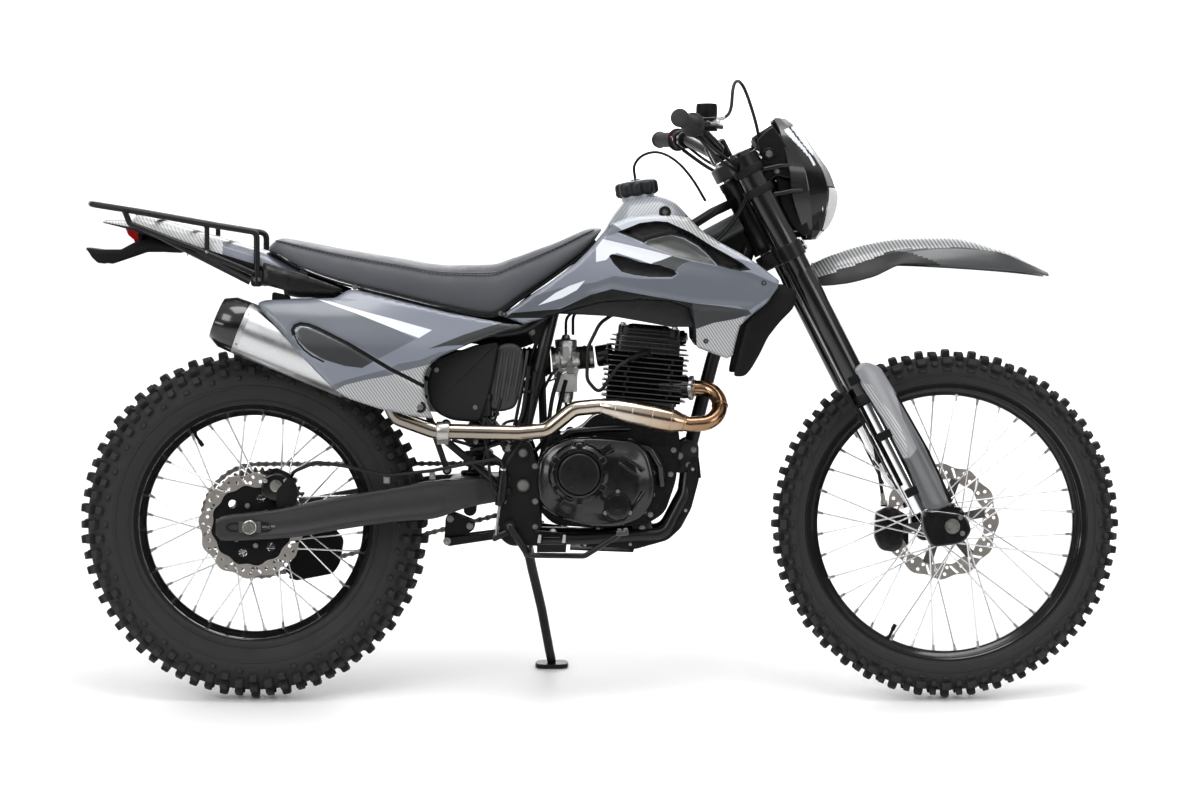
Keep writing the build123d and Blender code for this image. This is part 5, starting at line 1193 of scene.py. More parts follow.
# --- inner scoops
SC = [(352, 832), (300, 790), (284, 750), (272, 700), (264, 662), (262, 648), (284, 648), (297, 664), (314, 694), (328, 724), (353, 756), (378, 780), (386, 800), (384, 816)]
sc_y = field([240, 300, 340, 390], [640, 760, 840], [[141, 148, 144], [146, 154, 148], [140, 150, 146], [128, 136, 134]])
shell("inner_scoop", round_outline(SC, 10), sc_y, "frame", PLASTIC_BLACK, "inner_scoops", wall=3.6, cell=8, roll=8)

# --- side panels
GR1 = [(294, 335), (292.5, 330), (295, 326), (300, 324), (308, 325), (318, 329), (334, 337), (350, 345), (370, 357), (390, 369), (408, 378), (427, 388)]
GR2 = [(294, 335), (298, 343), (304, 350), (312, 356), (324, 362)]
pa_groove, pa_groove2 = trace(GR1, pa_y), trace(GR2, pa_y)


def pa_dents(a, b):
    return groove((a, b), pa_groove, 7, 3.0) + groove((a, b), pa_groove2, 6, 1.8)


PA_ZONES = [(tr(px, pa_y), m) for px, m in (
    ([(262, 296), (320, 299), (355, 311), (388, 326), (416, 339), (378, 359), (352, 345), (325, 331), (303, 324), (294, 326), (291, 331), (296, 342), (302, 350), (280, 350), (250, 310)], PANEL_MID),
    ([(302, 327), (318, 330), (350, 346), (376, 360), (362, 368), (345, 366), (322, 359), (308, 350), (298, 340), (296, 332)], PANEL_MID2),
    ([(333, 299), (345, 298), (359, 300), (345, 301.5)], PANEL_MID),
    ([(428, 349), (463, 335), (503, 322), (530, 322), (526, 332), (500, 338), (466, 347), (462, 345), (445, 346)], PANEL_MID2),
    ([(326, 388), (345, 380), (388, 369), (398, 364), (420, 360), (440, 352), (466, 347), (446, 361), (432, 366), (400, 371), (392, 376), (355, 384), (334, 392)], PANEL_MID),
    ([(334, 391), (345, 385), (365, 380), (392, 375), (402, 371), (436, 363), (446, 361), (440, 380), (440, 420), (400, 420), (350, 402)], HATCH_LIGHT),
    ([(318, 299.5), (330, 301.5), (355, 309), (393, 319), (432, 330), (419, 338), (400, 331), (355, 313), (330, 304)], PANEL_WHITE))]
# black ribbons along the two grooves: painted shade in the grooves
PA_ZONES += [(ribbon(pa_groove, 7.5), PLASTIC_BLACK), (ribbon(pa_groove2, 3.4), PANEL_BLACK)]
painted_shell("side_panel", round_outline(PA, 6, 3), pa_y, "frame", PANEL_GREY, PA_ZONES, "side_panels", wall=3.2, cell=6.0, roll=9, dents=pa_dents)
b, bb = bmesh.new(), bmesh.new()
for s in (-1, 1):
    for px in ((420, 407),):
        x, z = trace([px], pa_y)[0]
        y = pa_y(x, z)
        bar(b, (x, s * (y - 2), z), (x, s * (y + 0.8), z), 12.0, 10.6, seg=28)
        bar(bb, (x, s * (y + 0.5), z), (x, s * (y + 2.2), z), 7.0, 5.8, seg=18)
piece("panel_washers", b, "frame", RUBBER, rep="side_panels", angle=30)
piece("panel_screws", bb, "frame", ZINC, rep="side_panels", angle=30)


# --- lofted shells: fenders and tail
def loft_shell(name, stations, section, body, mat, rep, sub=2, wall=3.0, xs=None, steps=40, angle=40, off=-1.0, zone=None):
    """section(x) -> [(y, z), ...] from left edge to right edge."""
    b_ = bmesh.new()
    x0, x1 = stations
    grid = []
    for i in range(steps + 1):
        x = x0 + (x1 - x0) * i / steps
        grid.append([b_.verts.new((x, y, z)) for y, z in section(x)])
    for i in range(steps):
        for k in range(len(grid[0]) - 1):
            f = b_.faces.new((grid[i][k], grid[i][k + 1], grid[i + 1][k + 1], grid[i + 1][k]))
            if zone:
                f.material_index = zone(x0 + (x1 - x0) * (i + 0.5) / steps, min(k, len(grid[0]) - 2 - k))
    bmesh.ops.recalc_face_normals(b_, faces=b_.faces[:])
    up = sum(f.normal.z * f.calc_area() for f in b_.faces)
    if up < 0:
        bmesh.ops.reverse_faces(b_, faces=b_.faces[:])
    return piece(name, b_, body, mat, rep=rep, angle=angle, solid=wall, solid_off=off, bevel=0.9, seg=2, fix_normals=False, bevel_angle=65)


FE = [(424, 872, 846, 826, 46, 60), (470, 893, 862, 828, 56, 76), (534, 912, 876, 842, 62, 84), (600, 922, 892, 868, 64, 86),
      (690, 924, 899, 864, 64, 86), (780, 906, 893, 858, 60, 80), (860, 869, 864, 851, 44, 60), (894, 851, 850, 846, 26, 36)]
fe = [[r[i] for r in FE] for i in range(6)]


def fe_at(x):
    return [curve(fe[0], fe[i], x) for i in range(1, 6)]


def fender_sec(x):
    crown, crease, edge, hc, he = fe_at(x)
    pts = [(he, edge), (he - (he - hc) * 0.35, edge + (crease - edge) * 0.42), (hc + 1.2, crease - 1.6), (hc - 2.0, crease + 0.6),
           (hc * 0.78, crease + (crown - crease) * 0.42), (hc * 0.48, crown - (crown - crease) * 0.17), (hc * 0.2, crown - (crown - crease) * 0.02), (0, crown - 0.2)]
    return pts + [(-y, z) for y, z in pts[:-1][::-1]]


def fender_fine(x, n=4):
    p = [Vector((0, y, z)) for y, z in fender_sec(x)]
    out = []
    for i in range(len(p) - 1):
        a, b_, c, d = p[max(i - 1, 0)], p[i], p[i + 1], p[min(i + 2, len(p) - 1)]
        for j in range(n):
            t = j / n
            v = 0.5 * ((2 * b_) + (c - a) * t + (2 * a - 5 * b_ + 4 * c - d) * t * t + (3 * b_ - a - 3 * c + d) * t ** 3)
            out.append((v.y, v.z))
    return out + [(p[-1].y, p[-1].z)]


# height bands on the front fender: above HATCH_EDGE the printed hatch, below it the dark grey sides, and below
# FENDER_SHADE_EDGE on the rear part black, a painted shade on the lower sides
HATCH_EDGE = [(424, 0.30), (472, 0.42), (570, 0.55), (667, 0.57), (726, 0.66), (803, 0.76), (850, 1.05), (900, 1.2)]
FENDER_SHADE_EDGE = [(424, 1.0), (560, 0.62), (620, 0.36), (657, 0.12), (684, -0.1), (900, -0.1)]


def stair(tab, x):
    for (xa, va), (xb, vb) in zip(tab, tab[1:]):
        if x <= xb:
            return va + (vb - va) * (x - xa) / (xb - xa)
    return tab[-1][1]


# zone 0 (black, low on the rear part) is painted shade; 1 is the printed hatch; 2 the dark grey side
def fender_zone(x, k):
    sec = fender_fine(x)
    z = (sec[k][1] + sec[k + 1][1]) / 2
    low, high = sec[0][1], max(q[1] for q in sec)
    h = (z - low) / (high - low)
    if h > stair(HATCH_EDGE, x):
        return 1
    return 0 if h < stair(FENDER_SHADE_EDGE, x) else 2


loft_shell("front_fender_shell", (424, 894), fender_fine, "steering", [PANEL_BLACK, HATCH_MID, PANEL_MID2], "front_fender", wall=3.0, steps=188, zone=fender_zone)


TA = [(-985, 950, 957, 50, 2), (-930, 937, 956, 80, 4), (-914, 932, 971, 84, 5), (-828, 903, 944, 90, 6), (-750, 877, 921, 92, 6),
      (-664, 851, 896, 94, 6), (-640, 846, 884, 94, 6), (-590, 832, 858, 92, 4)]
ta = [[r[i] for r in TA] for i in range(5)]


def tail_at(x):
    def lin(vs):
        for i in range(len(vs) - 1):
            if x <= ta[0][i + 1]:
                t = (x - ta[0][i]) / (ta[0][i + 1] - ta[0][i])
                return vs[i] + (vs[i + 1] - vs[i]) * max(0, min(1, t))
        return vs[-1]
    return [lin(ta[i]) for i in range(1, 5)]


def tail_sec(x):
    low, top, half, crown = tail_at(x)
    sh = low + 0.55 * (top - low)
    pts = [(half, low), (half, low + 0.5 * (sh - low)), (half - 0.5, sh), (half - 6, sh + 0.6 * (top - crown - sh)), (half - 13, top - crown), (half * 0.62, top - crown * 0.4), (half * 0.3, top - 0.6), (0, top - 0.2)]
    return pts + [(-y, z) for y, z in pts[:-1][::-1]]


def tail_zone(x, k):
    if k == 0:
        return 2
    if k <= 3:
        return 3 if x < -742 else 4
    return 1 if -880 < x < -690 else 0


loft_shell("rear_fender_shell", (-985, -592), tail_sec, "frame", [PANEL_TOP, HATCH_TOP, PANEL_BLACK, HATCH_WHITE, PANEL_GREY], "rear_fender", wall=3.0, steps=80, zone=tail_zone)

# --- tail side pieces
tl_y = field([-690, -590, -490], [790, 840, 890], [[98, 100, 98], [112, 118, 114], [124, 130, 126]])
TS = [(-664, 872), (-592, 852), (-503, 819), (-523, 803), (-592, 802), (-622, 808), (-622, 818), (-651, 828), (-664, 829)]
shell("tail_side", round_outline(TS, 5, 3), tl_y, "frame", PLASTIC_SATIN, "tail_sides", wall=3.0, cell=9, roll=6)

# --- fork guards
GU = [(494, 660), (508, 672), (522, 674), (548, 664), (591, 595), (644, 502), (690, 403), (688, 392), (661, 382), (634, 384), (603, 463), (552, 561), (512, 624)]


def fork_line(z):
    s = (1051.8 + 14.6 - z) / math.cos(RAKE)
    return 252.5 + 28.5 + math.sin(RAKE) * s


def gu_face(x, z):
    d = (x - fork_line(z)) * math.cos(RAKE)
    u = max(-1.0, min(1.0, (d - 6) / 44.0))
    return 133.0 - 13.0 * (abs(u) ** 2.2)


GU_ZONES = [
    ([(575, 612), (591.5, 585), (633, 512), (663.5, 448), (684, 396), (715, 396), (690, 470), (655, 530), (605, 605)], PLASTIC_BLACK),
    ([(496, 634), (528, 630), (547, 599), (577, 564), (594, 530), (600, 504), (600, 484), (570, 484), (520, 560)], HATCH_LIGHT),
    ([(574, 626), (582, 600), (592, 564), (621, 504), (604, 485), (575, 485), (610, 370), (684, 370), (684, 396), (663.5, 448), (633, 512), (591.5, 585), (575, 612)], GUARD_LOW)]
painted_shell("fork_guard", round_outline(GU, 8, 3), gu_face, "steering", GUARD_GREY, GU_ZONES, "fork_guards", wall=3.2, cell=6, roll=10)
# inner flanges of the guards and the brackets back to the legs
for s in (-1, 1):
    b = bmesh.new()
    for dx in (-26, 31):
        x = fork_line(530)
        block(b, (x + dx * 0.9, s * 119, 530 + dx * 0.42), (3.2, 19, 214), (FWD, Vector((0, 1, 0)), UP))
    for z in (640, 530, 420):
        block(b, (fork_line(z), s * 125, z), (30, 11, 16), (FWD, Vector((0, 1, 0)), UP))
    piece("guard_return" + ("_right" if s < 0 else "_left"), b, "steering", PLASTIC_BLACK, rep="fork_guards", bevel=1.0)
# ----------------------------------------------------------------- seat
SE = [(-660, 893, 906, 84), (-640, 886, 921, 96), (-599, 862, 915, 108), (-520, 832, 900, 116), (-400, 801, 880, 118),
      (-300, 777, 866, 112), (-216, 762, 868, 100), (-160, 796, 885, 90), (-79, 852, 915, 80), (-20, 900, 940, 70), (4, 936, 946, 58)]
se = [[r[i] for r in SE] for i in range(4)]


def seat_at(x):
    return [curve(se[0], se[i], x) for i in range(1, 4)]


def seat_ring(x, shrink=0.0, n=28):
    low, top, half = seat_at(x)
    h = top - low
    knots = [(half - 6, low + 1), (half - 1.5, low + 0.14 * h), (half, low + 0.34 * h), (half - 2.5, low + 0.55 * h), (half - 9, low + 0.76 * h),
             (half - 24, low + 0.915 * h), (half * 0.52, top - 1.6), (half * 0.25, top - 0.4), (0, top - 0.2)]
    pts = [(y - shrink * (y > 2), z - shrink * (z > low + 2)) for y, z in knots]
    full = pts + [(-y, z) for y, z in pts[:-1][::-1]]
    return full


b = bmesh.new()
xs = []
N = 64
for i in range(N + 1):
    xs.append(-660 + 664 * i / N)
rings = []
for i, x in enumerate(xs):
    e = min(i, N - i)
    shrink = {0: 5.0, 1: 2.0, 2: 0.6}.get(e, 0.0)
    rings.append([b.verts.new((x, y, z)) for y, z in seat_ring(x, shrink)])
for i in range(N):
    for k in range(len(rings[0]) - 1):
        b.faces.new((rings[i][k], rings[i][k + 1], rings[i + 1][k + 1], rings[i + 1][k]))
    b.faces.new((rings[i][-1], rings[i][0], rings[i + 1][0], rings[i + 1][-1]))
b.faces.new(rings[0])
b.faces.new(rings[-1][::-1])
bmesh.ops.recalc_face_normals(b, faces=b.faces[:])
# soft cover: inflated a little under pressure, held along its lower edge
me = bpy.data.meshes.new("seat_cover")
b.transform(M_F)
b.to_mesh(me)
b.free()
seat = bpy.data.objects.new("seat_cover", me)
bpy.context.scene.collection.objects.link(seat)
rest = [v.co.copy() for v in me.vertices]
pin = seat.vertex_groups.new(name="hold")
inv = M_F.inverted()
for v in me.vertices:
    p = inv @ v.co
    low, top, half = seat_at(p.x)
    w = 1.0 - smooth01((p.z - low) / max(1.0, 0.45 * (top - low)))
    w = max(w, 1.0 - smooth01((p.x + 660) / 26.0), 1.0 - smooth01((4 - p.x) / 26.0))
    pin.add([v.index], max(0.0, min(1.0, w)), "REPLACE")
cl = seat.modifiers.new("cloth", "CLOTH")
cs = cl.settings
cs.quality = 6
cs.mass = 0.25
cs.tension_stiffness = cs.compression_stiffness = 14
cs.bending_stiffness = 1.2
cs.use_pressure = True
cs.uniform_pressure_force = 2.6
cs.vertex_group_mass = "hold"
cs.effector_weights.gravity = 0.0
cl.point_cache.frame_start, cl.point_cache.frame_end = 1, 14
sc = bpy.context.scene
sc.frame_start, sc.frame_end = 1, 14
for f in range(1, 15):
    sc.frame_set(f)
dg = bpy.context.evaluated_depsgraph_get()
ev = seat.evaluated_get(dg).to_mesh()
moved = [v.co.copy() for v in ev.vertices]
seat.evaluated_get(dg).to_mesh_clear()
seat.modifiers.clear()
sc.frame_set(1)
for i, v in enumerate(me.vertices):
    d = moved[i] - rest[i]
    if d.length > 0.0022:
        d = d.normalized() * 0.0022
    v.co = rest[i] + d - (rest[i] - rest[i]).normalized() * 0
# long soft creases across the saddle's dip and along the shoulders
me.update()
nrm = [v.normal.copy() for v in me.vertices]
for i, v in enumerate(me.vertices):
    p = inv @ rest[i]
    low, top, half = seat_at(p.x)
    up = smooth01((p.z - low) / (top - low) * 1.4 - 0.4)
    dip = math.exp(-((p.x + 215) / 95.0) ** 2)
    w = 0.6 * math.sin(p.x / 11.0 + 1.7 * noise.noise(Vector((p.x / 60, p.y / 40, 2)))) * dip * up
    w += 0.55 * noise.noise(Vector((p.x / 46, p.y / 38, p.z / 30))) * up
    w -= 1.4 * math.exp(-((abs(p.y) - (half - 17)) / 4.0) ** 2) * up * 0.8
    w -= 1.6
    v.co += nrm[i] * w * 0.001
for p in me.polygons:
    p.use_smooth = True
me.set_sharp_from_angle(angle=math.radians(60))
me.materials.append(SEAT_VINYL)
md = seat.modifiers.new("sub", "SUBSURF")
md.levels = md.render_levels = 2
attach(seat, "frame")
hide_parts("seat")
MADE.append(seat)


def seat_line(off_y, frac, x0=-640.0, x1=-12.0, n=90, lift=0.6):
    pts = []
    for i in range(n + 1):
        x = x0 + (x1 - x0) * i / n
        low, top, half = seat_at(x)
        pts.append((x, off_y(half), low + (top - low) * frac + lift))
    return pts


# piped seam along each shoulder, stitches beside it, and a base trim under the cover
b, st = bmesh.new(), bmesh.new()
for s in (-1, 1):
    path = seat_line(lambda h: s * (h - 15.5), 0.852, lift=-1.4)
    sweep(b, path, 1.5, seg=8)
    pts = seat_line(lambda h: s * (h - 12.0), 0.81, n=150, lift=-0.9)
    for k in range(0, 149, 2):
        a, c = Vector(pts[k]), Vector(pts[k + 1])
        sweep(st, [a, a.lerp(c, 0.5) + Vector((0, s * 0.35, 0.35)), c], 0.55, seg=6)
piece("seat_piping", b, "frame", SEAT_VINYL, rep="seat", angle=60)
piece("seat_stitches", st, "frame", RUBBER, rep="seat", angle=60)
b = bmesh.new()
for s in (-1, 1):
    path = []
    for i in range(70):
        x = -650 + 640 * i / 69
        low, top, half = seat_at(x)
        path.append((x, s * (half - 5.5), low + 1.5))
    sweep(b, path, 1.0, seg=8, flat=(2.2, 3.0))
piece("seat_base_edge", b, "frame", PLASTIC_BLACK, rep="seat", angle=60)
b = bmesh.new()
for s in (-1, 1):
    for x in (-482, -196):
        low, top, half = seat_at(x)
        bar(b, (x, s * (half - 7), low + 2), (x, s * (half - 0.5), low + 2), 5.5, 5.0, seg=20)
        bar(b, (x, s * (half - 2), low + 2), (x, s * (half + 0.6), low + 2), 3.0, 2.6, seg=6)
piece("seat_screws", b, "frame", ZINC, rep="seat", angle=30)

# ----------------------------------------------------------------- tank and cap
TK = [(-150, 772, 800, 92, 96, 78), (-79, 768, 848, 94, 100, 80), (5, 764, 930, 96, 106, 78), (30, 762, 972, 98, 108, 72),
      (60, 757, 1000, 98, 108, 66), (110, 748, 1005, 98, 110, 64), (145, 742, 994, 98, 110, 62), (185, 742, 955, 96, 108, 62), (215, 780, 925, 80, 98, 62)]
tk = [[r[i] for r in TK] for i in range(6)]


def tank_sec(x):
    low, top, hl, h, ht = [curve(tk[0], tk[i], x) for i in range(1, 6)]
    d = top - low
    pts = [(hl - 3, low + 2), (hl + 4, low + 0.12 * d), (h - 1, low + 0.32 * d), (h - 1, low + 0.55 * d), (h * 0.5 + ht * 0.5 + 1, low + 0.70 * d), (ht + 2, top - 0.17 * d),
           (ht * 0.84, top - 0.075 * d - 1), (ht * 0.6, top - 4.5), (ht * 0.25, top - 1), (0, top - 0.5)]
    return pts + [(-y, z) for y, z in pts[:-1][::-1]]


loft_shell("tank_shell", (-146, 212), tank_sec, "frame", PLASTIC_SATIN, "fuel_tank", wall=3.0, steps=54)
# tank top cover in light grey between the shrouds, printed with hatching
b = bmesh.new()
grid = []
for i in range(25):
    x = 20 + 150 * i / 24
    sec = tank_sec(x)
    row = []
    for y, z in sec[5:14]:
        row.append(b.verts.new((x, y, z + 0.9)))
    grid.append(row)
for i in range(24):
    for k in range(8):
        b.faces.new((grid[i][k], grid[i][k + 1], grid[i + 1][k + 1], grid[i + 1][k]))
bmesh.ops.recalc_face_normals(b, faces=b.faces[:])
if sum(f.normal.z for f in b.faces) < 0:
    bmesh.ops.reverse_faces(b, faces=b.faces[:])
piece("tank_top_cover", b, "frame", HATCH_GREY, rep="fuel_tank", angle=60, fix_normals=False)

CA = Vector((-0.148, 0, 0.989))
CB = Vector((73.9, 0, 1014.4))
b = bmesh.new()
lathe(b, [(33, -14), (33, -4), (30, -2), (24, -1)], CB - CA * 4, CA, seg=64, closed=False)
piece("tank_neck", b, "frame", PANEL_LIGHT, rep="fuel_cap", angle=30)
b = bmesh.new()


def lobes(r, h, a):
    k = 0.5 + 0.5 * math.cos(8 * a)
    return r * (1 - 0.13 * (1 - k) ** 1.4 * (1 if r > 25 else 0))


lathe(b, [(30, -12), (40, -8), (43, -4), (43, 11), (41.8, 15.4), (38, 18.4), (30, 20), (16, 21), (9.5, 21.6), (8.6, 23.2), (7, 23.7), (0.4, 23.9)], CB, CA, seg=128, closed=False, ripple=lobes)
piece("fuel_cap_knob", b, "frame", CAP_GREY, rep="fuel_cap", angle=40)
b = bmesh.new()
sweep(b, soft_path([CB + CA * 18, CB + CA * 26, CB + CA * 52, (84, -4, 1087), (116, -7, 1094), (152, -10, 1076), (184, -15, 1040), (210, -20, 994)]), 2.7, seg=12)
piece("tank_vent_tube", b, "frame", RUBBER, rep="tank_vent_hose", angle=60)

# ----------------------------------------------------------------- headlight mask
MK = [(917, 410, 432, 52), (945, 396, 452, 76), (1014, 374, 468, 96), (1046, 370, 459, 98), (1092, 362, 429, 92), (1136, 352, 399, 72), (1158, 344, 372, 50)]
mk = [[r[i] for r in MK] for i in range(4)]


def mask_pt(z, t, inset=0.0):
    """t -1 right back edge, 0 nose, 1 left back edge."""
    back, front, half = [curve(mk[0], mk[i], z) for i in range(1, 4)]
    front, half = front - inset, half - inset
    kx = [0.0, 0.38, 0.80, 1.0, 1.0]
    ky = [1.0, 0.93, 0.62, 0.22, 0.0]
    u = (1 - abs(t)) * 4
    i = min(int(u), 3)
    f = u - i
    f = f * f * (3 - 2 * f) * 0.35 + f * 0.65
    x = back + (front - back) * (kx[i] + (kx[i + 1] - kx[i]) * f)
    y = half * (ky[i] + (ky[i + 1] - ky[i]) * f)
    return x, (y if t > 0 else -y)


def mask_y(x, z):
    """Half width of the mask at this length and height."""
    best, yy = 1e9, 90.0
    for k in range(61):
        mx, my = mask_pt(z, 0.999 - 0.9 * k / 60)
        if abs(mx - x) < best:
            best, yy = abs(mx - x), abs(my)
    return yy


MASK_ZONES = [(tr(px, mask_y), k) for px, k in (
    ([(783, 130.5), (788, 128), (795, 137), (803, 147), (811, 158), (814.5, 163), (813.6, 167), (807, 156.5), (800, 149), (791, 140)], 1),
    ([(790, 127.5), (795, 125), (799, 130), (804, 136.5), (813, 152), (812.3, 155.5), (806, 149), (800, 141), (795, 134)], 1),
    ([(766, 112), (792, 119), (794, 124), (789, 127), (782, 131), (776, 128), (768, 120)], 2),
    ([(796, 120), (812, 136), (822, 152), (840, 184), (836, 190), (829, 180), (818, 158), (806, 136), (797, 125)], 2))]
LENS_T, LENS_Z0, LENS_Z1 = 0.46, 935.0, 1021.0
b = bmesh.new()
NZ, NT = 110, 96
grid = []
for i in range(NZ + 1):
    z = 917.5 + (1157.5 - 917.5) * i / NZ
    row = []
    for k in range(NT + 1):
        t = -1 + 2 * k / NT
        x, y = mask_pt(z, t, 0.3)
        row.append(b.verts.new((x, y, z)))
    grid.append(row)
for i in range(NZ):
    zc = 917.5 + 240 * (i + 0.5) / NZ
    for k in range(NT):
        tc = -1 + 2 * (k + 0.5) / NT
        x, y = mask_pt(zc, tc)
        if LENS_Z0 < zc < LENS_Z1 and abs(tc) < LENS_T:
            continue
        f = b.faces.new((grid[i][k], grid[i][k + 1], grid[i + 1][k + 1], grid[i + 1][k]))
        for zone_, mi in MASK_ZONES:
            if inside((x, zc), zone_):
                f.material_index = mi
for v in [v for v in b.verts if not v.link_faces]:
    b.verts.remove(v)
bmesh.ops.recalc_face_normals(b, faces=b.faces[:])
if sum(f.normal.x for f in b.faces) < 0:
    bmesh.ops.reverse_faces(b, faces=b.faces[:])
piece("mask_shell", b, "steering", [GLOSS_BLACK, PANEL_WHITE, PANEL_DARK], rep="headlight_mask", angle=50, solid=3.4, bevel=0.8, fix_normals=False, bevel_angle=65)
# closed top of the mask
b = bmesh.new()
top = [mask_pt(1156.5, -1 + 2 * k / 20, 0.6) for k in range(21)]
b.faces.new([b.verts.new((x, y, 1156.0)) for x, y in top])
piece("mask_top", b, "steering", PLASTIC_SATIN, rep="headlight_mask", solid=3)


# headlamp: bulb, reflector bowl, ribbed clear lens, black bezel
b = bmesh.new()
lathe(b, [(8, 398), (16, 400), (34, 408), (50, 424), (56, 440), (57.5, 440), (52, 423), (35, 406), (16, 397.6), (8, 396)], (0, 0, 972), (1, 0, 0.04), seg=48)
bm_scale = Matrix.Translation((0, 0, 972)) @ Matrix.Diagonal((1, 1.08, 0.66, 1)) @ Matrix.Translation((0, 0, -972))
b.transform(bm_scale)
piece("lamp_bowl", b, "steering", REFLECTOR, rep="headlight_lens", angle=50)
b = bmesh.new()
bar(b, (398, 0, 972), (424, 0, 972), 8, 7, seg=24)
bar(b, (422, 0, 972), (440, 0, 972), 6.5, 3, seg=24)
piece("lamp_bulb", b, "steering", LENS_WHITE, rep="headlight_lens", angle=50)
b = bmesh.new()
def lens_pt(t, z):
    """t and z run over the opening; the glass swells out in the middle."""
    x, y = mask_pt(z, t, 0.4)
    u, w = min(1.0, abs(t) / LENS_T), min(1.0, abs(z - 978) / 43.0)
    return x - 0.6 + 9.0 * math.sqrt(max(0.0, 1 - u ** 3)) * math.sqrt(max(0.0, 1 - w ** 2.4)), y * (1 + 0.05 * (1 - w)), z


grid = []
for i in range(37):
    z = LENS_Z0 + (LENS_Z1 - LENS_Z0) * i / 36
    grid.append([b.verts.new(lens_pt(LENS_T * (-1 + 2 * k / 36), z)) for k in range(37)])
for i in range(36):
    for k in range(36):
        b.faces.new((grid[i][k], grid[i][k + 1], grid[i + 1][k + 1], grid[i + 1][k]))
bmesh.ops.recalc_face_normals(b, faces=b.faces[:])
if sum(f.normal.x for f in b.faces) < 0:
    bmesh.ops.reverse_faces(b, faces=b.faces[:])
piece("lamp_glass", b, "steering", clear("lamp_glass_clear", through=0.35, rough=0.08, ridges=60.0), rep="headlight_lens", angle=60, solid=2.4, fix_normals=False)
b = bmesh.new()
edge = [(LENS_T * (-1 + 2 * k / 24), LENS_Z0) for k in range(24)] + [(LENS_T, LENS_Z0 + (LENS_Z1 - LENS_Z0) * k / 16) for k in range(16)]
edge += [(LENS_T * (1 - 2 * k / 24), LENS_Z1) for k in range(24)] + [(-LENS_T, LENS_Z1 - (LENS_Z1 - LENS_Z0) * k / 16) for k in range(16)]
rim_path = [Vector((mask_pt(z, t, 0.3)[0] - 0.4, mask_pt(z, t, 0.3)[1], z)) for t, z in edge]
sweep(b, rim_path, 1.7, seg=10, closed=True)
piece("lamp_bezel", b, "steering", PLASTIC_BLACK, rep="headlight_lens", angle=60)
# plates that carry the mask on the fork, the shell behind the lamp and the wiring
b = bmesh.new()
for s in (-1, 1):
    slab(b, [(306, 1112), (338, 1140), (360, 1108), (386, 1066), (378, 1034), (344, 1042), (322, 1020), (318, 1066)], s * 84, s * 90, 9, 3)
    slab(b, [(344, 1044), (372, 1030), (398, 1040), (404, 960), (416, 926), (398, 922), (376, 944), (356, 984)], s * 70, s * 75, 8, 3)
    bar(b, (346, s * 70, 1050), (346, s * 92, 1050), 10, seg=28)
    bar(b, (330, s * 84, 1084), (330, s * 95, 1084), 13, 12, seg=32)
block(b, (392, 0, 980), (84, 124, 92), taper=0.86)
piece("lamp_carrier", b, "steering", PLASTIC_SATIN, rep="headlight_mask", bevel=2.4, seg=2)
b = bmesh.new()
for s in (-1, 1):
    bar(b, (330, s * 95, 1084), (330, s * 99, 1084), 8.5, 7.6, seg=6)
    hexhead(b, (346, s * 92, 1050), (0, s, 0), 4.4, 3.6)
    hexhead(b, (392, s * 75, 1010), (0, s, 0), 4.0, 3.4)
piece("carrier_bolts", b, "steering", ZINC, rep="headlight_mask", angle=30)
b = bmesh.new()
for i, pts in enumerate((
        [(312, -46, 1100), (330, -58, 1076), (340, -60, 1030), (352, -52, 990), (372, -40, 966)],
        [(312, -30, 1094), (324, -66, 1060), (336, -68, 1010), (350, -60, 962), (372, -48, 936)],
        [(316, 10, 1098), (330, -20, 1050), (346, -34, 1000), (366, -30, 960)],
        [(312, 46, 1100), (330, 60, 1070), (342, 62, 1020), (358, 50, 980), (374, 36, 960)],
        [(312, 34, 1096), (326, 68, 1056), (338, 68, 1004), (352, 58, 958), (372, 44, 934)],
        [(306, -66, 1072), (318, -76, 1044), (326, -78, 996), (340, -74, 950), (356, -66, 918)],
        [(306, 66, 1072), (318, 76, 1044), (326, 78, 996), (340, 74, 950), (356, 66, 918)],
        [(318, 0, 1084), (334, 16, 1040), (342, 20, 980), (352, 10, 930)])):
    sweep(b, soft_path(pts), (4.2, 3.4, 5.2, 4.0, 3.2, 3.6, 3.6, 4.8)[i], seg=10)
for s in (-1, 1):
    block(b, (350, s * 40, 1012), (24, 30, 34))
piece("lamp_wiring", b, "steering", HOSE, rep=(), angle=60, bevel=1.0)
b = bmesh.new()
for s in (-1, 1):
    sweep(b, fillet_path([(396, s * 88, 1012), (372, s * 96, 1010), (336, s * 100, 1003)], 12), 5, seg=12)
    sweep(b, fillet_path([(388, s * 86, 1062), (350, s * 98, 1060), (310, s * 100, 1051)], 12), 5, seg=12)
piece("mask_stays", b, "steering", FRAME_BLACK, rep="headlight_mask", angle=50)
b = bmesh.new()
for s in (-1, 1):
    for (f, sd) in ((32, 62), (32, 18)):
        c = hp(f, s * 102, sd)
        lathe(b, [(25.2, -8), (29.5, -8), (30.5, -6), (30.5, 6), (29.5, 8), (25.2, 8)], c, UP, seg=36)
piece("mask_bands", b, "steering", RUBBER, rep="headlight_mask", angle=40)
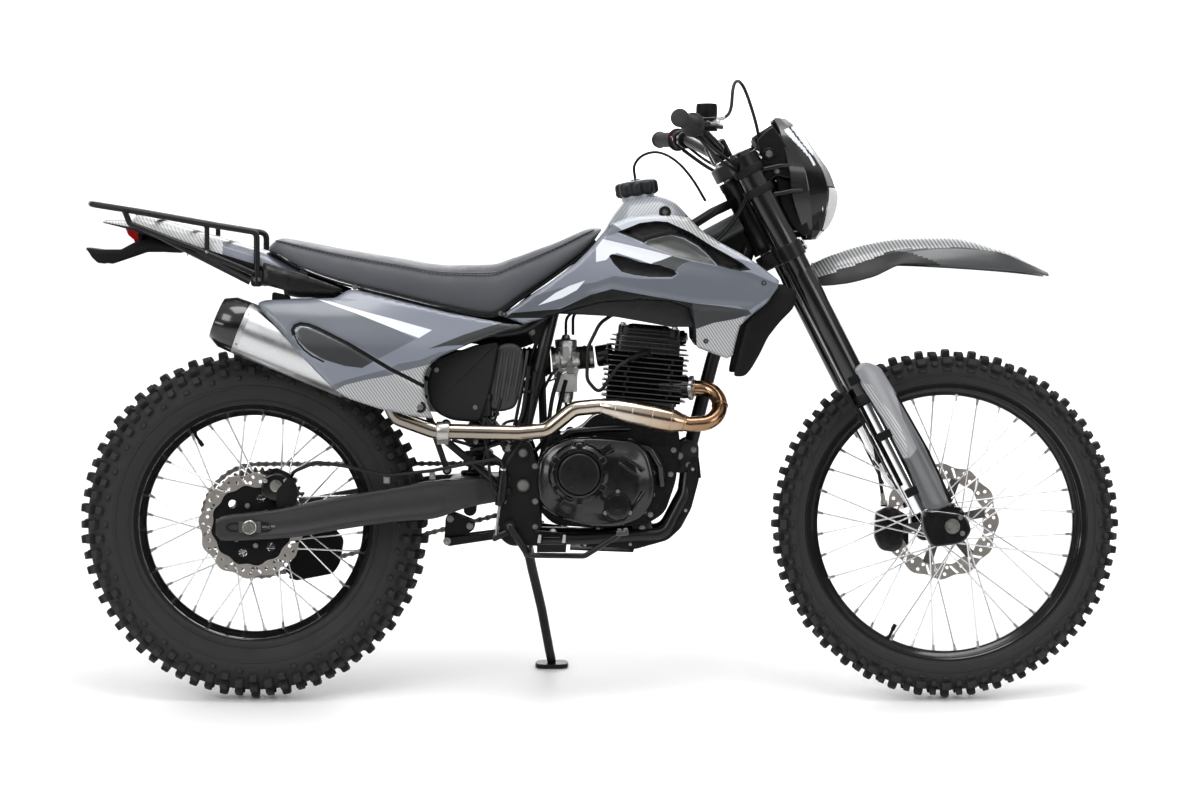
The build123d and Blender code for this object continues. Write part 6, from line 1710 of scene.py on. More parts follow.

# instrument: round dial, bezel, housing (no lettering)
IN_O, IN_X, IN_Z = Vector((328, 0, 1122)), Vector((0, 1, 0)), Vector((-0.55, 0, 0.84)).normalized()
IN_Y = IN_Z.cross(IN_X)
b = bmesh.new()
block(b, IN_O - IN_Z * 1, (104, 50, 22), (IN_X, IN_Y, IN_Z), taper=0.97)
piece("instrument_case", b, "steering", PLASTIC_BLACK, rep="instrument", bevel=6, seg=3)
b = bmesh.new()
for dx, r in ((-22, 23), (27, 19)):
    lathe(b, [(r, 8), (r + 2.2, 8), (r + 2.6, 12), (r, 12.8), (r - 1.8, 12), (r - 2, 9)], IN_O + IN_X * dx, IN_Z, seg=40)
piece("instrument_rims", b, "steering", DARK_STEEL, rep="instrument", angle=30)
b = bmesh.new()
for dx, r in ((-22, 21), (27, 17)):
    lathe(b, [(r, 9.6), (r, 10.4), (0.5, 10.6)], IN_O + IN_X * dx, IN_Z, seg=40, closed=False)
piece("instrument_faces", b, "steering", PANEL_DARK, rep="instrument", angle=30)
b = bmesh.new()
for dx, r, n in ((-22, 21, 18), (27, 17, 12)):
    for k in range(n):
        a = math.radians(-130 + 260 * k / (n - 1))
        d = IN_X * math.sin(a) + IN_Y * math.cos(a)
        p = IN_O + IN_X * dx + d * (r - 4.5) + IN_Z * 10.9
        block(b, p, (0.9, 4.5 if k % 3 == 0 else 2.6, 0.5), (IN_Z.cross(d), d, IN_Z))
piece("instrument_ticks", b, "steering", PANEL_WHITE, rep="instrument", angle=30)
b = bmesh.new()
for dx, r, a in ((-22, 17, -70), (27, 13, 40)):
    d = IN_X * math.sin(math.radians(a)) + IN_Y * math.cos(math.radians(a))
    p = IN_O + IN_X * dx
    sweep(b, [p - d * 4 + IN_Z * 11.4, p + d * r + IN_Z * 11.4], lambda t: 1.1 * (1 - 0.7 * t), seg=6)
piece("instrument_needles", b, "steering", LENS_RED, rep="instrument", angle=30)
b = bmesh.new()
block(b, (306, 0, 1086), (10, 26, 52), (Vector((0.8, 0, -0.6)), Vector((0, 1, 0)), Vector((0.6, 0, 0.8))))
piece("instrument_stay", b, "steering", FRAME_BLACK, rep="instrument", bevel=2)

# ----------------------------------------------------------------- fork
b = bmesh.new()
for s in (-1, 1):
    c = hp(32, s * 102, 0)
    D = -UP
    lathe(b, [(20.7, 521), (24, 523.8), (25, 520), (25, 250), (24.6, 246), (24.6, 236), (25, 232), (25, -18), (24, -21), (20, -23), (8, -23.6), (0.5, -23.8)], c, D, seg=48, closed=False)
piece("fork_tubes", b, "steering", GLOSS_BLACK, rep="fork_outer_tubes", angle=35)
b = bmesh.new()
for s in (-1, 1):
    c = hp(32, s * 102, 0)
    D = -UP
    lathe(b, [(20.6, 506), (24.6, 510), (27.2, 514), (27.4, 523), (25.2, 527), (22.2, 529), (21.0, 533), (20.8, 520)], c, D, seg=40)
piece("fork_dust_seals", b, "steering", RUBBER, rep="fork_outer_tubes", angle=35)
b = bmesh.new()
for s in (-1, 1):
    c = hp(32, s * 102, 0)
    bar(b, c + UP * 23.4, c + UP * 23.9, 12, 11, seg=6)
    bar(b, c + UP * 23.2, c + UP * 23.7, 18.5, 18.5, seg=40)
piece("fork_caps", b, "steering", ZINC, rep="fork_outer_tubes", angle=30)
LUGP = [(631, 376), (661, 380), (706, 374), (722, 366), (730, 340), (716, 320), (700, 314), (651, 308), (634, 340)]
b = bmesh.new()
for s in (-1, 1):
    c = hp(32, s * 102, 0)
    bar(b, c - UP * 524, c - UP * 770, 20.5, 20.5, seg=40)
piece("fork_stanchions", b, "steering", CHROME, rep="fork_lower_legs", angle=40)
b = bmesh.new()
lug = round_outline(LUGP, 12, 4)
for s in (-1, 1):
    merge(b, plate_bm(lug, [ring_pts(FX, AZ, 8.7, 32)], min(s * 83, s * 117), max(s * 83, s * 117), 3.5))
piece("fork_lugs", b, "steering", ENGINE_BLACK, rep="fork_lower_legs", angle=35)
b = bmesh.new()
for s in (-1, 1):
    bar(b, (FX, s * 117.5, AZ), (FX, s * 119, AZ), 15, 15, seg=36)
    bar(b, (FX, s * 118.5, AZ), (FX, s * 125.6, AZ), 12.8, 12.2, seg=6)
    for dx, dz in ((16, 17), (20, -14)):
        hexhead(b, (FX + dx, s * 117, AZ + dz), (0, s, 0), 4.2, 4.0)
piece("front_axle_nuts", b, "steering", ZINC, rep="front_axle", angle=30)
b = bmesh.new()
bar(b, (FX, -121, AZ), (FX, 121, AZ), 8.4, 8.4, seg=36)
for y0, y1 in ((-81.6, -45.3), (64.3, 81.6)):
    bar(b, (FX, y0, AZ), (FX, y1, AZ), 12.8, 12.8, seg=36)
piece("front_axle_bar", b, "steering", ZINC, rep="front_axle", angle=30)

# ----------------------------------------------------------------- bars and controls
BARP = [(138, -390, 1137), (184, -216, 1128), (230, -100, 1094), (236, -40, 1092), (236, 40, 1092), (230, 100, 1094), (184, 216, 1128), (138, 390, 1137)]
b = bmesh.new()
sweep(b, fillet_path(BARP, [60, 60, 40, 40, 60, 60], 5), 11, seg=20)
piece("bar_tube", b, "steering", FRAME_BLACK, rep="handlebar", angle=50)
b = bmesh.new()
for y in (-36, 36):
    block(b, (236, y, 1092), (39, 23, 39), (FWD, Vector((0, 1, 0)), UP))
piece("bar_clamps", b, "steering", ENGINE_BLACK, rep="handlebar", bevel=4, seg=3)
b = bmesh.new()
for y in (-36, 36):
    for f in (-12, 12):
        p = Vector((236, y, 1092)) + FWD * f + UP * 19
        bar(b, p, p + UP * 2.2, 4.6, 4.4, seg=18)
piece("bar_clamp_screws", b, "steering", ZINC, rep="handlebar", angle=30)
# crossbar pad over the clamps
b = bmesh.new()
sweep(b, fillet_path([(233, -70, 1094), (236, -30, 1092.5), (236, 30, 1092.5), (233, 70, 1094)], 20), 13.5, seg=16)
piece("bar_pad", b, "steering", PLASTIC_BLACK, rep="handlebar", angle=50)

GD = Vector((46, 174, -9)).normalized()
g_rub, g_ring = bmesh.new(), bmesh.new()
ctl, lev, bolt, res = bmesh.new(), bmesh.new(), bmesh.new(), bmesh.new()
for s in (-1, 1):
    g = Vector((GD.x, -s * GD.y, GD.z))
    end = Vector((138, s * 390, 1137))

    def waffle(r, h, a):
        if 4 < h < 118:
            return r + (0.55 if (math.sin(h * 0.92) > 0.1) else -0.35) * (0.6 + 0.4 * math.cos(24 * a))
        return r
    prof = [(6.6, -2.6), (14, -2.8), (17.4, -1.6), (17.8, 1.0), (15.2, 3.0)]
    prof += [(15.2, 3.4 + 1.15 * k) for k in range(1, 100)]
    prof += [(15.4, 119), (17, 121), (23.2, 122.2), (23.8, 124.5), (23.2, 127), (12, 127.6)]
    lathe(g_rub, prof, end, g, seg=48, closed=False, ripple=waffle)
    # switch housing in two halves, throttle drum or clutch perch
    lathe(ctl, [(11, 129), (18.4, 129.4), (18.9, 131), (18.9, 142.4), (18.2, 143), (18.2, 144), (18.9, 144.6), (18.9, 155.6), (18.2, 157.4), (11, 157.8)], end, g, seg=36, closed=False)
    up = Vector((0, 0, 1)) - g * g.z
    up.normalize()
    fw = g.cross(up) * (1 if s > 0 else -1)
    if fw.x < 0:
        fw = -fw
    block(ctl, end + g * 143 - up * 6 + fw * 2, (26, 24, 25), (g, fw, up))
    lathe(ctl, [(11, 166.4), (16.4, 166.6), (16.9, 168), (16.9, 180), (16.4, 181.6), (11, 181.8)], end, g, seg=32, closed=False)
    block(ctl, end + g * 174 + fw * 22, (17, 30, 14), (g, fw, up))
    # lever with a ball end
    p = end + g * 172 + fw * 34
    tip = end + g * 0 + fw * 0
    a = end + g * 172 + Vector((34, s * 4, 4)) * 0.95
    c = end + g * 172 + Vector((44, s * 60, -2)) * 0.97
    d = end + g * 172 + Vector((7, s * 194, -4))
    path = fillet_path([a, c, c.lerp(d, 0.55) + Vector((5, 0, 0)), d], [14, 60], 4)
    sweep(lev, path, lambda t: 5.6 - 1.2 * t, seg=14, flat=(1.0, 0.78))
    bmesh.ops.create_uvsphere(lev, u_segments=16, v_segments=10, radius=5.8, matrix=Matrix.Translation(d))
    bar(bolt, a + up * 7, a - up * 7, 5, 5, seg=20)
    hexhead(bolt, a + up * 6.5, up, 4.5, 3)
    for k in (-5, 5):
        hexhead(bolt, end + g * 174 - fw * 16.2 + up * k, -fw, 3.0, 2.0)
    # switch buttons
    block(res, end + g * 137 - fw * 17.6 + up * 5, (7, 3.6, 5), (g, fw, up))
    block(res, end + g * 148 - fw * 17.6 + up * 1, (5, 3.6, 7), (g, fw, up))
piece("grip_rubbers", g_rub, "steering", GRIP, rep="hand_grips", angle=40)
piece("switch_housings", ctl, "steering", PLASTIC_BLACK, rep="hand_controls", bevel=1.6, seg=2, angle=35)
piece("hand_levers", lev, "steering", PLASTIC_SATIN, rep="hand_controls", angle=60)
piece("control_bolts", bolt, "steering", ZINC, rep="hand_controls", angle=30)
piece("switch_buttons", res, "steering", LENS_RED, rep="hand_controls", bevel=0.8)
# brake master cylinder and reservoir on the right
mc = Vector((138, -390, 1137)) + GD * 172
b = bmesh.new()
block(b, (mc.x + 20, mc.y + 16, mc.z + 11), (32, 44, 20))
piece("master_body", b, "steering", ENGINE_BLACK, rep="hand_controls", bevel=4, seg=3)
b = bmesh.new()
lathe(b, [(19.5, 20), (20.4, 22), (20.6, 38), (20.6, 40), (19.6, 46.2), (17, 46.8), (0.4, 46.9)], (mc.x + 18, mc.y + 14, mc.z), (0, 0, 1), seg=40, closed=False)
piece("reservoir", b, "steering", PLASTIC_BLACK, rep="hand_controls", angle=35)
b = bmesh.new()
for k in range(3):
    a = 2 * math.pi * k / 3
    hexhead(b, (mc.x + 18 + 14 * math.cos(a), mc.y + 14 + 14 * math.sin(a), mc.z + 45.4), (0, 0, 1), 2.2, 1.4)
bar(b, (mc.x + 30, mc.y + 26, mc.z + 8), (mc.x + 44, mc.y + 30, mc.z + 10), 6, 6, seg=6)
bar(b, (mc.x + 34, mc.y + 27, mc.z + 9), (mc.x + 40, mc.y + 29, mc.z + 10), 8.5, 8.5, seg=24)
piece("master_fittings", b, "steering", ZINC, rep="hand_controls", angle=30)
# brake hose over the bars, down the left leg, with crimped ends
HOSE_P = [(216, -192, 1146), (250, -176, 1152), (254, -160, 1222), (276, -110, 1226), (302, -80, 1160), (314, -70, 1110), (332, -44, 1052), (350, 6, 990), (376, 58, 940),
          (412, 90, 892), (455, 97, 812), (510, 93, 706), (528, 76, 648), (550, 69, 545), (566, 67, 450), (576, 66, 385)]
b = bmesh.new()
sweep(b, soft_path(HOSE_P), 3.5, seg=12)
piece("brake_line", b, "steering", HOSE, rep="front_brake_hose", angle=60)
b = bmesh.new()
for a, c in ((HOSE_P[0], HOSE_P[1]), (HOSE_P[-1], HOSE_P[-2])):
    a, c = Vector(a), Vector(c)
    d = (c - a).normalized()
    bar(b, a, a + d * 22, 4.8, 4.4, seg=16)
bar(b, (569, 66, 386), (583, 66, 386), 6.5, 6.5, seg=20)
piece("brake_line_ends", b, "steering", ZINC, rep="front_brake_hose", angle=30)
# clamps of the hose on the fork leg guard
b = bmesh.new()
for z in (560, 470):
    x = curve([450, 545, 648], [566, 550, 528], z)
    block(b, (x, 78, z), (13, 26, 11), (FWD, Vector((0, 1, 0)), UP))
piece("hose_guides", b, "steering", PLASTIC_BLACK, rep="front_brake_hose", bevel=2)
# throttle, clutch and switch cables from the bars to the frame behind the head
for i, (s, pts, r) in enumerate((
        (-1, [(182, -228, 1118), (214, -206, 1086), (268, -120, 1058), (296, -60, 1026), (276, -34, 968), (214, -30, 900), (120, -34, 880)], 3.0),
        (-1, [(180, -234, 1112), (222, -196, 1068), (272, -104, 1046), (300, -48, 1012), (268, -44, 952), (206, -40, 888), (112, -40, 868)], 3.0),
        (1, [(184, 226, 1118), (226, 190, 1080), (280, 112, 1052), (304, 52, 1018), (284, 34, 968), (226, 32, 904), (126, 34, 880)], 3.2),
        (1, [(180, 246, 1108), (230, 186, 1066), (276, 98, 1040), (294, 42, 1006), (262, 42, 950), (200, 40, 890), (112, 42, 868)], 4.0))):
    b = bmesh.new()
    sweep(b, soft_path(pts), r, seg=10)
    bmesh.ops.recalc_face_normals(b, faces=b.faces[:])
    b.transform(M_S)
    me = bpy.data.meshes.new("control_cable_%d" % (i + 1))
    b.to_mesh(me)
    b.free()
    me.materials.append(HOSE)
    for p in me.polygons:
        p.use_smooth = True
    ob = bpy.data.objects.new("control_cable_%d" % (i + 1), me)
    bpy.context.scene.collection.objects.link(ob)
    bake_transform(ob)
    MADE.append(ob)

# bolts of the triple clamps and the stem nut
b = bmesh.new()
bar(b, hp(0, 0, -15), hp(0, 0, -22), 16, 15, seg=6)
bar(b, hp(0, 0, -15), hp(0, 0, -17), 20, 20, seg=32)
for s in (-1, 1):
    for sd in (0, 197):
        for k in (-7, 7):
            p = hp(32 + 34, s * 94, sd + k * 0.8)
            d = (FWD * 1.0 + Vector((0, -s * 0.25, 0))).normalized()
            hexhead(b, p - d * 3, d, 4.4, 4.5)
piece("clamp_bolts", b, "steering", ZINC, rep=(), angle=30)
# ----------------------------------------------------------------- engine
def pillow(bm, outline, y0, y1, r, steps=5, extra=()):
    """Cover with a rounded outer edge; y1 is the outer face. extra = [(inset, y), ...] further steps."""
    s = 1 if y1 > y0 else -1
    layers = [(0.0, y0)]
    for k in range(steps + 1):
        a = math.pi / 2 * k / steps
        layers.append((r * (1 - math.cos(a)), y1 - s * r * (1 - math.sin(a))))
    layers += list(extra)
    rings = []
    for d, y in layers:
        pts = inset(outline, d) if d > 0 else outline
        rings.append([bm.verts.new((x, y, z)) for x, z in pts])
    n = len(outline)
    for A, B in zip(rings, rings[1:]):
        for i in range(n):
            bm.faces.new((A[i], A[(i + 1) % n], B[(i + 1) % n], B[i]))
    bm.faces.new(rings[0][::-1])
    bm.faces.new(rings[-1])


CASE = [(-126, 420), (-124, 480), (-104, 524), (-40, 540), (-8, 572), (150, 560), (158, 520), (150, 440), (128, 376), (90, 352), (0, 346), (-90, 352), (-120, 380)]
CLUTCH = [(-118, 392), (-126, 440), (-120, 486), (-98, 512), (-60, 527), (0, 527), (70, 521), (96, 496), (110, 446), (106, 402), (84, 368), (36, 350), (-24, 352), (-80, 368)]
CASE_R, CL_R = round_outline(CASE, 16, 4), round_outline(CLUTCH, 24, 5)
b = bmesh.new()
pillow(b, CASE_R, 0, -72, 3)
pillow(b, CASE_R, 0, 58, 3)
piece("crankcase", b, "frame", ENGINE_BLACK, rep="engine_cases", angle=40)
b = bmesh.new()
for y in (-70.5, -1.0, 56.5):
    lip = inset(CASE_R, -1.0)
    A = [b.verts.new((x, y - 1.6, z)) for x, z in lip]
    B = [b.verts.new((x, y + 1.6, z)) for x, z in lip]
    n = len(A)
    for i in range(n):
        b.faces.new((A[i], A[(i + 1) % n], B[(i + 1) % n], B[i]))
    b.faces.new(A[::-1]); b.faces.new(B)
piece("crankcase_joints", b, "frame", ENGINE_BLACK, rep="engine_cases", angle=30, bevel=0.5)
b = bmesh.new()
pillow(b, inset(CL_R, -1.5), -70, -77, 2)
pillow(b, CL_R, -74, -112, 9, extra=((13, -113.5), (24, -118.5), (30, -122.5), (36, -124.0)))
piece("clutch_cover", b, "frame", ENGINE_BLACK, rep="engine_cases", angle=34)
# round boss, lug ring and cover plate of the clutch
b = bmesh.new()
O = Vector((-41, 0, 456))
AX = Vector((0, -1, 0))
lathe(b, [(62, 108), (61, 119), (57, 125), (52, 128), (50, 129.5), (48.5, 133), (48.5, 137), (47, 139.5), (43, 140), (42, 138.5), (41.5, 134), (0.5, 134)], O, AX, seg=96, closed=False)
piece("clutch_boss", b, "frame", ENGINE_BLACK, rep="engine_cases", angle=34)
b = bmesh.new()
lathe(b, [(40.6, 133), (40.6, 141), (39.4, 142.6), (36, 143.4), (0.5, 143.9)], O, AX, seg=96, closed=False)
piece("clutch_plate", b, "frame", PLASTIC_SATIN, rep="engine_cases", angle=40)
b = bmesh.new()
for k in range(6):
    a = math.radians(30 + 60 * k)
    d = Vector((math.cos(a), 0, math.sin(a)))
    t = Vector((-math.sin(a), 0, math.cos(a)))
    block(b, O + Vector((0, -131, 0)) + d * 53.5, (15, 12, 16), (t, Vector((0, 1, 0)), d))
# cast ribs over the cover
for (x0, z0, x1, z1, w, h) in ((-41, 505, -41, 522, 26, 8), (2, 497, 24, 512, 18, 6), (44, 492, 88, 462, 7, 6), (36, 478, 80, 448, 7, 6), (-92, 492, -78, 478, 14, 6),
                              (10, 402, -2, 420, 12, 6), (-84, 398, -72, 412, 14, 6), (60, 380, 88, 420, 8, 6)):
    a, c = Vector((x0, -119, z0)), Vector((x1, -119, z1))
    d = (c - a).normalized()
    block(b, (a + c) / 2 + Vector((0, -1.5, 0)), ((c - a).length, h * 1.6, w), (d, Vector((0, 1, 0)), Vector((-d.z, 0, d.x))))
piece("clutch_ribs", b, "frame", ENGINE_BLACK, rep="engine_cases", bevel=2.4, seg=2)
# oil filter cover
b = bmesh.new()
OF = Vector((35, 0, 393))
lathe(b, [(31, 108), (30, 119), (27.5, 123), (26.5, 129), (25.2, 131), (22.5, 131.4), (22, 135), (20.5, 137.4), (8, 138), (7, 136.6), (0.5, 136.6)], OF, AX, seg=72, closed=False)
for k in range(3):
    a = math.radians(90 + 120 * k)
    bar(b, (35 + 28 * math.cos(a), -112, 393 + 28 * math.sin(a)), (35 + 28 * math.cos(a), -127, 393 + 28 * math.sin(a)), 6.5, 6, seg=20)
piece("oil_filter_cover", b, "frame", ENGINE_BLACK, rep="engine_cases", angle=34)
# screws all round the covers
b = bmesh.new()
n = len(CLUTCH)
for i in range(n):
    x, z = inset(round_outline(CLUTCH, 10, 1), 5.0)[i * 2 % (2 * n)]
    bar(b, (x, -76, z), (x, -82.6, z), 5.2, 4.8, seg=6)
    bar(b, (x, -76, z), (x, -78.4, z), 7.0, 7.0, seg=18)
for k in range(3):
    a = math.radians(90 + 120 * k)
    hexhead(b, (35 + 28 * math.cos(a), -126.6, 393 + 28 * math.sin(a)), AX, 3.8, 3.6)
for x, z in ((140, 452), (146, 500), (146, 545), (100, 372), (-112, 398), (-114, 470), (-60, 532)):
    hexhead(b, (x, -71.5, z), AX, 4.6, 4.4)
    hexhead(b, (x, 57.5, z), -AX, 4.6, 4.4)
for a in range(0, 360, 60):
    hexhead(b, (52 + 70 * math.cos(math.radians(a)), 106, 436 + 70 * math.sin(math.radians(a))), -AX, 4.6, 4.4)
piece("engine_screws", b, "frame", ZINC, rep="engine_cases", angle=30)
# bosses under the screws
b = bmesh.new()
for i in range(n):
    x, z = inset(round_outline(CLUTCH, 10, 1), 5.0)[i * 2 % (2 * n)]
    bar(b, (x, -70, z), (x, -76.6, z), 9.0, 8.2, seg=20)
for x, z in ((140, 452), (146, 500), (146, 545), (100, 372), (-112, 398), (-114, 470), (-60, 532)):
    bar(b, (x, -60, z), (x, -72, z), 9.5, 8.5, seg=20)
    bar(b, (x, 50, z), (x, 58, z), 9.5, 8.5, seg=20)
piece("engine_bosses", b, "frame", ENGINE_BLACK, rep="engine_cases", angle=34)
# breather and oil gallery bumps above the cover
b = bmesh.new()
sweep(b, fillet_path([(60, -92, 512), (98, -96, 504), (118, -92, 470), (122, -84, 430)], 20), 8, seg=16)
sweep(b, fillet_path([(-100, -78, 500), (-60, -80, 536), (0, -78, 542), (60, -78, 544)], 20), 7, seg=16)
bmesh.ops.create_cone(b, cap_ends=True, segments=32, radius1=17, radius2=15, depth=30, matrix=Matrix.Translation((-96, -50, 528)) @ Matrix.Rotation(math.radians(20), 4, "Y"))
piece("engine_galleries", b, "frame", ENGINE_BLACK, rep="engine_cases", angle=40)

# left side: generator cover, gearbox case, sprocket cover
b = bmesh.new()
LC = round_outline([(-20, 352), (120, 372), (146, 440), (150, 520), (-5, 530), (-30, 480)], 18, 4)
pillow(b, LC, 56, 95, 9)
piece("left_case", b, "frame", ENGINE_BLACK, rep="engine_cases", angle=34)
b = bmesh.new()
G = Vector((52, 0, 436))
lathe(b, [(78, 60), (78, 100), (77, 106), (74, 111), (69, 114.5), (60, 117), (56, 117.5), (54, 120), (52, 124), (49, 125.6), (40, 125.9), (38, 124.6), (12, 124.6), (10, 125.8), (0.5, 125.8)], G, (0, 1, 0), seg=96, closed=False)
piece("generator_cover", b, "frame", ENGINE_BLACK, rep="engine_cases", angle=34)
b = bmesh.new()
for k in range(12):
    a = math.radians(30 * k)
    d = Vector((math.cos(a), 0, math.sin(a)))
    t = Vector((-math.sin(a), 0, math.cos(a)))
    block(b, G + Vector((0, 114, 0)) + d * 66, (3.2, 6, 16), (t, Vector((0, 1, 0)), d))
piece("generator_ribs", b, "frame", ENGINE_BLACK, rep="engine_cases", bevel=1.2)
b = bmesh.new()
pillow(b, round_outline([(-131, 402), (-131, 462), (-110, 482), (-20, 482), (-20, 380), (-110, 384)], 14, 4), 90.2, 99.6, 3)
bar(b, (-85, 56, 430), (-85, 90.5, 430), 10.8, 10.8, seg=24)
piece("sprocket_cover", b, "frame", ENGINE_BLACK, rep="engine_cases", angle=34)
b = bmesh.new()
for x, z in ((-116, 470), (-30, 472), (-30, 392), (-112, 394)):
    hexhead(b, (x, 99.4, z), (0, 1, 0), 4.4, 4.2)
piece("sprocket_cover_screws", b, "frame", ZINC, rep="engine_cases", angle=30)
b = bmesh.new()
bar(b, (0, 0, 350), (0, 0, 338), 9, 9, seg=6)
bar(b, (0, 0, 351), (0, 0, 344), 13, 13, seg=24)
piece("drain_plug", b, "frame", ZINC, rep="engine_cases", angle=30)

# front sprocket with teeth
teeth = 14
outer = []
for i in range(teeth):
    a = 2 * math.pi * i / teeth
    p = 2 * math.pi / teeth
    for da, r in ((-0.50, 25.2), (-0.34, 25.6), (-0.14, 29.6), (0.14, 29.6), (0.34, 25.6)):
        outer.append((-85 + r * math.cos(a + da * p), 430 + r * math.sin(a + da * p)))
b = plate_bm(outer, [ring_pts(-85, 430, 11.2, 24)], 77.4, 82.6, 0.3)
merge(b, plate_bm(ring_pts(-85, 430, 16.5, 32), [ring_pts(-85, 430, 11.2, 24)], 70.5, 87.5, 0.4))
piece("output_sprocket", b, "frame", DARK_STEEL, rep="front_sprocket", angle=30)

# ----------------------------------------------------------------- chain
d_ = math.hypot(-85 + 691, 80.0)
ux, uz = 606 / d_, 80 / d_
kk = (113.8 - 35.7) / d_
qq = math.sqrt(1 - kk * kk)
tn, ln_ = (kk * ux - qq * uz, kk * uz + qq * ux), (kk * ux + qq * uz, kk * uz - qq * ux)
P_A = Vector((-691 + 113.8 * tn[0], 0, 350 + 113.8 * tn[1])); P_B = Vector((-85 + 35.7 * tn[0], 0, 430 + 35.7 * tn[1]))
P_C = Vector((-85 + 35.7 * ln_[0], 0, 430 + 35.7 * ln_[1])); P_E = Vector((-691 + 113.8 * ln_[0], 0, 350 + 113.8 * ln_[1]))
loop = []


def arc_pts(cx, cz, r, a0, a1, n):
    return [Vector((cx + r * math.cos(a0 + (a1 - a0) * i / n), 0, cz + r * math.sin(a0 + (a1 - a0) * i / n))) for i in range(n + 1)]


a_t, a_l = math.atan2(tn[1], tn[0]), math.atan2(ln_[1], ln_[0])
loop += [P_A.lerp(P_B, i / 80) for i in range(81)]
loop += arc_pts(-85, 430, 35.7, a_t, a_l, 24)[1:]
loop += [P_C.lerp(P_E, i / 80) for i in range(1, 81)]
loop += arc_pts(-691, 350, 113.8, a_l, a_t - 2 * math.pi, 60)[1:-1]
cum = [0.0]
for a, c in zip(loop, loop[1:] + loop[:1]):
    cum.append(cum[-1] + (c - a).length)
total = cum[-1]
links = int(round(total / 15.875 / 2)) * 2
pitch = total / links


def chain_at(s):
    s %= total
    lo, hi = 0, len(cum) - 1
    while hi - lo > 1:
        m = (lo + hi) // 2
        if cum[m] <= s:
            lo = m
        else:
            hi = m
    t = (s - cum[lo]) / (cum[lo + 1] - cum[lo])
    return loop[lo].lerp(loop[(lo + 1) % len(loop)], t)


b, bp = bmesh.new(), bmesh.new()
for i in range(links):
    p0, p1 = chain_at(i * pitch), chain_at((i + 1) * pitch)
    d = (p1 - p0).normalized()
    up = Vector((-d.z, 0, d.x))
    w = 4.6 if i % 2 else 5.4
    for s in (-1, 1):
        y = 80 + s * (3.9 if i % 2 else 5.2)
        prof = []
        for k in range(9):
            a = math.pi / 2 + math.pi * k / 8
            prof.append(p0 + d * (w * math.cos(a)) + up * (w * math.sin(a)))
        prof.append((p0 + p1) / 2 - up * (w * 0.62))
        for k in range(9):
            a = -math.pi / 2 + math.pi * k / 8
            prof.append(p1 + d * (w * math.cos(a)) + up * (w * math.sin(a)))
        prof.append((p0 + p1) / 2 + up * (w * 0.62))
        A = [b.verts.new((q.x, y - 0.65, q.z)) for q in prof]
        B = [b.verts.new((q.x, y + 0.65, q.z)) for q in prof]
        m = len(A)
        for j in range(m):
            b.faces.new((A[j], A[(j + 1) % m], B[(j + 1) % m], B[j]))
        b.faces.new(A[::-1]); b.faces.new(B)
    bar(bp, p0 + Vector((0, 75.9, 0)), p0 + Vector((0, 84.1, 0)), 3.4, seg=10)
    bar(bp, p0 + Vector((0, 74.1, 0)), p0 + Vector((0, 85.9, 0)), 1.9, seg=8)
piece("chain_plates", b, "frame", CHAIN_STEEL, rep="drive_chain", angle=30)
piece("chain_pins", bp, "frame", DARK_STEEL, rep="drive_chain", angle=30)

# ----------------------------------------------------------------- cylinder and head
T5 = math.radians(5)
CX, CZ = Vector((math.cos(T5), 0, -math.sin(T5))), Vector((math.sin(T5), 0, math.cos(T5)))
CO = Vector((82, 0, 558))
YV = Vector((0, 1, 0))


def cpt(x, y, z):
    return CO + CX * x + YV * y + CZ * z


def fin(bm, z, lx, ly, t, r=20, notch=0.0):
    base = round_outline([(-lx / 2, -ly / 2), (lx / 2, -ly / 2), (lx / 2, ly / 2), (-lx / 2, ly / 2)], r, 5)
    for zz, tt in ((z, t),):
        A = [bm.verts.new(cpt(x, y, zz - tt / 2)) for x, y in base]
        B = [bm.verts.new(cpt(x * 0.992, y * 0.992, zz + tt / 2)) for x, y in base]
        m = len(A)
        for j in range(m):
            bm.faces.new((A[j], A[(j + 1) % m], B[(j + 1) % m], B[j]))
        bm.faces.new(A[::-1]); bm.faces.new(B)


b = bmesh.new()
base = round_outline([(-60, -57), (60, -57), (60, 57), (-60, 57)], 22, 5)
for z0, z1 in ((2, 36),):
    A = [b.verts.new(cpt(x, y, z0)) for x, y in base]
    B = [b.verts.new(cpt(x, y, z1)) for x, y in base]
    m = len(A)
    for j in range(m):
        b.faces.new((A[j], A[(j + 1) % m], B[(j + 1) % m], B[j]))
    b.faces.new(A[::-1]); b.faces.new(B)
# barrel core seen between the fins, in the painted-shade black
bc = bmesh.new()
base = round_outline([(-74, -60), (74, -60), (74, 60), (-74, 60)], 16, 4)
A = [bc.verts.new(cpt(x, y, 38)) for x, y in base]
B = [bc.verts.new(cpt(x, y, 131)) for x, y in base]
m = len(A)
for j in range(m):
    bc.faces.new((A[j], A[(j + 1) % m], B[(j + 1) % m], B[j]))
bc.faces.new(A[::-1]); bc.faces.new(B)
piece("cylinder_barrel", bc, "frame", FIN_GAP_SHADE, rep="cylinder", angle=35)
for i in range(9):
    z = 44 + 10.2 * i
    fin(b, z, 170 - (5 if i % 3 == 1 else 0), 143, 2.6, 20)
fin(b, 36, 134, 128, 7, 14)
fin(b, 30, 128, 122, 5, 12)
piece("cylinder_fins", b, "frame", FIN_LIT_BLACK, rep="cylinder", bevel=0.7, seg=1, angle=35)
b = bmesh.new()
for x in (-40, 46):
    for s in (-1, 1):
        for i in range(8):
            p = cpt(x + (6 if i % 2 else 0), s * 66, 49.1 + 10.2 * i)
            block(b, p, (6, 6, 7.4), (CX, YV, CZ))
piece("fin_dampers", b, "frame", RUBBER, rep="cylinder", bevel=0.8)
PS = Vector((120, -42, 624)); PD = Vector((96, -16, -2)).normalized()
b = bmesh.new()
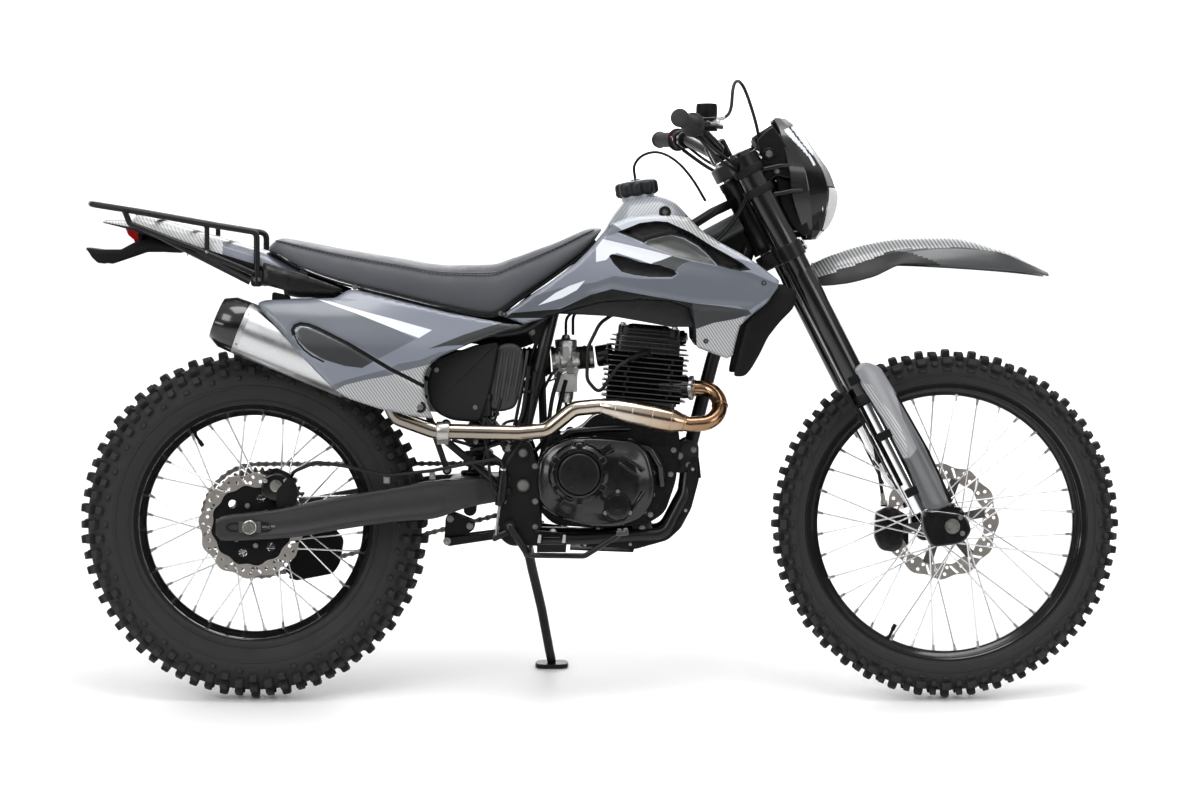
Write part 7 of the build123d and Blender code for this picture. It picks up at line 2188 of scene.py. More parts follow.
bar(b, PS, PS + PD * 57.6, 21.6, 21.6, seg=32)
for s in (-1, 1):
    q = PS + PD * 44
    n1 = PD.cross(Vector((0, 0, 1))).normalized()
    bar(b, q + n1 * s * 24, q + PD * 15 + n1 * s * 24, 6, 5.6, seg=16)
piece("exhaust_port", b, "frame", ENGINE_BLACK, rep="cylinder", angle=35)
b = bmesh.new()
n1 = PD.cross(Vector((0, 0, 1))).normalized()
for s in (-1, 1):
    q = PS + PD * 58 + n1 * s * 25
    bar(b, q, q + PD * 13, 3.2, 3.0, seg=12)
    bar(b, q + PD * 5, q + PD * 10, 5.6, 5.4, seg=6)
piece("port_studs", b, "frame", ZINC, rep="cylinder", angle=30)

b = bmesh.new()
for z0, z1, hx, hy, r in ((132.5, 168, 65, 58, 20), (163, 184, 62, 55, 12)):
    base = round_outline([(-hx, -hy), (hx, -hy), (hx, hy), (-hx, hy)], r, 5)
    A = [b.verts.new(cpt(x, y, z0)) for x, y in base]
    B = [b.verts.new(cpt(x * 0.985, y * 0.985, z1)) for x, y in base]
    m = len(A)
    for j in range(m):
        b.faces.new((A[j], A[(j + 1) % m], B[(j + 1) % m], B[j]))
    b.faces.new(A[::-1]); b.faces.new(B)
for i in range(4):
    fin(b, 136 + 9.6 * i, 167 - 7 * i, 142 - 4 * i, 2.6, 24 + 4 * i)
piece("head_fins", b, "frame", FIN_LIT_BLACK, rep="cylinder_head", bevel=0.8, seg=1, angle=35)
b = bmesh.new()
base = round_outline([(-50, -47), (50, -47), (50, 47), (-50, 47)], 18, 5)
rings = []
for d, z in ((0, 168), (0.6, 176), (2.5, 181.5), (6, 186), (11, 188.8), (18, 190)):
    pts = inset(base, d) if d else base
    rings.append([b.verts.new(cpt(x, y, z)) for x, y in pts])
for A, B in zip(rings, rings[1:]):
    m = len(A)
    for j in range(m):
        b.faces.new((A[j], A[(j + 1) % m], B[(j + 1) % m], B[j]))
b.faces.new(rings[0][::-1]); b.faces.new(rings[-1])
for k in range(5):
    block(b, cpt(0, -44.5, 158 + 6.0 * k), (84, 26, 2.2), (CX, YV, CZ))
for sx in (-1, 1):
    bar(b, cpt(58, sx * 22, 168), cpt(74, sx * 22, 172), 14, 13, seg=24)
piece("rocker_cover", b, "frame", ENGINE_BLACK, rep="cylinder_head", bevel=0.8, seg=1, angle=35)
b = bmesh.new()
for dx in (-52, 52):
    for dy in (-46, 46):
        bar(b, cpt(dx, dy, 150), cpt(dx, dy, 185), 9, 8.2, seg=20)
piece("head_pillars", b, "frame", ENGINE_BLACK, rep="cylinder_head", angle=35)
b = bmesh.new()
for dx in (-52, 52):
    for dy in (-46, 46):
        bar(b, cpt(dx, dy, 184.5), cpt(dx, dy, 190), 5.8, 5.6, seg=6)
        bar(b, cpt(dx, dy, 184.5), cpt(dx, dy, 186.2), 8, 8, seg=20)
for dx in (-30, 30):
    hexhead(b, cpt(dx, -47.4, 181), (0, -1, 0), 3.4, 3.0)
for s in (-1, 1):
    bar(b, cpt(73, s * 22, 172), cpt(78, s * 22, 173), 8, 7.5, seg=6)
piece("head_nuts", b, "frame", ZINC, rep="cylinder_head", angle=30)
# spark plug, its cap and the lead up to the coil
b = bmesh.new()
plug0 = cpt(6, -58, 128)
plugd = (YV * -0.80 + CZ * 0.42 + CX * -0.42).normalized()
bar(b, plug0, plug0 + plugd * 8, 7.5, 7.0, seg=6)
bar(b, plug0 + plugd * 8, plug0 + plugd * 16, 5, 4.6, seg=16)
piece("spark_plug", b, "frame", ZINC, rep="cylinder_head", angle=30)
b = bmesh.new()
capd = (CX * -0.80 + CZ * -0.44 + YV * -0.42).normalized()
pc = plug0 + plugd * 14
sweep(b, [pc - plugd * 3, pc + plugd * 3, pc + plugd * 7 + capd * 6, pc + plugd * 8 + capd * 22, pc + plugd * 8 + capd * 42], lambda t: 7.2 - 1.6 * t, seg=16)
piece("plug_cap", b, "frame", RUBBER, rep="cylinder_head", angle=50)
b = bmesh.new()
lead = [pc + plugd * 8 + capd * 40, pc + plugd * 8 + capd * 66 + CZ * -4, Vector((-2, -92, 612)), Vector((-26, -88, 640)), Vector((-24, -80, 704)), Vector((0, -70, 752)), Vector((40, -40, 778))]
sweep(b, fillet_path(lead, [16, 30, 26, 40, 40], 6), 3.6, seg=12)
piece("plug_lead", b, "frame", HOSE, rep="cylinder_head", angle=60)

# inlet stub, carburettor and boots
b = bmesh.new()
bar(b, (26, -14, 690), (-8, -14, 684.5), 21.5, 21.5, seg=32)
block(b, (16, -14, 689), (8, 66, 44))
piece("inlet_stub", b, "frame", ENGINE_BLACK, rep="cylinder_head", bevel=3, seg=2)
b = bmesh.new()
A_ = Vector((-46, -14, 680.3)); XD = Vector((-44, 0, -4)).normalized()
lathe(b, [(17, -26), (21, -25), (22, -21), (19.5, -18), (19.5, -4), (24, -2), (25.6, 2), (25.6, 9), (22, 12), (22, 32), (25.6, 35), (26, 43), (23, 45), (17, 45)], A_, XD, seg=48, closed=False)
lathe(b, [(20.4, -26), (20.8, 0), (20.8, 8), (19, 12)], (-68, -16, 702), (0, 0, 1), seg=40, closed=False)
piece("carburettor_body", b, "frame", CAST_ALLOY, rep="carburettor", angle=34)
b = bmesh.new()
lathe(b, [(19, 10), (22, 11), (22.6, 13), (22.6, 22), (21, 24), (12, 25), (9, 27), (7, 33), (4, 34), (0.5, 34)], (-68, -16, 702 - 8), (0, 0, 1), seg=48, closed=False, ripple=lambda r, h, a: r * (1 - (0.02 if (r > 20 and math.cos(16 * a) > 0) else 0)))
piece("carburettor_top", b, "frame", CAST_ALLOY, rep="carburettor", angle=34)
b = bmesh.new()
block(b, (-68, -16, 657), (50, 56, 10))
block(b, (-68, -16, 650.5), (47, 53, 3))
block(b, (-68, -16, 632), (44, 50, 36), taper=1.06)
lathe(b, [(16, -1), (15, -14), (12.5, -18), (12.5, -22), (0.5, -22.5)], (-68, -16, 614), (0, 0, 1), seg=32, closed=False)
piece("float_bowl", b, "frame", CAST_ALLOY, rep="carburettor", bevel=2.6, seg=3, angle=34)
b = bmesh.new()
for dx in (-20, 20):
    for dy in (-24, 24):
        hexhead(b, (-68 + dx, -16 + dy, 649), (0, 0, -1), 3.4, 4)
for x, z, r in ((-60, 672, 5), (-82, 664, 4), (-52, 690, 4)):
    bar(b, (x, -40, z), (x, -54, z), r, r, seg=16)
    bar(b, (x, -50, z), (x, -55.5, z), r * 1.35, r * 1.3, seg=6)
bar(b, (-60, -44, 660), (-60, -56, 660), 8.6, 8.2, seg=24)
sweep(b, [(-46, -50, 664), (-72, -53, 652), (-92, -51, 640), (-100, -48, 636)], 1.8, seg=8)
for x0 in (-17, -44.5, -92.5):
    c = Vector((x0, -14, 684 + (x0 + 14) * 0.1))
    lathe(b, [(27.4 if x0 < -90 else 22.8, -3.6), (28.6 if x0 < -90 else 24, -3.6), (28.6 if x0 < -90 else 24, 3.6), (27.4 if x0 < -90 else 22.8, 3.6)], c, XD, seg=48)
    block(b, c + Vector((0, -25 if x0 > -90 else -30, 6)), (7, 8, 11))
piece("carburettor_fittings", b, "frame", ZINC, rep="carburettor", angle=30)
b = bmesh.new()
lathe(b, [(20, -2), (22.6, -1), (22.6, 12), (24, 14), (24, 17), (22.6, 19), (22.6, 30), (20, 31)], (-14, -14, 684), XD, seg=48, closed=False)


def boot(r, h, a):
    return r + 2.0 * math.cos(h * 0.62)


lathe(b, [(27, 0)] + [(29, 4 + 2.2 * k) for k in range(40)] + [(27, 95)], (-99, -14, 675.4), Vector((-92, 0, -6)).normalized(), seg=48, closed=False, ripple=boot)
piece("intake_boots", b, "frame", RUBBER, rep="airbox", angle=50)
b = bmesh.new()
for (x, y, z), (x1, y1, z1), mids, r in (((-68, -16, 727), (10, -10, 800), [(-68, -16, 762), (-30, -14, 792)], 3.0), ((-54, -6, 727), (20, 10, 806), [(-54, -4, 766), (-20, 4, 800)], 3.0),
                                     ((-82, -52, 664), (-110, -56, 560), [(-96, -58, 650), (-112, -58, 620)], 3.2), ((-68, -16, 592), (-60, -60, 560), [(-68, -18, 578), (-64, -40, 566)], 3.0)):
    sweep(b, fillet_path([(x, y, z)] + mids + [(x1, y1, z1)], 24, 6), r, seg=10)
piece("carburettor_cables", b, "frame", HOSE, rep=(), angle=60)

# battery tray and inner mudguard between the seat and the shock
b = bmesh.new()
for y0, y1 in ((-46, 46),):
    prism(b, round_outline([(-300, 716), (-262, 758), (-150, 786), (-96, 792), (-84, 770), (-92, 740), (-118, 716), (-160, 700), (-200, 704)], 12, 3), y0, y1)
piece("battery_tray", b, "frame", PLASTIC_BLACK, rep=(), bevel=3, seg=2, angle=35)
# airbox covers and the ribbed chamber in front of them
AC = [(-329, 676), (-256, 704), (-199, 716), (-214, 630), (-236, 556), (-290, 560), (-318, 572), (-335, 591), (-342, 630)]
b = bmesh.new()
for s in (-1, 1):
    pillow(b, round_outline(AC, 12, 4), s * 58, s * 107.6, 7)
piece("airbox_covers", b, "frame", COVER_BLACK, rep="airbox", angle=34)
b = bmesh.new()
block(b, (-262, 0, 650), (128, 118, 92))
piece("airbox_core", b, "frame", PLASTIC_BLACK, rep="airbox", bevel=6, seg=2)
b = bmesh.new()
RB = [(-205, 706), (-187, 712), (-167, 712), (-152, 700), (-149, 670), (-152, 631), (-168, 584), (-196, 576), (-224, 584), (-221, 621), (-207, 680)]
for s in (-1,):
    pillow(b, round_outline(RB, 10, 3), s * 66, s * 96, 8)
    for k in range(5):
        x = -206 + 12.5 * k
        sweep(b, [(x - 3, s * 95.2, 594 + 3 * k), (x + 6, s * 97.2, 650), (x + 13, s * 95.2, 698)], 3.3, seg=10)
piece("air_chamber", b, "frame", CHAMBER_GREY, rep="airbox", angle=40)
b = bmesh.new()
for s in (-1, 1):
    for x, z in ((-246, 586), (-322, 660)):
        bar(b, (x, s * 106.5, z), (x, s * 109.6, z), 5.2, 4.6, seg=20)
piece("airbox_screws", b, "frame", ZINC, rep="airbox", angle=30)

# ----------------------------------------------------------------- exhaust
PE = PS + PD * 58
MR, MDv = Vector((-752, -128, 763.5)), Vector((0.9252, 0, -0.3795)).normalized()
HA, HB = Vector((200, -55.3, 622.4)), Vector((198, -111.7, 554.4))
BEND = [(HA + HB) / 2 + (HA - HB) / 2 * math.cos(math.pi * k / 22) + Vector((38, -1, 0)) * math.sin(math.pi * k / 22) for k in range(23)]
EX = [(198, -111.7, 554.4), (176, -114, 553), (0, -116, 589), (-52, -117, 584), (-104, -118, 541), (-160, -122, 536), (-325, -126, 540),
      (-400, -127.5, 567), MR + MDv * 348, MR + MDv * 320]
b = bmesh.new()
sweep(b, [PE] + BEND + fillet_path(EX, [10, 60, 40, 40, 60, 60, 22, 22], 5)[1:], 15.3, seg=28)
piece("header_pipe", b, "frame", HEADER, rep="exhaust_header", angle=60)
F0, F1 = Vector((165, -114.1, 555.3)), Vector((2, -116, 588.6))
FD = (F1 - F0).normalized()
FL = (F1 - F0).length
b = bmesh.new()
prof = [(15.2, -4), (16.6, 0), (18.8, 8), (22.2, 18), (24.0, 28), (25.4, 50), (26.0, 72), (25.8, 88), (24.8, 112), (23.0, 134), (20.0, 150), (17.0, FL - 4), (15.2, FL + 2)]
lathe(b, prof, F0, FD, seg=48, closed=False)
piece("header_chamber", b, "frame", HEADER, rep="exhaust_header", angle=60)
b = bmesh.new()


def weld(o, ax, r, n=46):
    ax = ax.normalized()
    ref = Vector((0, 0, 1))
    u = (ref - ax * ref.dot(ax)).normalized()
    w = ax.cross(u)
    ring = []
    for k in range(n * 4):
        a = 2 * math.pi * k / (n * 4)
        rr = r + 0.16 * math.cos(n * a)
        ring.append(o + (u * math.cos(a) + w * math.sin(a)) * rr)
    sweep(b, ring, 1.05, seg=6, closed=True)


for sd, r in ((0, 16.8), (26, 23.9), (64, 26.0), (104, 25.3), (138, 22.5), (FL - 2, 16.8)):
    weld(F0 + FD * sd, FD, r)
weld(Vector(PE) + PD * 12, PD, 15.8)
weld(BEND[11], BEND[12] - BEND[10], 15.6)
piece("header_welds", b, "frame", HEADER, rep="exhaust_header", angle=60)
b = bmesh.new()
bar(b, PE + PD * 0.5, PE + PD * 8, 24.5, 24.5, seg=40)
for s in (-1, 1):
    bar(b, PE + PD * 0.5 + n1 * s * 25, PE + PD * 8 + n1 * s * 25, 8.5, 8.5, seg=24)
piece("port_flange", b, "frame", CAN_CAP, rep="exhaust_header", angle=30, bevel=1)
b = bmesh.new()
c0, c1 = Vector((-296, -125.3, 539.3)), Vector((-322, -125.9, 539.9))
lathe(b, [(15.6, 0), (18.6, 0.5), (19.4, 2), (19.4, 24), (18.6, 25.5), (15.6, 26)], c0, (c1 - c0), seg=40)
block(b, (c0 + c1) / 2 + Vector((0, -6, -20)), (22, 12, 10))
bar(b, (-309, -138, 520), (-309, -120, 520), 3.6, 3.6, seg=12)
piece("pipe_clamp", b, "frame", ZINC, rep="exhaust_header", bevel=0.8)
# muffler: black end cap, alloy can, bands and rivets, front cone
b = bmesh.new()
lathe(b, [(16.5, 30), (16.5, 6), (20, 4), (33, 1.0), (39.8, 0.5), (41.4, 1.0), (42.4, 2.4), (52.4, 23), (53.4, 50), (52.6, 53), (20, 53)], MR, MDv, seg=96, closed=False)
piece("muffler_end_cap", b, "frame", GLOSS_BLACK, rep="muffler", angle=34)
b = bmesh.new()
lathe(b, [(52.8, 52), (53.2, 54), (53.2, 277), (52.8, 284), (40, 284)], MR, MDv, seg=96, closed=False)
piece("muffler_can", b, "frame", CAN, rep="muffler", angle=34)
b = bmesh.new()
for sd in (52, 272):
    lathe(b, [(53.0, sd), (53.5, sd + 0.4), (53.5, sd + 11), (53.0, sd + 11.4)], MR, MDv, seg=96)
lathe(b, [(52.9, 283), (50, 290), (40, 302), (28, 314), (21, 322), (20, 325), (15.4, 326)], MR, MDv, seg=72, closed=False)
piece("muffler_bands", b, "frame", CAN_CAP, rep="muffler", angle=34)
b = bmesh.new()
mu = (Vector((0, 0, 1)) - MDv * MDv.z).normalized()
mw = MDv.cross(mu)
for sd in (58, 277):
    for k in range(10):
        a = 2 * math.pi * (k + 0.5) / 10
        d = mu * math.cos(a) + mw * math.sin(a)
        bmesh.ops.create_uvsphere(b, u_segments=10, v_segments=6, radius=2.3, matrix=Matrix.Translation(MR + MDv * sd + d * 52.6))
piece("muffler_rivets", b, "frame", DARK_STEEL, rep="muffler", angle=60)
b = bmesh.new()
prism(b, round_outline([(-650, 740), (-610, 726), (-610, 806), (-646, 814)], 6, 3), -99.6, -93.4)
piece("muffler_hanger", b, "frame", FRAME_BLACK, rep="muffler", bevel=1)
b = bmesh.new()
lathe(b, [(15, 14), (15.8, 14), (15.8, 3), (15, 3)], MR, MDv, seg=48)
piece("muffler_outlet", b, "frame", DARK_STEEL, rep="muffler", angle=34)
# ----------------------------------------------------------------- frame tubes
YD = Vector((0, 1, 0))


def bead(bm, o, ax, r, w=2.0):
    """Weld bead round a tube."""
    ax = Vector(ax).normalized()
    ref = Vector((0, 0, 1)) if abs(ax.z) < 0.9 else Vector((1, 0, 0))
    u = (ref - ax * ref.dot(ax)).normalized()
    v = ax.cross(u)
    o = Vector(o)
    ring = [o + (u * math.cos(t) + v * math.sin(t)) * (r + 0.3 * math.cos(18 * t)) for t in [2 * math.pi * k / 72 for k in range(72)]]
    sweep(bm, ring, w, seg=6, closed=True)


b = bmesh.new()
sweep(b, fillet_path([(280, 0, 952), (20, 0, 815), (-90, 0, 795)], 120, 8), 20.6, seg=32)
piece("backbone_tube", b, "frame", FRAME_GREY, rep="frame_backbone", angle=50)
b = bmesh.new()
lathe(b, [(17.5, 18), (26.2, 18), (26.4, 20), (26.4, 34), (25, 37), (25, 159), (26.4, 162), (26.4, 176), (26.2, 178), (17.5, 178)], HEAD, -UP, seg=64)
for s in (-1, 1):
    sweep(b, fillet_path([(268, s * 22, 992), (225, s * 40, 972), (150, s * 36, 925), (110, s * 12, 872)], 22, 5), 9.3, seg=20)
piece("head_tube", b, "frame", FRAME_BLACK, rep="frame_backbone", angle=50)
b = bmesh.new()
slab(b, [(306, 896), (290, 935), (190, 884), (250, 872)], -4.8, 4.8, 8)
bar(b, (-90, -70, 790), (-90, 70, 790), 14.6, seg=32)
for s in (-1, 1):
    sweep(b, fillet_path([(-90, s * 60, 790), (-112, s * 76, 700), (-158, s * 91, 510)], 60, 8), 12.7, seg=24)
    slab(b, [(-200, 330), (-200, 470), (-178, 520), (-138, 520), (-122, 470), (-118, 380), (-118, 312), (-180, 312)], s * 92.3, s * 101.7, 12, 4, 1.6)
    bar(b, (-151.6, s * 91, 432), (-151.6, s * 107, 432), 13.8, 12.6, seg=32)
    bar(b, (-176, s * 91, 352), (-176, s * 103.2, 352), 15, 14, seg=28)
    bar(b, (-152, s * 91, 496), (-152, s * 104, 496), 12, 11, seg=28)
    bead(b, (-152, s * 89.6, 514), (-0.24, s * 0.08, -0.97), 12.6, 1.9)
    # gusset under the seat rail joint
    slab(b, [(-104, 772), (-150, 742), (-128, 706), (-108, 716)], s * 72.5, s * 77.5, 6, 2, 0.8)
bead(b, (-90, -60, 790), (0, 1, 0), 14.6, 1.6)
bead(b, (-90, 60, 790), (0, 1, 0), 14.6, 1.6)
piece("frame_uprights", b, "frame", FRAME_BLACK, rep="frame_backbone", angle=40)
b = bmesh.new()
sweep(b, fillet_path([(297, 0, 900), (225, 0, 677), (184, 0, 518), (176, 0, 480)], 120, 8), 13.8, seg=28)
bar(b, (176, -45.5, 478), (176, 45.5, 478), 12.8, seg=28)
for s in (-1, 1):
    sweep(b, fillet_path([(176, s * 44, 478), (168, s * 62, 410), (128, s * 72, 334), (-40, s * 76, 324), (-150, s * 80.3, 326)], 34, 5), 11.8, seg=24)
    # engine hangers
    slab(b, [(196, 512), (196, 468), (160, 452), (138, 462), (140, 500), (172, 522)], s * 58.5, s * 63.5, 8, 3, 0.8)
    slab(b, [(112, 326), (96, 368), (66, 366), (62, 322)], s * 65.5, s * 70, 8, 3, 0.8)
    bead(b, (-138, s * 79.8, 325.6), (-1, s * 0.04, 0.02), 11.8, 1.6)
    bead(b, (174, s * 47, 466), (-0.1, s * 0.25, -0.97), 12, 1.7)
bar(b, (-95, -77, 325), (-95, 77, 325), 8.8, seg=24)
bead(b, (176, 0, 491), (0.07, 0, 1), 14, 2.0)
piece("cradle_tubes", b, "frame", FRAME_BLACK, rep="frame_cradle", angle=45)
b = bmesh.new()
for s in (-1, 1):
    sweep(b, fillet_path([(-84, s * 66, 782), (-150, s * 74, 738), (-230, s * 76, 726), (-400, s * 80, 768), (-520, s * 82, 800), (-674, s * 84, 841.5)], 90, 8), 10.8, seg=24)
    sweep(b, fillet_path([(-440, s * 81, 778), (-300, s * 86, 640), (-182, s * 97, 506)], 60, 8), 8.8, seg=20)
    bar(b, (-182, s * 91, 506), (-182, s * 103, 506), 12, 11.4, seg=24)
    bead(b, (-432, s * 81.3, 770), (0.7, s * 0.02, -0.7), 9.2, 1.4)
for x, z, w in ((-230, 726, 70), (-560, 811, 76), (-668, 840, 80)):
    bar(b, (x, -w, z), (x, w, z), 8.8, seg=24)
piece("seat_rails", b, "frame", FRAME_BLACK, rep="rear_subframe", angle=45)

# bolts through the plates, hangers and stays
b, bn = bmesh.new(), bmesh.new()
for s in (-1, 1):
    d = YD * s
    for x, y, z, r in ((-151.6, 107, 432, 10.5), (-176, 103, 352, 7.0), (-152, 104, 496, 7.5), (-182, 103, 506, 7.0), (-128, 101.6, 470, 5.5), (-128, 101.6, 400, 5.5),
                       (-128, 101.6, 350, 5.0), (-190, 101.6, 400, 5.0), (158, 63.4, 488, 6.5), (186, 63.4, 500, 5.5), (176, 63.4, 470, 5.5), (84, 70, 344, 6.0), (-134, 77.5, 734, 5.5),
                       (-436, 90, 776, 5.5)):
        p = Vector((x, s * y, z))
        bar(bn, p - d * 1, p + d * 1.6, r * 1.25, r * 1.2, seg=24)
        hexhead(b, p + d * 1.2, d, r * 0.78, r * 0.62)
piece("frame_bolts", b, "frame", ZINC, rep="frame_backbone", angle=30)
piece("frame_washers", bn, "frame", DARK_STEEL, rep="frame_backbone", angle=30)

# ----------------------------------------------------------------- swingarm
AO = [(-758, 366), (-746, 372), (-647, 384), (-532, 407), (-394, 431), (-335, 441), (-256, 446), (-200, 449), (-140, 449), (-133, 441), (-133, 421), (-146, 411),
      (-200, 399), (-256, 389), (-335, 365), (-394, 361), (-513, 345), (-612, 329), (-745, 322), (-758, 331)]


def hi_arm(x):
    return curve([-758, -746, -647, -532, -394, -335, -256, -200, -133], [364, 371, 383.5, 406.5, 430.5, 440.5, 445.5, 448.5, 445], x)


def lo_arm(x):
    return curve([-758, -745, -612, -513, -394, -335, -256, -200, -146, -133], [332, 322.5, 329, 345, 361, 365.5, 389, 399, 411, 423], x)


b = bmesh.new()
for s in (-1, 1):
    rings = []
    for i in range(61):
        x = -757 + (757 - 200) * i / 60
        zt, zb = hi_arm(x), lo_arm(x)
        if i == 0:
            zt, zb = zt - 3, zb + 3
        yo = 116.6 if x < -310 else 116.6 + (x + 310) / 78 * -28.4 if x < -232 else 88
        yi = 93.6 if x < -330 else max(62, 93.6 - (x + 330) * 0.9)
        top_cap = 451 if (s > 0 and x > -330) else 999
        zt = min(zt, top_cap)
        h = zt - zb
        # outer face: raised rim top and bottom with a shallow channel between
        fade = smooth01((x + 720) / 60) * smooth01((-262 - x) / 60)
        ch = 2.4 * fade
        r = min(5.0, h * 0.2)
        sec = [(yi + 2, zb), (yo - r, zb), (yo - r * 0.3, zb + r * 0.3), (yo, zb + r), (yo, zb + h * 0.20), (yo - ch, zb + h * 0.27), (yo - ch, zb + h * 0.73),
               (yo, zb + h * 0.80), (yo, zt - r), (yo - r * 0.3, zt - r * 0.3), (yo - r, zt), (yi + 2, zt), (yi, zt - 2), (yi, zb + 2)]
        rings.append([b.verts.new((x, s * y, z)) for y, z in sec])
    m = len(rings[0])
    for A, B in zip(rings, rings[1:]):
        for k in range(m):
            b.faces.new((A[k], A[(k + 1) % m], B[(k + 1) % m], B[k]))
    b.faces.new(rings[0]); b.faces.new(rings[-1][::-1])
piece("arm_beams", b, "frame", ARM_GREY, rep="swingarm", angle=40)
b = bmesh.new()
slab(b, [(-300, 378), (-300, 442), (-280, 445.5), (-200, 448), (-140, 448), (-134, 440), (-134, 422), (-148, 411.5), (-200, 399), (-256, 389)], -87, 59, 5, 2, 2)
slab(b, [(-232, 396), (-232, 445), (-170, 446), (-134, 440), (-134, 422), (-148, 411.5), (-200, 401)], 59, 87, 5, 2, 2)
bar(b, (-151.6, -91, 432), (-151.6, 91, 432), 18.8, seg=40)
for s in (-1, 1):
    bead(b, (-151.6, s * 86, 432), (0, 1, 0), 18.8, 1.6)
    # reinforcing plates at the axle end
    slab(b, [(-756, 334), (-756, 362), (-744, 369), (-660, 378), (-640, 372), (-632, 352), (-644, 333), (-742, 325)], s * 93.0, s * 94.2, 5, 2, 0.4)
piece("arm_cross_piece", b, "frame", ARM_GREY, rep="swingarm", angle=40)
# axle end: slot, sliding block, adjuster screw and nuts
b, bs = bmesh.new(), bmesh.new()
for s in (-1, 1):
    slot = [(-730, 341), (-655, 341), (-646, 350), (-655, 359), (-730, 359), (-739, 350)]
    ring_o, ring_i = round_outline(slot, 7, 3), inset(round_outline(slot, 7, 3), 3.0)
    m = len(ring_o)
    y0, y1 = s * 116.0, s * 117.6
    for k in range(m):
        j = (k + 1) % m
        q = [b.verts.new((ring_o[k][0], y1, ring_o[k][1])), b.verts.new((ring_o[j][0], y1, ring_o[j][1])),
             b.verts.new((ring_i[j][0], y1, ring_i[j][1])), b.verts.new((ring_i[k][0], y1, ring_i[k][1]))]
        b.faces.new(q)
        q2 = [b.verts.new((ring_o[k][0], y0, ring_o[k][1])), b.verts.new((ring_o[j][0], y0, ring_o[j][1])), q[1], q[0]]
        b.faces.new(q2)
    slab(bs, [(-712, 339), (-712, 361), (-668, 361), (-668, 339)], s * 116.2, s * 118.2, 2, 2, 0.5)
    bar(bs, (-666, s * 112.5, 350), (-640, s * 112.5, 351), 3.6, seg=12)
    bar(bs, (-656, s * 112.5, 350), (-650, s * 112.5, 350.3), 6.4, seg=6)
    bar(bs, (-757, s * 105, 350), (-750, s * 105, 350), 7, seg=6)
    slab(bs, [(-757.5, 334), (-757.5, 366), (-752, 366), (-752, 334)], s * 95, s * 115.5, 1, 2, 0.6)
bmesh.ops.remove_doubles(b, verts=b.verts[:], dist=0.01)
piece("axle_slots", b, "frame", FRAME_BLACK, rep="swingarm", angle=35)
piece("chain_adjusters", bs, "frame", DARK_STEEL, rep="swingarm", angle=30)
b = bmesh.new()
for s in (-1, 1):
    d = YD * s
    lathe(b, [(5.2, 108), (13.8, 117.4), (14, 118.6), (12.6, 119.6), (11.6, 120), (11.6, 126.8), (10.8, 128.4), (5.2, 128.4)], (-691, 0, 350), d, seg=48)
    bar(b, Vector((-691, 0, 350)) + d * 119.8, Vector((-691, 0, 350)) + d * 127.6, 13.2, 12.6, seg=6)
    lathe(b, [(5.2, 92.8), (13.9, 92.8), (13.9, 79.2 if s < 0 else 91), (5.2, 79.2 if s < 0 else 91)], (-691, 0, 350), d, seg=40)
bar(b, (-691, -127, 350), (-691, 127, 350), 8.6, seg=32)
piece("rear_axle_shaft", b, "frame", ZINC, rep="rear_axle", angle=30)

# chain guide and slider
CG = [(-640, 330), (-545, 341), (-520, 310), (-528, 262), (-540, 243), (-618, 228), (-638, 252), (-604, 296)]
b = bmesh.new()
for y0, y1 in ((95.2, 98.8), (61.2, 64.8)):
    slab(b, CG, y0, y1, 8, 3, 0.9)
for x, z in ((-625, 252), (-540, 274)):
    bar(b, (x, 64, z - 16), (x, 96, z - 16), 3.9, seg=20)
slab(b, [(-600, 322), (-560, 326), (-560, 345), (-600, 340)], 93.2, 98.8, 3, 2, 0.6)
for y in (95.2 + 3.7, 61.1):
    slab(b, inset(CG, 14), y - 0.25, y + 0.35, 6, 2, 0.1)
piece("chain_guide_plates", b, "frame", PLASTIC_BLACK, rep="chain_guide", angle=35)
b = bmesh.new()
for x, z in ((-590, 314), (-548, 320), (-626, 240), (-540, 262)):
    hexhead(b, (x, 98.4, z), YD, 3.6, 2.6)
piece("chain_guide_screws", b, "frame", ZINC, rep="chain_guide", angle=30)

# ----------------------------------------------------------------- linkage and shock
b = bmesh.new()
TRI = [(-312, 306), (-296, 308), (-250, 340), (-252, 356), (-292, 372), (-308, 366)]
for s in (-1, 1):
    slab(b, TRI, s * 16.3, s * 23.7, 7, 3, 1.2)
bar(b, (-305, -26, 316), (-305, 26, 316), 7, seg=24)
bar(b, (-299, -26, 360), (-299, 26, 360), 7, seg=24)
bar(b, (-260, -26, 346), (-260, 26, 346), 7, seg=24)
piece("linkage_rocker", b, "frame", FRAME_BLACK, rep="suspension_linkage", angle=35)
b = bmesh.new()
for s in (-1, 1):
    slab(b, [(-308, 310), (-302, 306), (-196, 322), (-196, 334), (-204, 336), (-300, 324)], s * 28.3, s * 35.7, 4, 3, 1.4)
bar(b, (-200, -35.5, 328), (-200, 35.5, 328), 6, seg=24)
piece("linkage_rods", b, "frame", FRAME_BLACK, rep="suspension_linkage", angle=35)
b = bmesh.new()
for s in (-1, 1):
    for x, y, z, r in ((-305, 35.6, 316, 6), (-200, 35.6, 328, 6), (-299, 26, 360, 6), (-260, 26, 346, 6)):
        hexhead(b, (x, s * y, z), YD * s, r * 0.95, 4.0 if y < 30 else 0.9)
        if y > 30:
            bar(b, (x, s * y, z), (x, s * (y + 0.8), z), r * 1.3, seg=20)
piece("linkage_bolts", b, "frame", ZINC, rep="suspension_linkage", angle=30)
SL, ST = Vector((-262, 0, 372)), Vector((-212, 0, 688))
SD = (ST - SL).normalized()
b = bmesh.new()
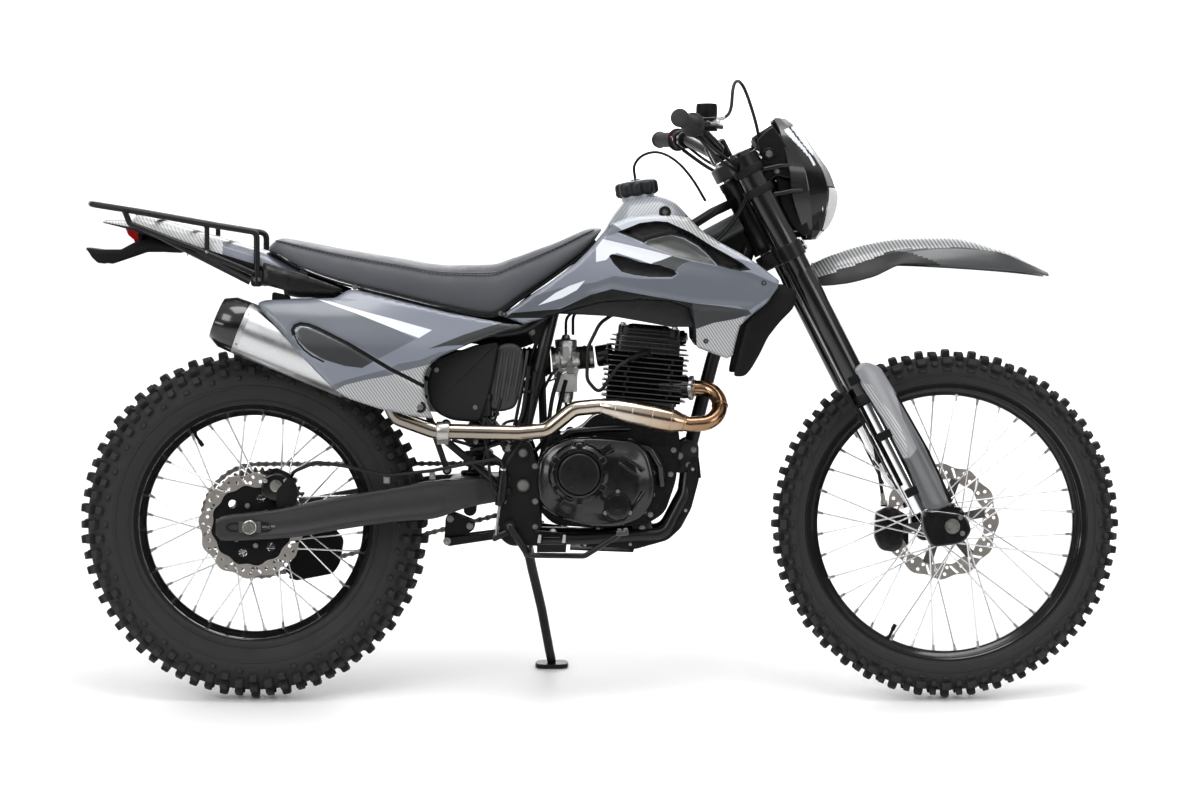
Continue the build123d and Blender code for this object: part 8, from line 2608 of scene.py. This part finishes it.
lathe(b, [(4, 4), (13.6, 8), (13.6, 56), (33.6, 56.5), (33.8, 58), (33.8, 63), (31, 64.5), (16, 65), (16, 245), (31, 245.5), (33.8, 247), (33.8, 254), (31, 256), (24.6, 257), (24.6, 296), (20, 298), (14, 299), (14, 312), (4, 314)],
      SL, SD, seg=64, closed=False)
bar(b, (-260, -13.8, 378), (-260, 13.8, 378), 12.8, seg=32)
bar(b, (-212, -19.8, 690), (-212, 19.8, 690), 12.8, seg=32)
piece("shock_body", b, "frame", FRAME_BLACK, rep="rear_shock", angle=35)
su = (Vector((1, 0, 0)) - SD * SD.x).normalized()
sv = SD.cross(su)
coil = []
for k in range(24 * 9 + 1):
    a = 2 * math.pi * k / 24
    h = 66.5 + (243 - 66.5) * k / (24 * 9)
    coil.append(SL + SD * h + (su * math.cos(a) + sv * math.sin(a)) * 24.6)
b = bmesh.new()
sweep(b, coil, 5.2, seg=12)
piece("shock_spring", b, "frame", FRAME_BLACK, rep="rear_shock", angle=60)

# ----------------------------------------------------------------- rear: light, plate holder, rack
b = bmesh.new()
slab(b, [(-944, 944), (-937, 926), (-912, 906), (-906, 930), (-912, 944)], -45.5, 45.5, 4, 3, 3)
piece("tail_lamp_lens", b, "frame", LENS_RED, rep="tail_light", angle=40)
b = bmesh.new()
slab(b, [(-914, 944), (-918, 924), (-912, 906), (-905.5, 930), (-908, 944)], -46, 46, 2, 2, 0.8)
for k in range(9):
    block(b, (-930.5, -36 + 9 * k, 926.5), (0.8, 0.8, 12))
piece("tail_lamp_base", b, "frame", PLASTIC_BLACK, rep="tail_light", angle=35)

PH_T = [(-1019, 901.5), (-990, 897.5), (-950, 897.5), (-925, 911), (-891, 923), (-812, 899.5)]
PH_B = [(-1004, 878.5), (-996, 870.5), (-981, 868.5), (-911, 892.2), (-872, 892.2), (-842, 890.4), (-812, 899)]


def lin(pts, x):
    for a, c in zip(pts, pts[1:]):
        if x <= c[0]:
            t = (x - a[0]) / (c[0] - a[0])
            return a[1] + (c[1] - a[1]) * max(0.0, min(1.0, t))
    return pts[-1][1]


b = bmesh.new()
rows = []
for i in range(53):
    x = -1018 + (1018 - 816) * i / 52
    w = 57.5 - 16 * smooth01((x + 930) / 90)
    zt, zb = lin(PH_T, x), lin(PH_B, max(x, -1003)) if x > -1004 else lin(PH_T, x) - 3 - (x + 1018) * 1.4
    row = [(w, zb + 0.5), (w, zt - 5), (w - 1.6, zt - 1.6), (w - 6, zt), (w * 0.5, zt + 0.3), (0, zt + 0.4)]
    rows.append([b.verts.new((x, y, z)) for y, z in row + [(-y, z) for y, z in row[:-1][::-1]]])
for A, B in zip(rows, rows[1:]):
    for k in range(len(A) - 1):
        b.faces.new((A[k], A[k + 1], B[k + 1], B[k]))
bmesh.ops.recalc_face_normals(b, faces=b.faces[:])
if sum(f.normal.z for f in b.faces) < 0:
    bmesh.ops.reverse_faces(b, faces=b.faces[:])
piece("plate_holder_shell", b, "frame", PLASTIC_BLACK, rep="plate_holder", angle=40, solid=3.0, fix_normals=False)
b = bmesh.new()
for s in (-1, 1):
    slab(b, [(-934, 938), (-905, 936), (-880, 918), (-905, 906), (-925, 911)], s * 30, s * 34, 3, 2, 0.6)
    bar(b, (-968, s * 28, 897), (-968, s * 28, 890), 3.2, seg=12)
piece("plate_holder_stays", b, "frame", PLASTIC_BLACK, rep="plate_holder", angle=35)

b = bmesh.new()
LOOP = [(-676, -100, 824), (-676, -100, 931), (-774, -100, 947), (-931, -100, 975), (-1000, -96, 986), (-1008, -60, 988), (-1008, 60, 988), (-1000, 96, 986),
        (-931, 100, 975), (-774, 100, 947), (-676, 100, 931), (-676, 100, 824)]
sweep(b, fillet_path(LOOP, 14, 3), 6.0, seg=20)
for s in (-1, 1):
    sweep(b, fillet_path([(-936, s * 100, 974), (-926, s * 101, 948), (-788, s * 102, 895), (-680, s * 101, 850)], 12, 3), 5.9, seg=20)
    bar(b, (-774, s * 100, 946), (-774, s * 102, 890), 4.9, seg=20)
    bar(b, (-887, s * 100, 932), (-690, s * 100, 832), 4.9, seg=20)
    bar(b, (-676, s * 86, 838), (-676, s * 100, 838), 6.8, seg=20)
    slab(b, [(-688, 824), (-688, 856), (-664, 856), (-664, 824)], s * 97.5, s * 101, 8, 3, 0.6)
for x, z in ((-730, 940), (-800, 951.5), (-870, 964)):
    bar(b, (x, -99, z), (x, 99, z), 5.4, seg=20)
    for s in (-1, 1):
        bead(b, (x, s * 94.5, z), (0, 1, 0), 5.2, 1.1)
for s in (-1, 1):
    bead(b, (-774, s * 100, 941), (0, 0, 1), 4.8, 1.1)
    bead(b, (-774, s * 102, 895), (0, 0, 1), 4.8, 1.1)
    bead(b, (-934, s * 100, 970), (0.2, 0, -0.9), 5.8, 1.2)
piece("rack_tubes", b, "frame", FRAME_BLACK, rep="luggage_rack", angle=50)
b = bmesh.new()
for s in (-1, 1):
    hexhead(b, (-676, s * 100.8, 838), YD * s, 6.2, 4.5)
    hexhead(b, (-774, s * 106.8, 892), YD * s, 3.4, 1.0)
piece("rack_bolts", b, "frame", ZINC, rep="luggage_rack", angle=30)

# ----------------------------------------------------------------- pegs, pedal, lever
b, bt = bmesh.new(), bmesh.new()
for s in (-1, 1):
    # hollow toothed platform
    for x0, x1 in ((-122, -114), (-74, -66)):
        A = [(x0, 310 if x0 < -100 else 312), (x0, 330), (x1, 330), (x1, 312 if x0 < -100 else 310)]
        slab(b, A, s * 139, s * 246, 2, 2, 0.8)
        for k in range(11):
            y = s * (143 + 10 * k)
            xm = (x0 + x1) / 2
            vs = [bt.verts.new(p) for p in ((x0 + 0.8, y - 3.4, 329), (x1 - 0.8, y - 3.4, 329), (x1 - 0.8, y + 3.4, 329), (x0 + 0.8, y + 3.4, 329))]
            top = [bt.verts.new((x0 + 1.6, y, 337.4)), bt.verts.new((x1 - 1.6, y, 337.4))]
            bt.faces.new(vs[::-1]); bt.faces.new((vs[0], vs[1], top[1], top[0])); bt.faces.new((vs[2], vs[3], top[0], top[1]))
            bt.faces.new((vs[1], vs[2], top[1])); bt.faces.new((vs[3], vs[0], top[0]))
    for y0, y1 in ((137, 145), (240, 247.5), (176, 181), (208, 213)):
        slab(b, [(-120, 311), (-120, 327), (-68, 327), (-68, 311)], s * y0, s * y1, 2, 2, 0.6)
    slab(b, [(-112, 318), (-112, 332), (-78, 332), (-78, 318)], s * 104, s * 139, 3, 2, 1)
    slab(b, [(-130, 312), (-130, 344), (-76, 338), (-76, 312)], s * 96.4, s * 105.6, 6, 3, 1.2)
    bar(b, (-95, s * 116, 314), (-95, s * 116, 334), 5.6, seg=20)
piece("peg_platforms", b, "frame", FRAME_BLACK, rep="foot_pegs", angle=35)
piece("peg_teeth", bt, "frame", ZINC, rep="foot_pegs", angle=20)

b = bmesh.new()
BP = fillet_path([(-178, -116, 352), (-140, -132, 296), (-30, -150, 296), (40, -152, 340)], 18, 4)
sweep(b, BP, lambda t: 8.0 - 2.6 * min(1, t * 3), seg=20)
bar(b, (-178, -103.5, 352), (-178, -121.8, 352), 11.8, 11.4, seg=32)
slab(b, [(-186, 346), (-214, 330), (-210, 320), (-170, 340)], -112, -107, 4, 2, 0.8)
piece("brake_pedal_arm", b, "frame", FRAME_BLACK, rep="foot_controls", angle=45)
b = bmesh.new()
slab(b, [(32, 337), (32, 347), (56, 349), (56, 339)], -181, -141, 2, 2, 0.8)
for k in range(7):
    block(b, (38 + 0.0 * k, -146 - 5.4 * k, 348.2), (8, 2.2, 3.4))
    block(b, (50, -146 - 5.4 * k, 349.2), (8, 2.2, 3.4))
bar(b, (-178, -121.5, 352), (-178, -123.5, 352), 6.5, seg=6)
piece("brake_pedal_pad", b, "frame", DARK_STEEL, rep="foot_controls", angle=30, bevel=0.4)
b = bmesh.new()
sweep(b, fillet_path([(-60, 122, 368), (10, 140, 352), (62, 142, 346)], 20, 4), 5.3, seg=20)
bar(b, (-60, 101.5, 368), (-60, 127.5, 368), 9.8, 9.4, seg=28)
block(b, (-60, 118, 356), (9, 9, 12))
piece("gear_lever_arm", b, "frame", DARK_STEEL, rep="foot_controls", angle=40, bevel=0.4)
b = bmesh.new()
lathe(b, [(4, 136.4), (8.4, 136.6), (8.8, 138)] + [(8.8 - 0.9 * (k % 2), 140 + 2.4 * k) for k in range(12)] + [(8.8, 169), (8.2, 171.2), (4, 171.6)], (62, 0, 346), (0, 1, 0), seg=28)
piece("gear_lever_rubber", b, "frame", RUBBER, rep="foot_controls", angle=30)

# rear master cylinder, its pushrod, reservoir and hoses on the right
b = bmesh.new()
bar(b, (-196, -112, 400), (-190, -112, 452), 10, 10, seg=28)
bar(b, (-190, -112, 452), (-189, -112, 462), 8, 7, seg=28)
slab(b, [(-206, 414), (-206, 426), (-176, 426), (-176, 414)], -113, -102, 3, 2, 0.8)
slab(b, [(-204, 440), (-204, 450), (-176, 450), (-176, 440)], -113, -102, 3, 2, 0.8)
bar(b, (-199, -112, 392), (-197, -112, 401), 8.5, 9.5, seg=24)
piece("rear_master_cylinder", b, "frame", FRAME_BLACK, rep=(), angle=35, bevel=0.3)
b = bmesh.new()
bar(b, (-205, -112, 334), (-198, -112, 394), 3.1, seg=14)
bar(b, (-204, -112, 346), (-203, -112, 352), 6.0, seg=6)
hexhead(b, (-191, -112, 462), Vector((0.1, 0, 1)), 6.2, 5)
hexhead(b, (-205, -107, 334), Vector((0, -1, 0)), 4.5, 3)
piece("brake_pushrod", b, "frame", ZINC, rep=(), angle=30)
b = bmesh.new()
hose = fillet_path([(-190, -114, 464), (-196, -122, 486), (-250, -124, 478), (-330, -121.5, 462), (-420, -119, 452), (-500, -112, 470), (-560, -100, 478), (-606, -84, 458), (-612, -74, 446)], 30, 6)
sweep(b, hose, 3.4, seg=12)
sweep(b, fillet_path([(-198, -114, 408), (-214, -118, 430), (-222, -114, 500), (-232, -104, 548), (-226, -96, 566)], 24, 6), 3.2, seg=12)
sweep(b, fillet_path([(-340, -84, 580), (-330, -96, 556), (-286, -104, 508), (-252, -104, 480), (-228, -104, 470), (-216, -100, 500)], 24, 6), 3.4, seg=12)
sweep(b, fillet_path([(-210, -86, 700), (-190, -92, 660), (-196, -96, 600), (-214, -100, 540), (-232, -98, 470), (-240, -70, 420)], 24, 6), 3.0, seg=12)
sweep(b, fillet_path([(-100, -50, 566), (-128, -66, 540), (-168, -84, 560), (-190, -96, 556), (-206, -98, 520)], 24, 6), 3.0, seg=12)
piece("rear_hoses", b, "frame", HOSE, rep=(), angle=60)
b = bmesh.new()
for x, y, z in ((-330, -118.6, 452), (-420, -117.2, 444)):
    block(b, (x, y + 1, z), (12, 8, 14))
    hexhead(b, (x, y - 3, z - 2), Vector((0, -1, 0)), 3.2, 2.4)
piece("hose_clips", b, "frame", ZINC, rep=(), bevel=0.8)
# reservoir cup behind the side plate
b = bmesh.new()
lathe(b, [(3, 0), (13, 1), (14.5, 3), (14.5, 34), (16, 35), (16, 45), (14, 47), (4, 48)], (-226, -88, 566), (0, 0, 1), seg=40)
piece("rear_reservoir", b, "frame", PLASTIC_SATIN, rep=(), angle=35)

# ----------------------------------------------------------------- skid plate
SKO = [(193, 484), (198, 440), (182, 380), (162, 342), (136, 318), (72, 300), (-60, 304)]


def skid_mid(t):
    pts = [Vector(p) for p in SKO]
    seg = [(c - a).length for a, c in zip(pts, pts[1:])]
    L = sum(seg) * t
    for (a, c), l in zip(zip(pts, pts[1:]), seg):
        if L <= l:
            return a.lerp(c, L / l)
        L -= l
    return pts[-1]


sk = fillet_path([(x, 0, z) for x, z in SKO], [40, 60, 40, 40, 40], 4)
b = bmesh.new()
rows = []
Ltot = sum((c - a).length for a, c in zip(sk, sk[1:]))
acc = 0
for i, p in enumerate(sk):
    if i:
        acc += (p - sk[i - 1]).length
    d = (sk[min(i + 1, len(sk) - 1)] - sk[max(i - 1, 0)]).normalized()
    nrm = Vector((d.z, 0, -d.x))
    if nrm.x < 0 and nrm.z > 0:
        nrm = -nrm
    t = acc / Ltot
    w = 69.5 - 10 * max(0, 1 - t / 0.12) - 8 * max(0, (t - 0.9) / 0.1)
    row = []
    for k in range(15):
        u = -1 + 2 * k / 14
        rib = 2.4 if k in (4, 5, 9, 10) and 0.1 < t < 0.93 else 0
        lip = -5.5 * max(0, (abs(u) - 0.86) / 0.14)
        q = p - nrm * (2.4 - rib * 0.9 - lip * -0.0) + nrm * (lip * 0.2)
        row.append(b.verts.new((q.x, u * w, q.z)))
    rows.append(row)
for A, B in zip(rows, rows[1:]):
    for k in range(14):
        b.faces.new((A[k], A[k + 1], B[k + 1], B[k]))
bmesh.ops.recalc_face_normals(b, faces=b.faces[:])
if sum(f.normal.z for f in b.faces) > 0:
    bmesh.ops.reverse_faces(b, faces=b.faces[:])
piece("skid_plate_shell", b, "frame", PLASTIC_SATIN, rep="skid_plate", angle=30, solid=2.4, fix_normals=False, bevel=0.5)
b = bmesh.new()
for s in (-1, 1):
    slab(b, [(194, 476), (196, 440), (181, 384), (160, 346), (134, 322), (72, 305), (-40, 308), (-40, 318), (66, 322), (118, 336), (140, 356), (158, 388), (172, 440), (174, 474)], s * 66.8, s * 69.6, 6, 2, 0.6)
piece("skid_plate_sides", b, "frame", PLASTIC_SATIN, rep="skid_plate", angle=30)
b = bmesh.new()
for s in (-1, 1):
    for x, z in ((184, 462), (170, 380), (60, 313), (-30, 312)):
        hexhead(b, (x, s * 69.2, z), YD * s, 3.6, 0.8)
piece("skid_plate_bolts", b, "frame", ZINC, rep="skid_plate", angle=30)

# ----------------------------------------------------------------- brake calipers
def caliper(prefix, outline, y_in, y_out, slot, body, node, pins, pistons, out_side):
    b1 = bmesh.new()
    lo, hi = sorted((y_in, y_out))
    pts = round_outline(outline, 10, 3)
    pillow(b1, pts, slot[0], lo, 5)
    pillow(b1, pts, slot[1], hi, 5)
    top = sorted(outline, key=lambda p: -p[1])[:2]
    piece(prefix + "_body", b1, body, ENGINE_BLACK, rep=node, angle=34)
    b2 = bmesh.new()
    for x, z in pins:
        if min(math.hypot(x - 691, z - 347), math.hypot(x + 691, z - 347)) < 112:
            bar(b2, (x, lo + 2, z), (x, slot[0] - 0.4, z), 5.4, seg=20)
            bar(b2, (x, slot[1] + 0.4, z), (x, hi - 2, z), 5.4, seg=20)
        else:
            bar(b2, (x, lo + 2, z), (x, hi - 2, z), 5.4, seg=20)
    piece(prefix + "_pins", b2, body, DARK_STEEL, rep=node, angle=30)
    b3 = bmesh.new()
    face = lo if out_side < 0 else hi
    for x, z in pins:
        hexhead(b3, (x, face - out_side * 1.0, z), YD * out_side, 5.0, 1.2)
    for x, z in pistons:
        lathe(b3, [(12, 0), (12, 0.8), (10.4, 1.0), (4, 1.0)], (x, face - out_side * 0.6, z), YD * out_side, seg=32, closed=False)
    piece(prefix + "_hardware", b3, body, ZINC, rep=node, angle=30)
    return b1


RC = [(-674, 406), (-670, 450), (-640, 463), (-606, 449), (-593, 416), (-602, 400), (-640, 394)]
caliper("rear_caliper", [(-672, 410), (-668, 448), (-640, 458), (-618, 449), (-610, 420), (-622, 402), (-648, 398)], -89.5, -56.5, (-76.2, -66.8), "frame", "rear_caliper",
        ((-662, 440), (-622, 440)), ((-641, 430),), -1)
b = bmesh.new()
slab(b, [(-640, 386), (-602, 392), (-596, 416), (-602, 438), (-616, 448), (-640, 420)], -91.4, -86.5, 6, 2, 1)
bar(b, (-606, -89, 440), (-606, -60, 440), 6.2, seg=20)
bar(b, (-652, -84, 456), (-652, -84, 464), 3.6, seg=12)
slab(b, [(-668, 455), (-664, 459), (-640, 465), (-614, 453), (-606, 440), (-611, 431), (-640, 446)], -77, -66, 1.5, 1, 1)
piece("rear_caliper_carrier", b, "frame", FRAME_BLACK, rep="rear_caliper", angle=35)
caliper("front_caliper", [(558, 370), (588, 382), (612, 370), (614, 302), (598, 288), (568, 292), (555, 318)], 79.5, 47.5, (53.8, 62.2), "steering", "front_caliper",
        ((566, 360), (572, 300)), ((590, 352), (588, 318)), 1)
b = bmesh.new()
slab(b, [(608, 372), (626, 360), (626, 300), (612, 296)], 62.4, 79, 5, 2, 1)
slab(b, [(556, 318), (558, 370), (566, 372), (564, 318)], 52, 64, 3, 2, 1)
piece("front_caliper_carrier", b, "steering", FRAME_BLACK, rep="front_caliper", angle=35)

# ----------------------------------------------------------------- side stand
SP, SF = Vector((-150, 118, 305)), Vector((-100, 245, 34))
sd = (SF - SP).normalized()
sup = Vector((-0.975, 0.171, 0.140)).normalized()
sax = sd.cross(sup).normalized()
sback = -(sd + sup).normalized()
b = bmesh.new()
bar(b, SP - sax * 14.5, SP + sax * 14.5, 6.0, seg=24)
for a0, a1 in ((8.6, 13.8), (-13.8, -8.6)):
    bar(b, SP + sax * a0, SP + sax * a1, 15.6, seg=36)
    block(b, SP + sax * (a0 + a1) / 2 + sback * 16, (32, 26, a1 - a0), (sback, sax.cross(sback).normalized(), sax))
block(b, SP + sback * 28, (18, 26, 27.6), (sback, sax.cross(sback).normalized(), sax))
piece("stand_bracket_forging", b, "frame", FRAME_BLACK, rep="side_stand_bracket", bevel=1.2)
b = bmesh.new()
for s in (-1, 1):
    bar(b, SP + sax * s * 13.6, SP + sax * s * 16, 9.5, seg=6)
piece("stand_pivot_bolt", b, "frame", ZINC, rep="side_stand_bracket", angle=30)
gn = Vector((0, -math.sin(math.radians(8)), math.cos(math.radians(8))))
b = bmesh.new()
lathe(b, [(7.2, -7.8), (13.6, -7.8), (13.8, -7), (13.8, 7), (13.6, 7.8), (7.2, 7.8)], SP, sax, seg=40)
block(b, SP + sd * 19, (28, 20, 14.6), (sd, sax.cross(sd).normalized(), sax))
foot_top = SF + gn * 9
leg = [SP + sd * 26, SP + sd * 60, SP.lerp(foot_top, 0.55) + Vector((2, 0, 0)), SP.lerp(foot_top, 0.9), foot_top]
sweep(b, leg, lambda t: 10.2 - 1.2 * t, seg=28)
bar(b, SP + sd * 64 + sax * 9, SP + sd * 64 + sax * 19, 4, 4, seg=14)
piece("stand_leg", b, "side_stand", FRAME_BLACK, rep="side_stand", angle=35, bevel=0.6)
b = bmesh.new()
ft = []
for k in range(28):
    a = 2 * math.pi * k / 28
    ca, sa = math.cos(a), math.sin(a)
    ft.append((34 * math.copysign(abs(ca) ** 0.55, ca), 22 * math.copysign(abs(sa) ** 0.55, sa)))
gx = Vector((1, 0, 0))
gy = gn.cross(gx).normalized()
rings = []
for h, k in ((0.6, 0.96), (2, 1.0), (7, 1.0), (9, 0.94)):
    rings.append([b.verts.new(SF + gn * h + gx * (p * k) + gy * (q * k)) for p, q in ft])
for A, B in zip(rings, rings[1:]):
    for i in range(28):
        b.faces.new((A[i], A[(i + 1) % 28], B[(i + 1) % 28], B[i]))
b.faces.new(rings[0][::-1]); b.faces.new(rings[-1])
piece("stand_foot", b, "side_stand", FRAME_BLACK, rep="side_stand", angle=35)

# ----------------------------------------------------------------- fork clamps
b = bmesh.new()
for sdrop, t in ((0, 30), (CLAMP_DROP, 32)):
    out = []
    base = [(-22, -28), (-30, 0), (-22, 28), (6, 80), (4, 108), (22, 131), (48, 128), (62, 106), (60, 84), (38, 60), (34, 30), (36, 0), (34, -30), (38, -60), (60, -84), (62, -106), (48, -128), (22, -131), (4, -108), (6, -80)]
    pts = round_outline(base, 12, 4)
    rings = []
    for d, h in ((1.6, -t / 2 + 0.6), (0, -t / 2 + 2.2), (0, t / 2 - 2.2), (1.6, t / 2 - 0.6)):
        q = inset(pts, d) if d else pts
        rings.append([b.verts.new(hp(f, y, sdrop - h)) for f, y in q])
    m = len(pts)
    for A, B in zip(rings, rings[1:]):
        for i in range(m):
            b.faces.new((A[i], A[(i + 1) % m], B[(i + 1) % m], B[i]))
    b.faces.new(rings[0][::-1]); b.faces.new(rings[-1])
piece("fork_clamps", b, "steering", FRAME_BLACK, rep="triple_clamps", angle=34)
b = bmesh.new()
bar(b, hp(0, 0, -15), hp(0, 0, -22), 15, 14, seg=6)
bar(b, hp(0, 0, -14), hp(0, 0, -17), 19, 19, seg=32)
bar(b, hp(0, 0, 14), hp(0, 0, 192), 15.6, seg=32)
for s in (-1, 1):
    for sdrop in (0, CLAMP_DROP):
        bar(b, hp(12, s * 92, sdrop), hp(12, s * 76, sdrop), 5, 5, seg=6)
piece("steering_stem", b, "steering", ZINC, rep="triple_clamps", angle=30)

# hoses and cables tied to the frame behind the engine, drain tubes and their clips
def side_path(px, y):
    return [Vector((x, y, z)) for x, z in trace(px, None, y)]


b = bmesh.new()
for px, y, r in (([(529, 366), (526, 392), (522, 420), (510, 438), (492, 446), (470, 450)], -104, 4.4),
                 ([(535, 372), (532, 400), (529, 428), (516, 450), (503, 468), (499, 498)], -100, 5.0),
                 ([(524, 380), (518, 408), (514, 430), (498, 442), (474, 446), (452, 440)], -96, 3.4),
                 ([(560, 372), (552, 396), (548, 430), (540, 448), (520, 462), (506, 486), (504, 520)], -62, 4.2),
                 ([(566, 380), (560, 402), (556, 424), (548, 440)], -40, 4.6),
                 ([(540, 330), (536, 344), (530, 362), (528, 372)], -60, 4.0)):
    sweep(b, soft_path(side_path(px, y)), r, seg=12)
piece("drain_hoses", b, "frame", HOSE, rep=(), angle=60)
b = bmesh.new()
for (p0, p1), y, r in ((((433, 430), (500, 486)), -94, 7.5), (((446, 424), (500, 462)), -90, 6.0), (((424, 404), (447, 470)), -86, 6.0),
                       (((541, 362), (545, 470)), -34, 8.0)):
    a, c = side_path([p0, p1], y)
    bar(b, a, c, r, r, seg=20)
for px, y in (((433, 430), -94), ((500, 486), -94), ((446, 424), -90), ((447, 470), -86)):
    p = side_path([px], y)[0]
    bar(b, p + Vector((0, 6, 0)), p - Vector((0, 7, 0)), 9.5, 9.0, seg=24)
piece("peg_stays", b, "frame", FRAME_BLACK, rep=(), bevel=1.0)
b = bmesh.new()
for px, y, r in (((433, 430), -101, 5.0), ((446, 424), -97, 4.4), ((447, 470), -93, 4.4), ((500, 486), -101, 5.0), ((494, 431), -112, 6.0), ((476, 442), -108, 4.0)):
    p = side_path([px], y)[0]
    hexhead(b, p, (0, -1, 0), r, r * 0.7)
piece("stay_bolts", b, "frame", ZINC, rep=(), angle=30)
b = bmesh.new()
for px, y, w in (((527, 392), -102, 17), ((522, 425), -101, 19), ((508, 448), -100, 17)):
    p = side_path([px], y)[0]
    block(b, p, (w, 15, 6))
piece("hose_ties", b, "frame", PLASTIC_BLACK, rep=(), bevel=1.5)

# ----------------------------------------------------------------- floor, light, camera
bm = bmesh.new()
N = 40
rows = []
for i in range(N + 1):
    t = i / N
    if t < 0.6:
        y, z = -24 + 38 * t / 0.6, 0.0
    else:
        a = (t - 0.6) / 0.4 * math.pi / 2
        y, z = 14 + 8 * math.sin(a), 8 - 8 * math.cos(a)
    rows.append((y, z))
rows.append((22, 14))
N += 1
vs = [[bm.verts.new((x, y, z - 0.0004)) for x in (-26, -9, 0, 9, 26)] for y, z in rows]
for i in range(N):
    for k in range(4):
        bm.faces.new((vs[i][k], vs[i][k + 1], vs[i + 1][k + 1], vs[i + 1][k]))
me = bpy.data.meshes.new("studio_floor")
bm.to_mesh(me); bm.free()
for p in me.polygons:
    p.use_smooth = True
me.materials.append(FLOOR)
floor = bpy.data.objects.new("studio_floor", me)
bpy.context.scene.collection.objects.link(floor)

world = bpy.data.worlds.new("studio_world")
world.use_nodes = True
bg = world.node_tree.nodes["Background"]
wt = world.node_tree
tc_ = wt.nodes.new("ShaderNodeTexCoord")
sp_ = wt.nodes.new("ShaderNodeSeparateXYZ")
wt.links.new(tc_.outputs["Generated"], sp_.inputs[0])
mr_ = wt.nodes.new("ShaderNodeMapRange")
mr_.inputs["From Min"].default_value, mr_.inputs["From Max"].default_value = -1.0, 1.0
wt.links.new(sp_.outputs[2], mr_.inputs["Value"])
sky = wt.nodes.new("ShaderNodeValToRGB")
se = sky.color_ramp.elements
se[0].position, se[0].color = 0.0, (0.55, 0.55, 0.55, 1)
se[1].position, se[1].color = 1.0, (1.0, 1.0, 1.0, 1)
for p_, v_ in ((0.44, 0.50), (0.50, 0.20), (0.56, 0.12), (0.64, 0.14), (0.73, 0.95)):
    k_ = se.new(p_)
    k_.color = (v_, v_, v_ * 1.01, 1)
wt.links.new(mr_.outputs["Result"], sky.inputs[0])
wt.links.new(sky.outputs[0], bg.inputs[0])
bg.inputs[1].default_value = 0.68
bpy.context.scene.world = world


def area(name, loc, target, size, power, size_y=None, col=(1, 1, 1)):
    d = bpy.data.lights.new(name, "AREA")
    d.energy, d.size, d.color = power, size, col
    if size_y:
        d.shape, d.size_y = "RECTANGLE", size_y
    o = bpy.data.objects.new(name, d)
    o.location = loc
    o.rotation_mode = "QUATERNION"
    o.rotation_quaternion = (Vector(target) - Vector(loc)).to_track_quat("-Z", "Y")
    bpy.context.scene.collection.objects.link(o)
    return o


area("key_left", (-3.2, -4.2, 4.2), (0, 0, 0.6), 2.6, 95)
area("top_soft", (0.4, -0.6, 4.6), (0, 0, 0.5), 3.4, 105, 2.0)
area("fill_right", (3.8, -3.6, 2.2), (0.2, 0, 0.6), 2.2, 38)
area("side_strip", (-6.0, -4.0, 1.6), (0, 0, 0.6), 3.5, 40, 0.6)
area("back_rim", (0.5, 4.5, 3.2), (0, 0, 0.8), 3.0, 60)
for i_, x_ in enumerate((-9.0, 0.0, 9.0)):
    area("backdrop_%d" % i_, (x_, 9.0, 6.5), (x_, 20, 4.0), 5.0, 900, 2.5)
area("floor_wash", (0.0, 9.5, 7.0), (0, 14.5, 0.0), 10.0, 420, 2.0)

cam_data = bpy.data.cameras.new("camera")
cam = bpy.data.objects.new("camera", cam_data)
bpy.context.scene.collection.objects.link(cam)
cam_data.sensor_width = 36.0
cam_data.lens = VIEW_F / 1200 * 36.0
cam_data.clip_start, cam_data.clip_end = 0.5, 60
rot = Matrix.Rotation(-LEAN, 4, "X") @ Matrix.Rotation(math.pi / 2 - VIEW_PITCH, 4, "X")
cam.matrix_world = Matrix.Translation(M_F @ Vector((0, -VIEW_D, VIEW_Z))) @ rot
bpy.context.scene.camera = cam
bpy.context.scene.view_settings.view_transform = "Standard"
bpy.context.scene.view_settings.look = "Medium High Contrast"

bpy.context.view_layer.update()
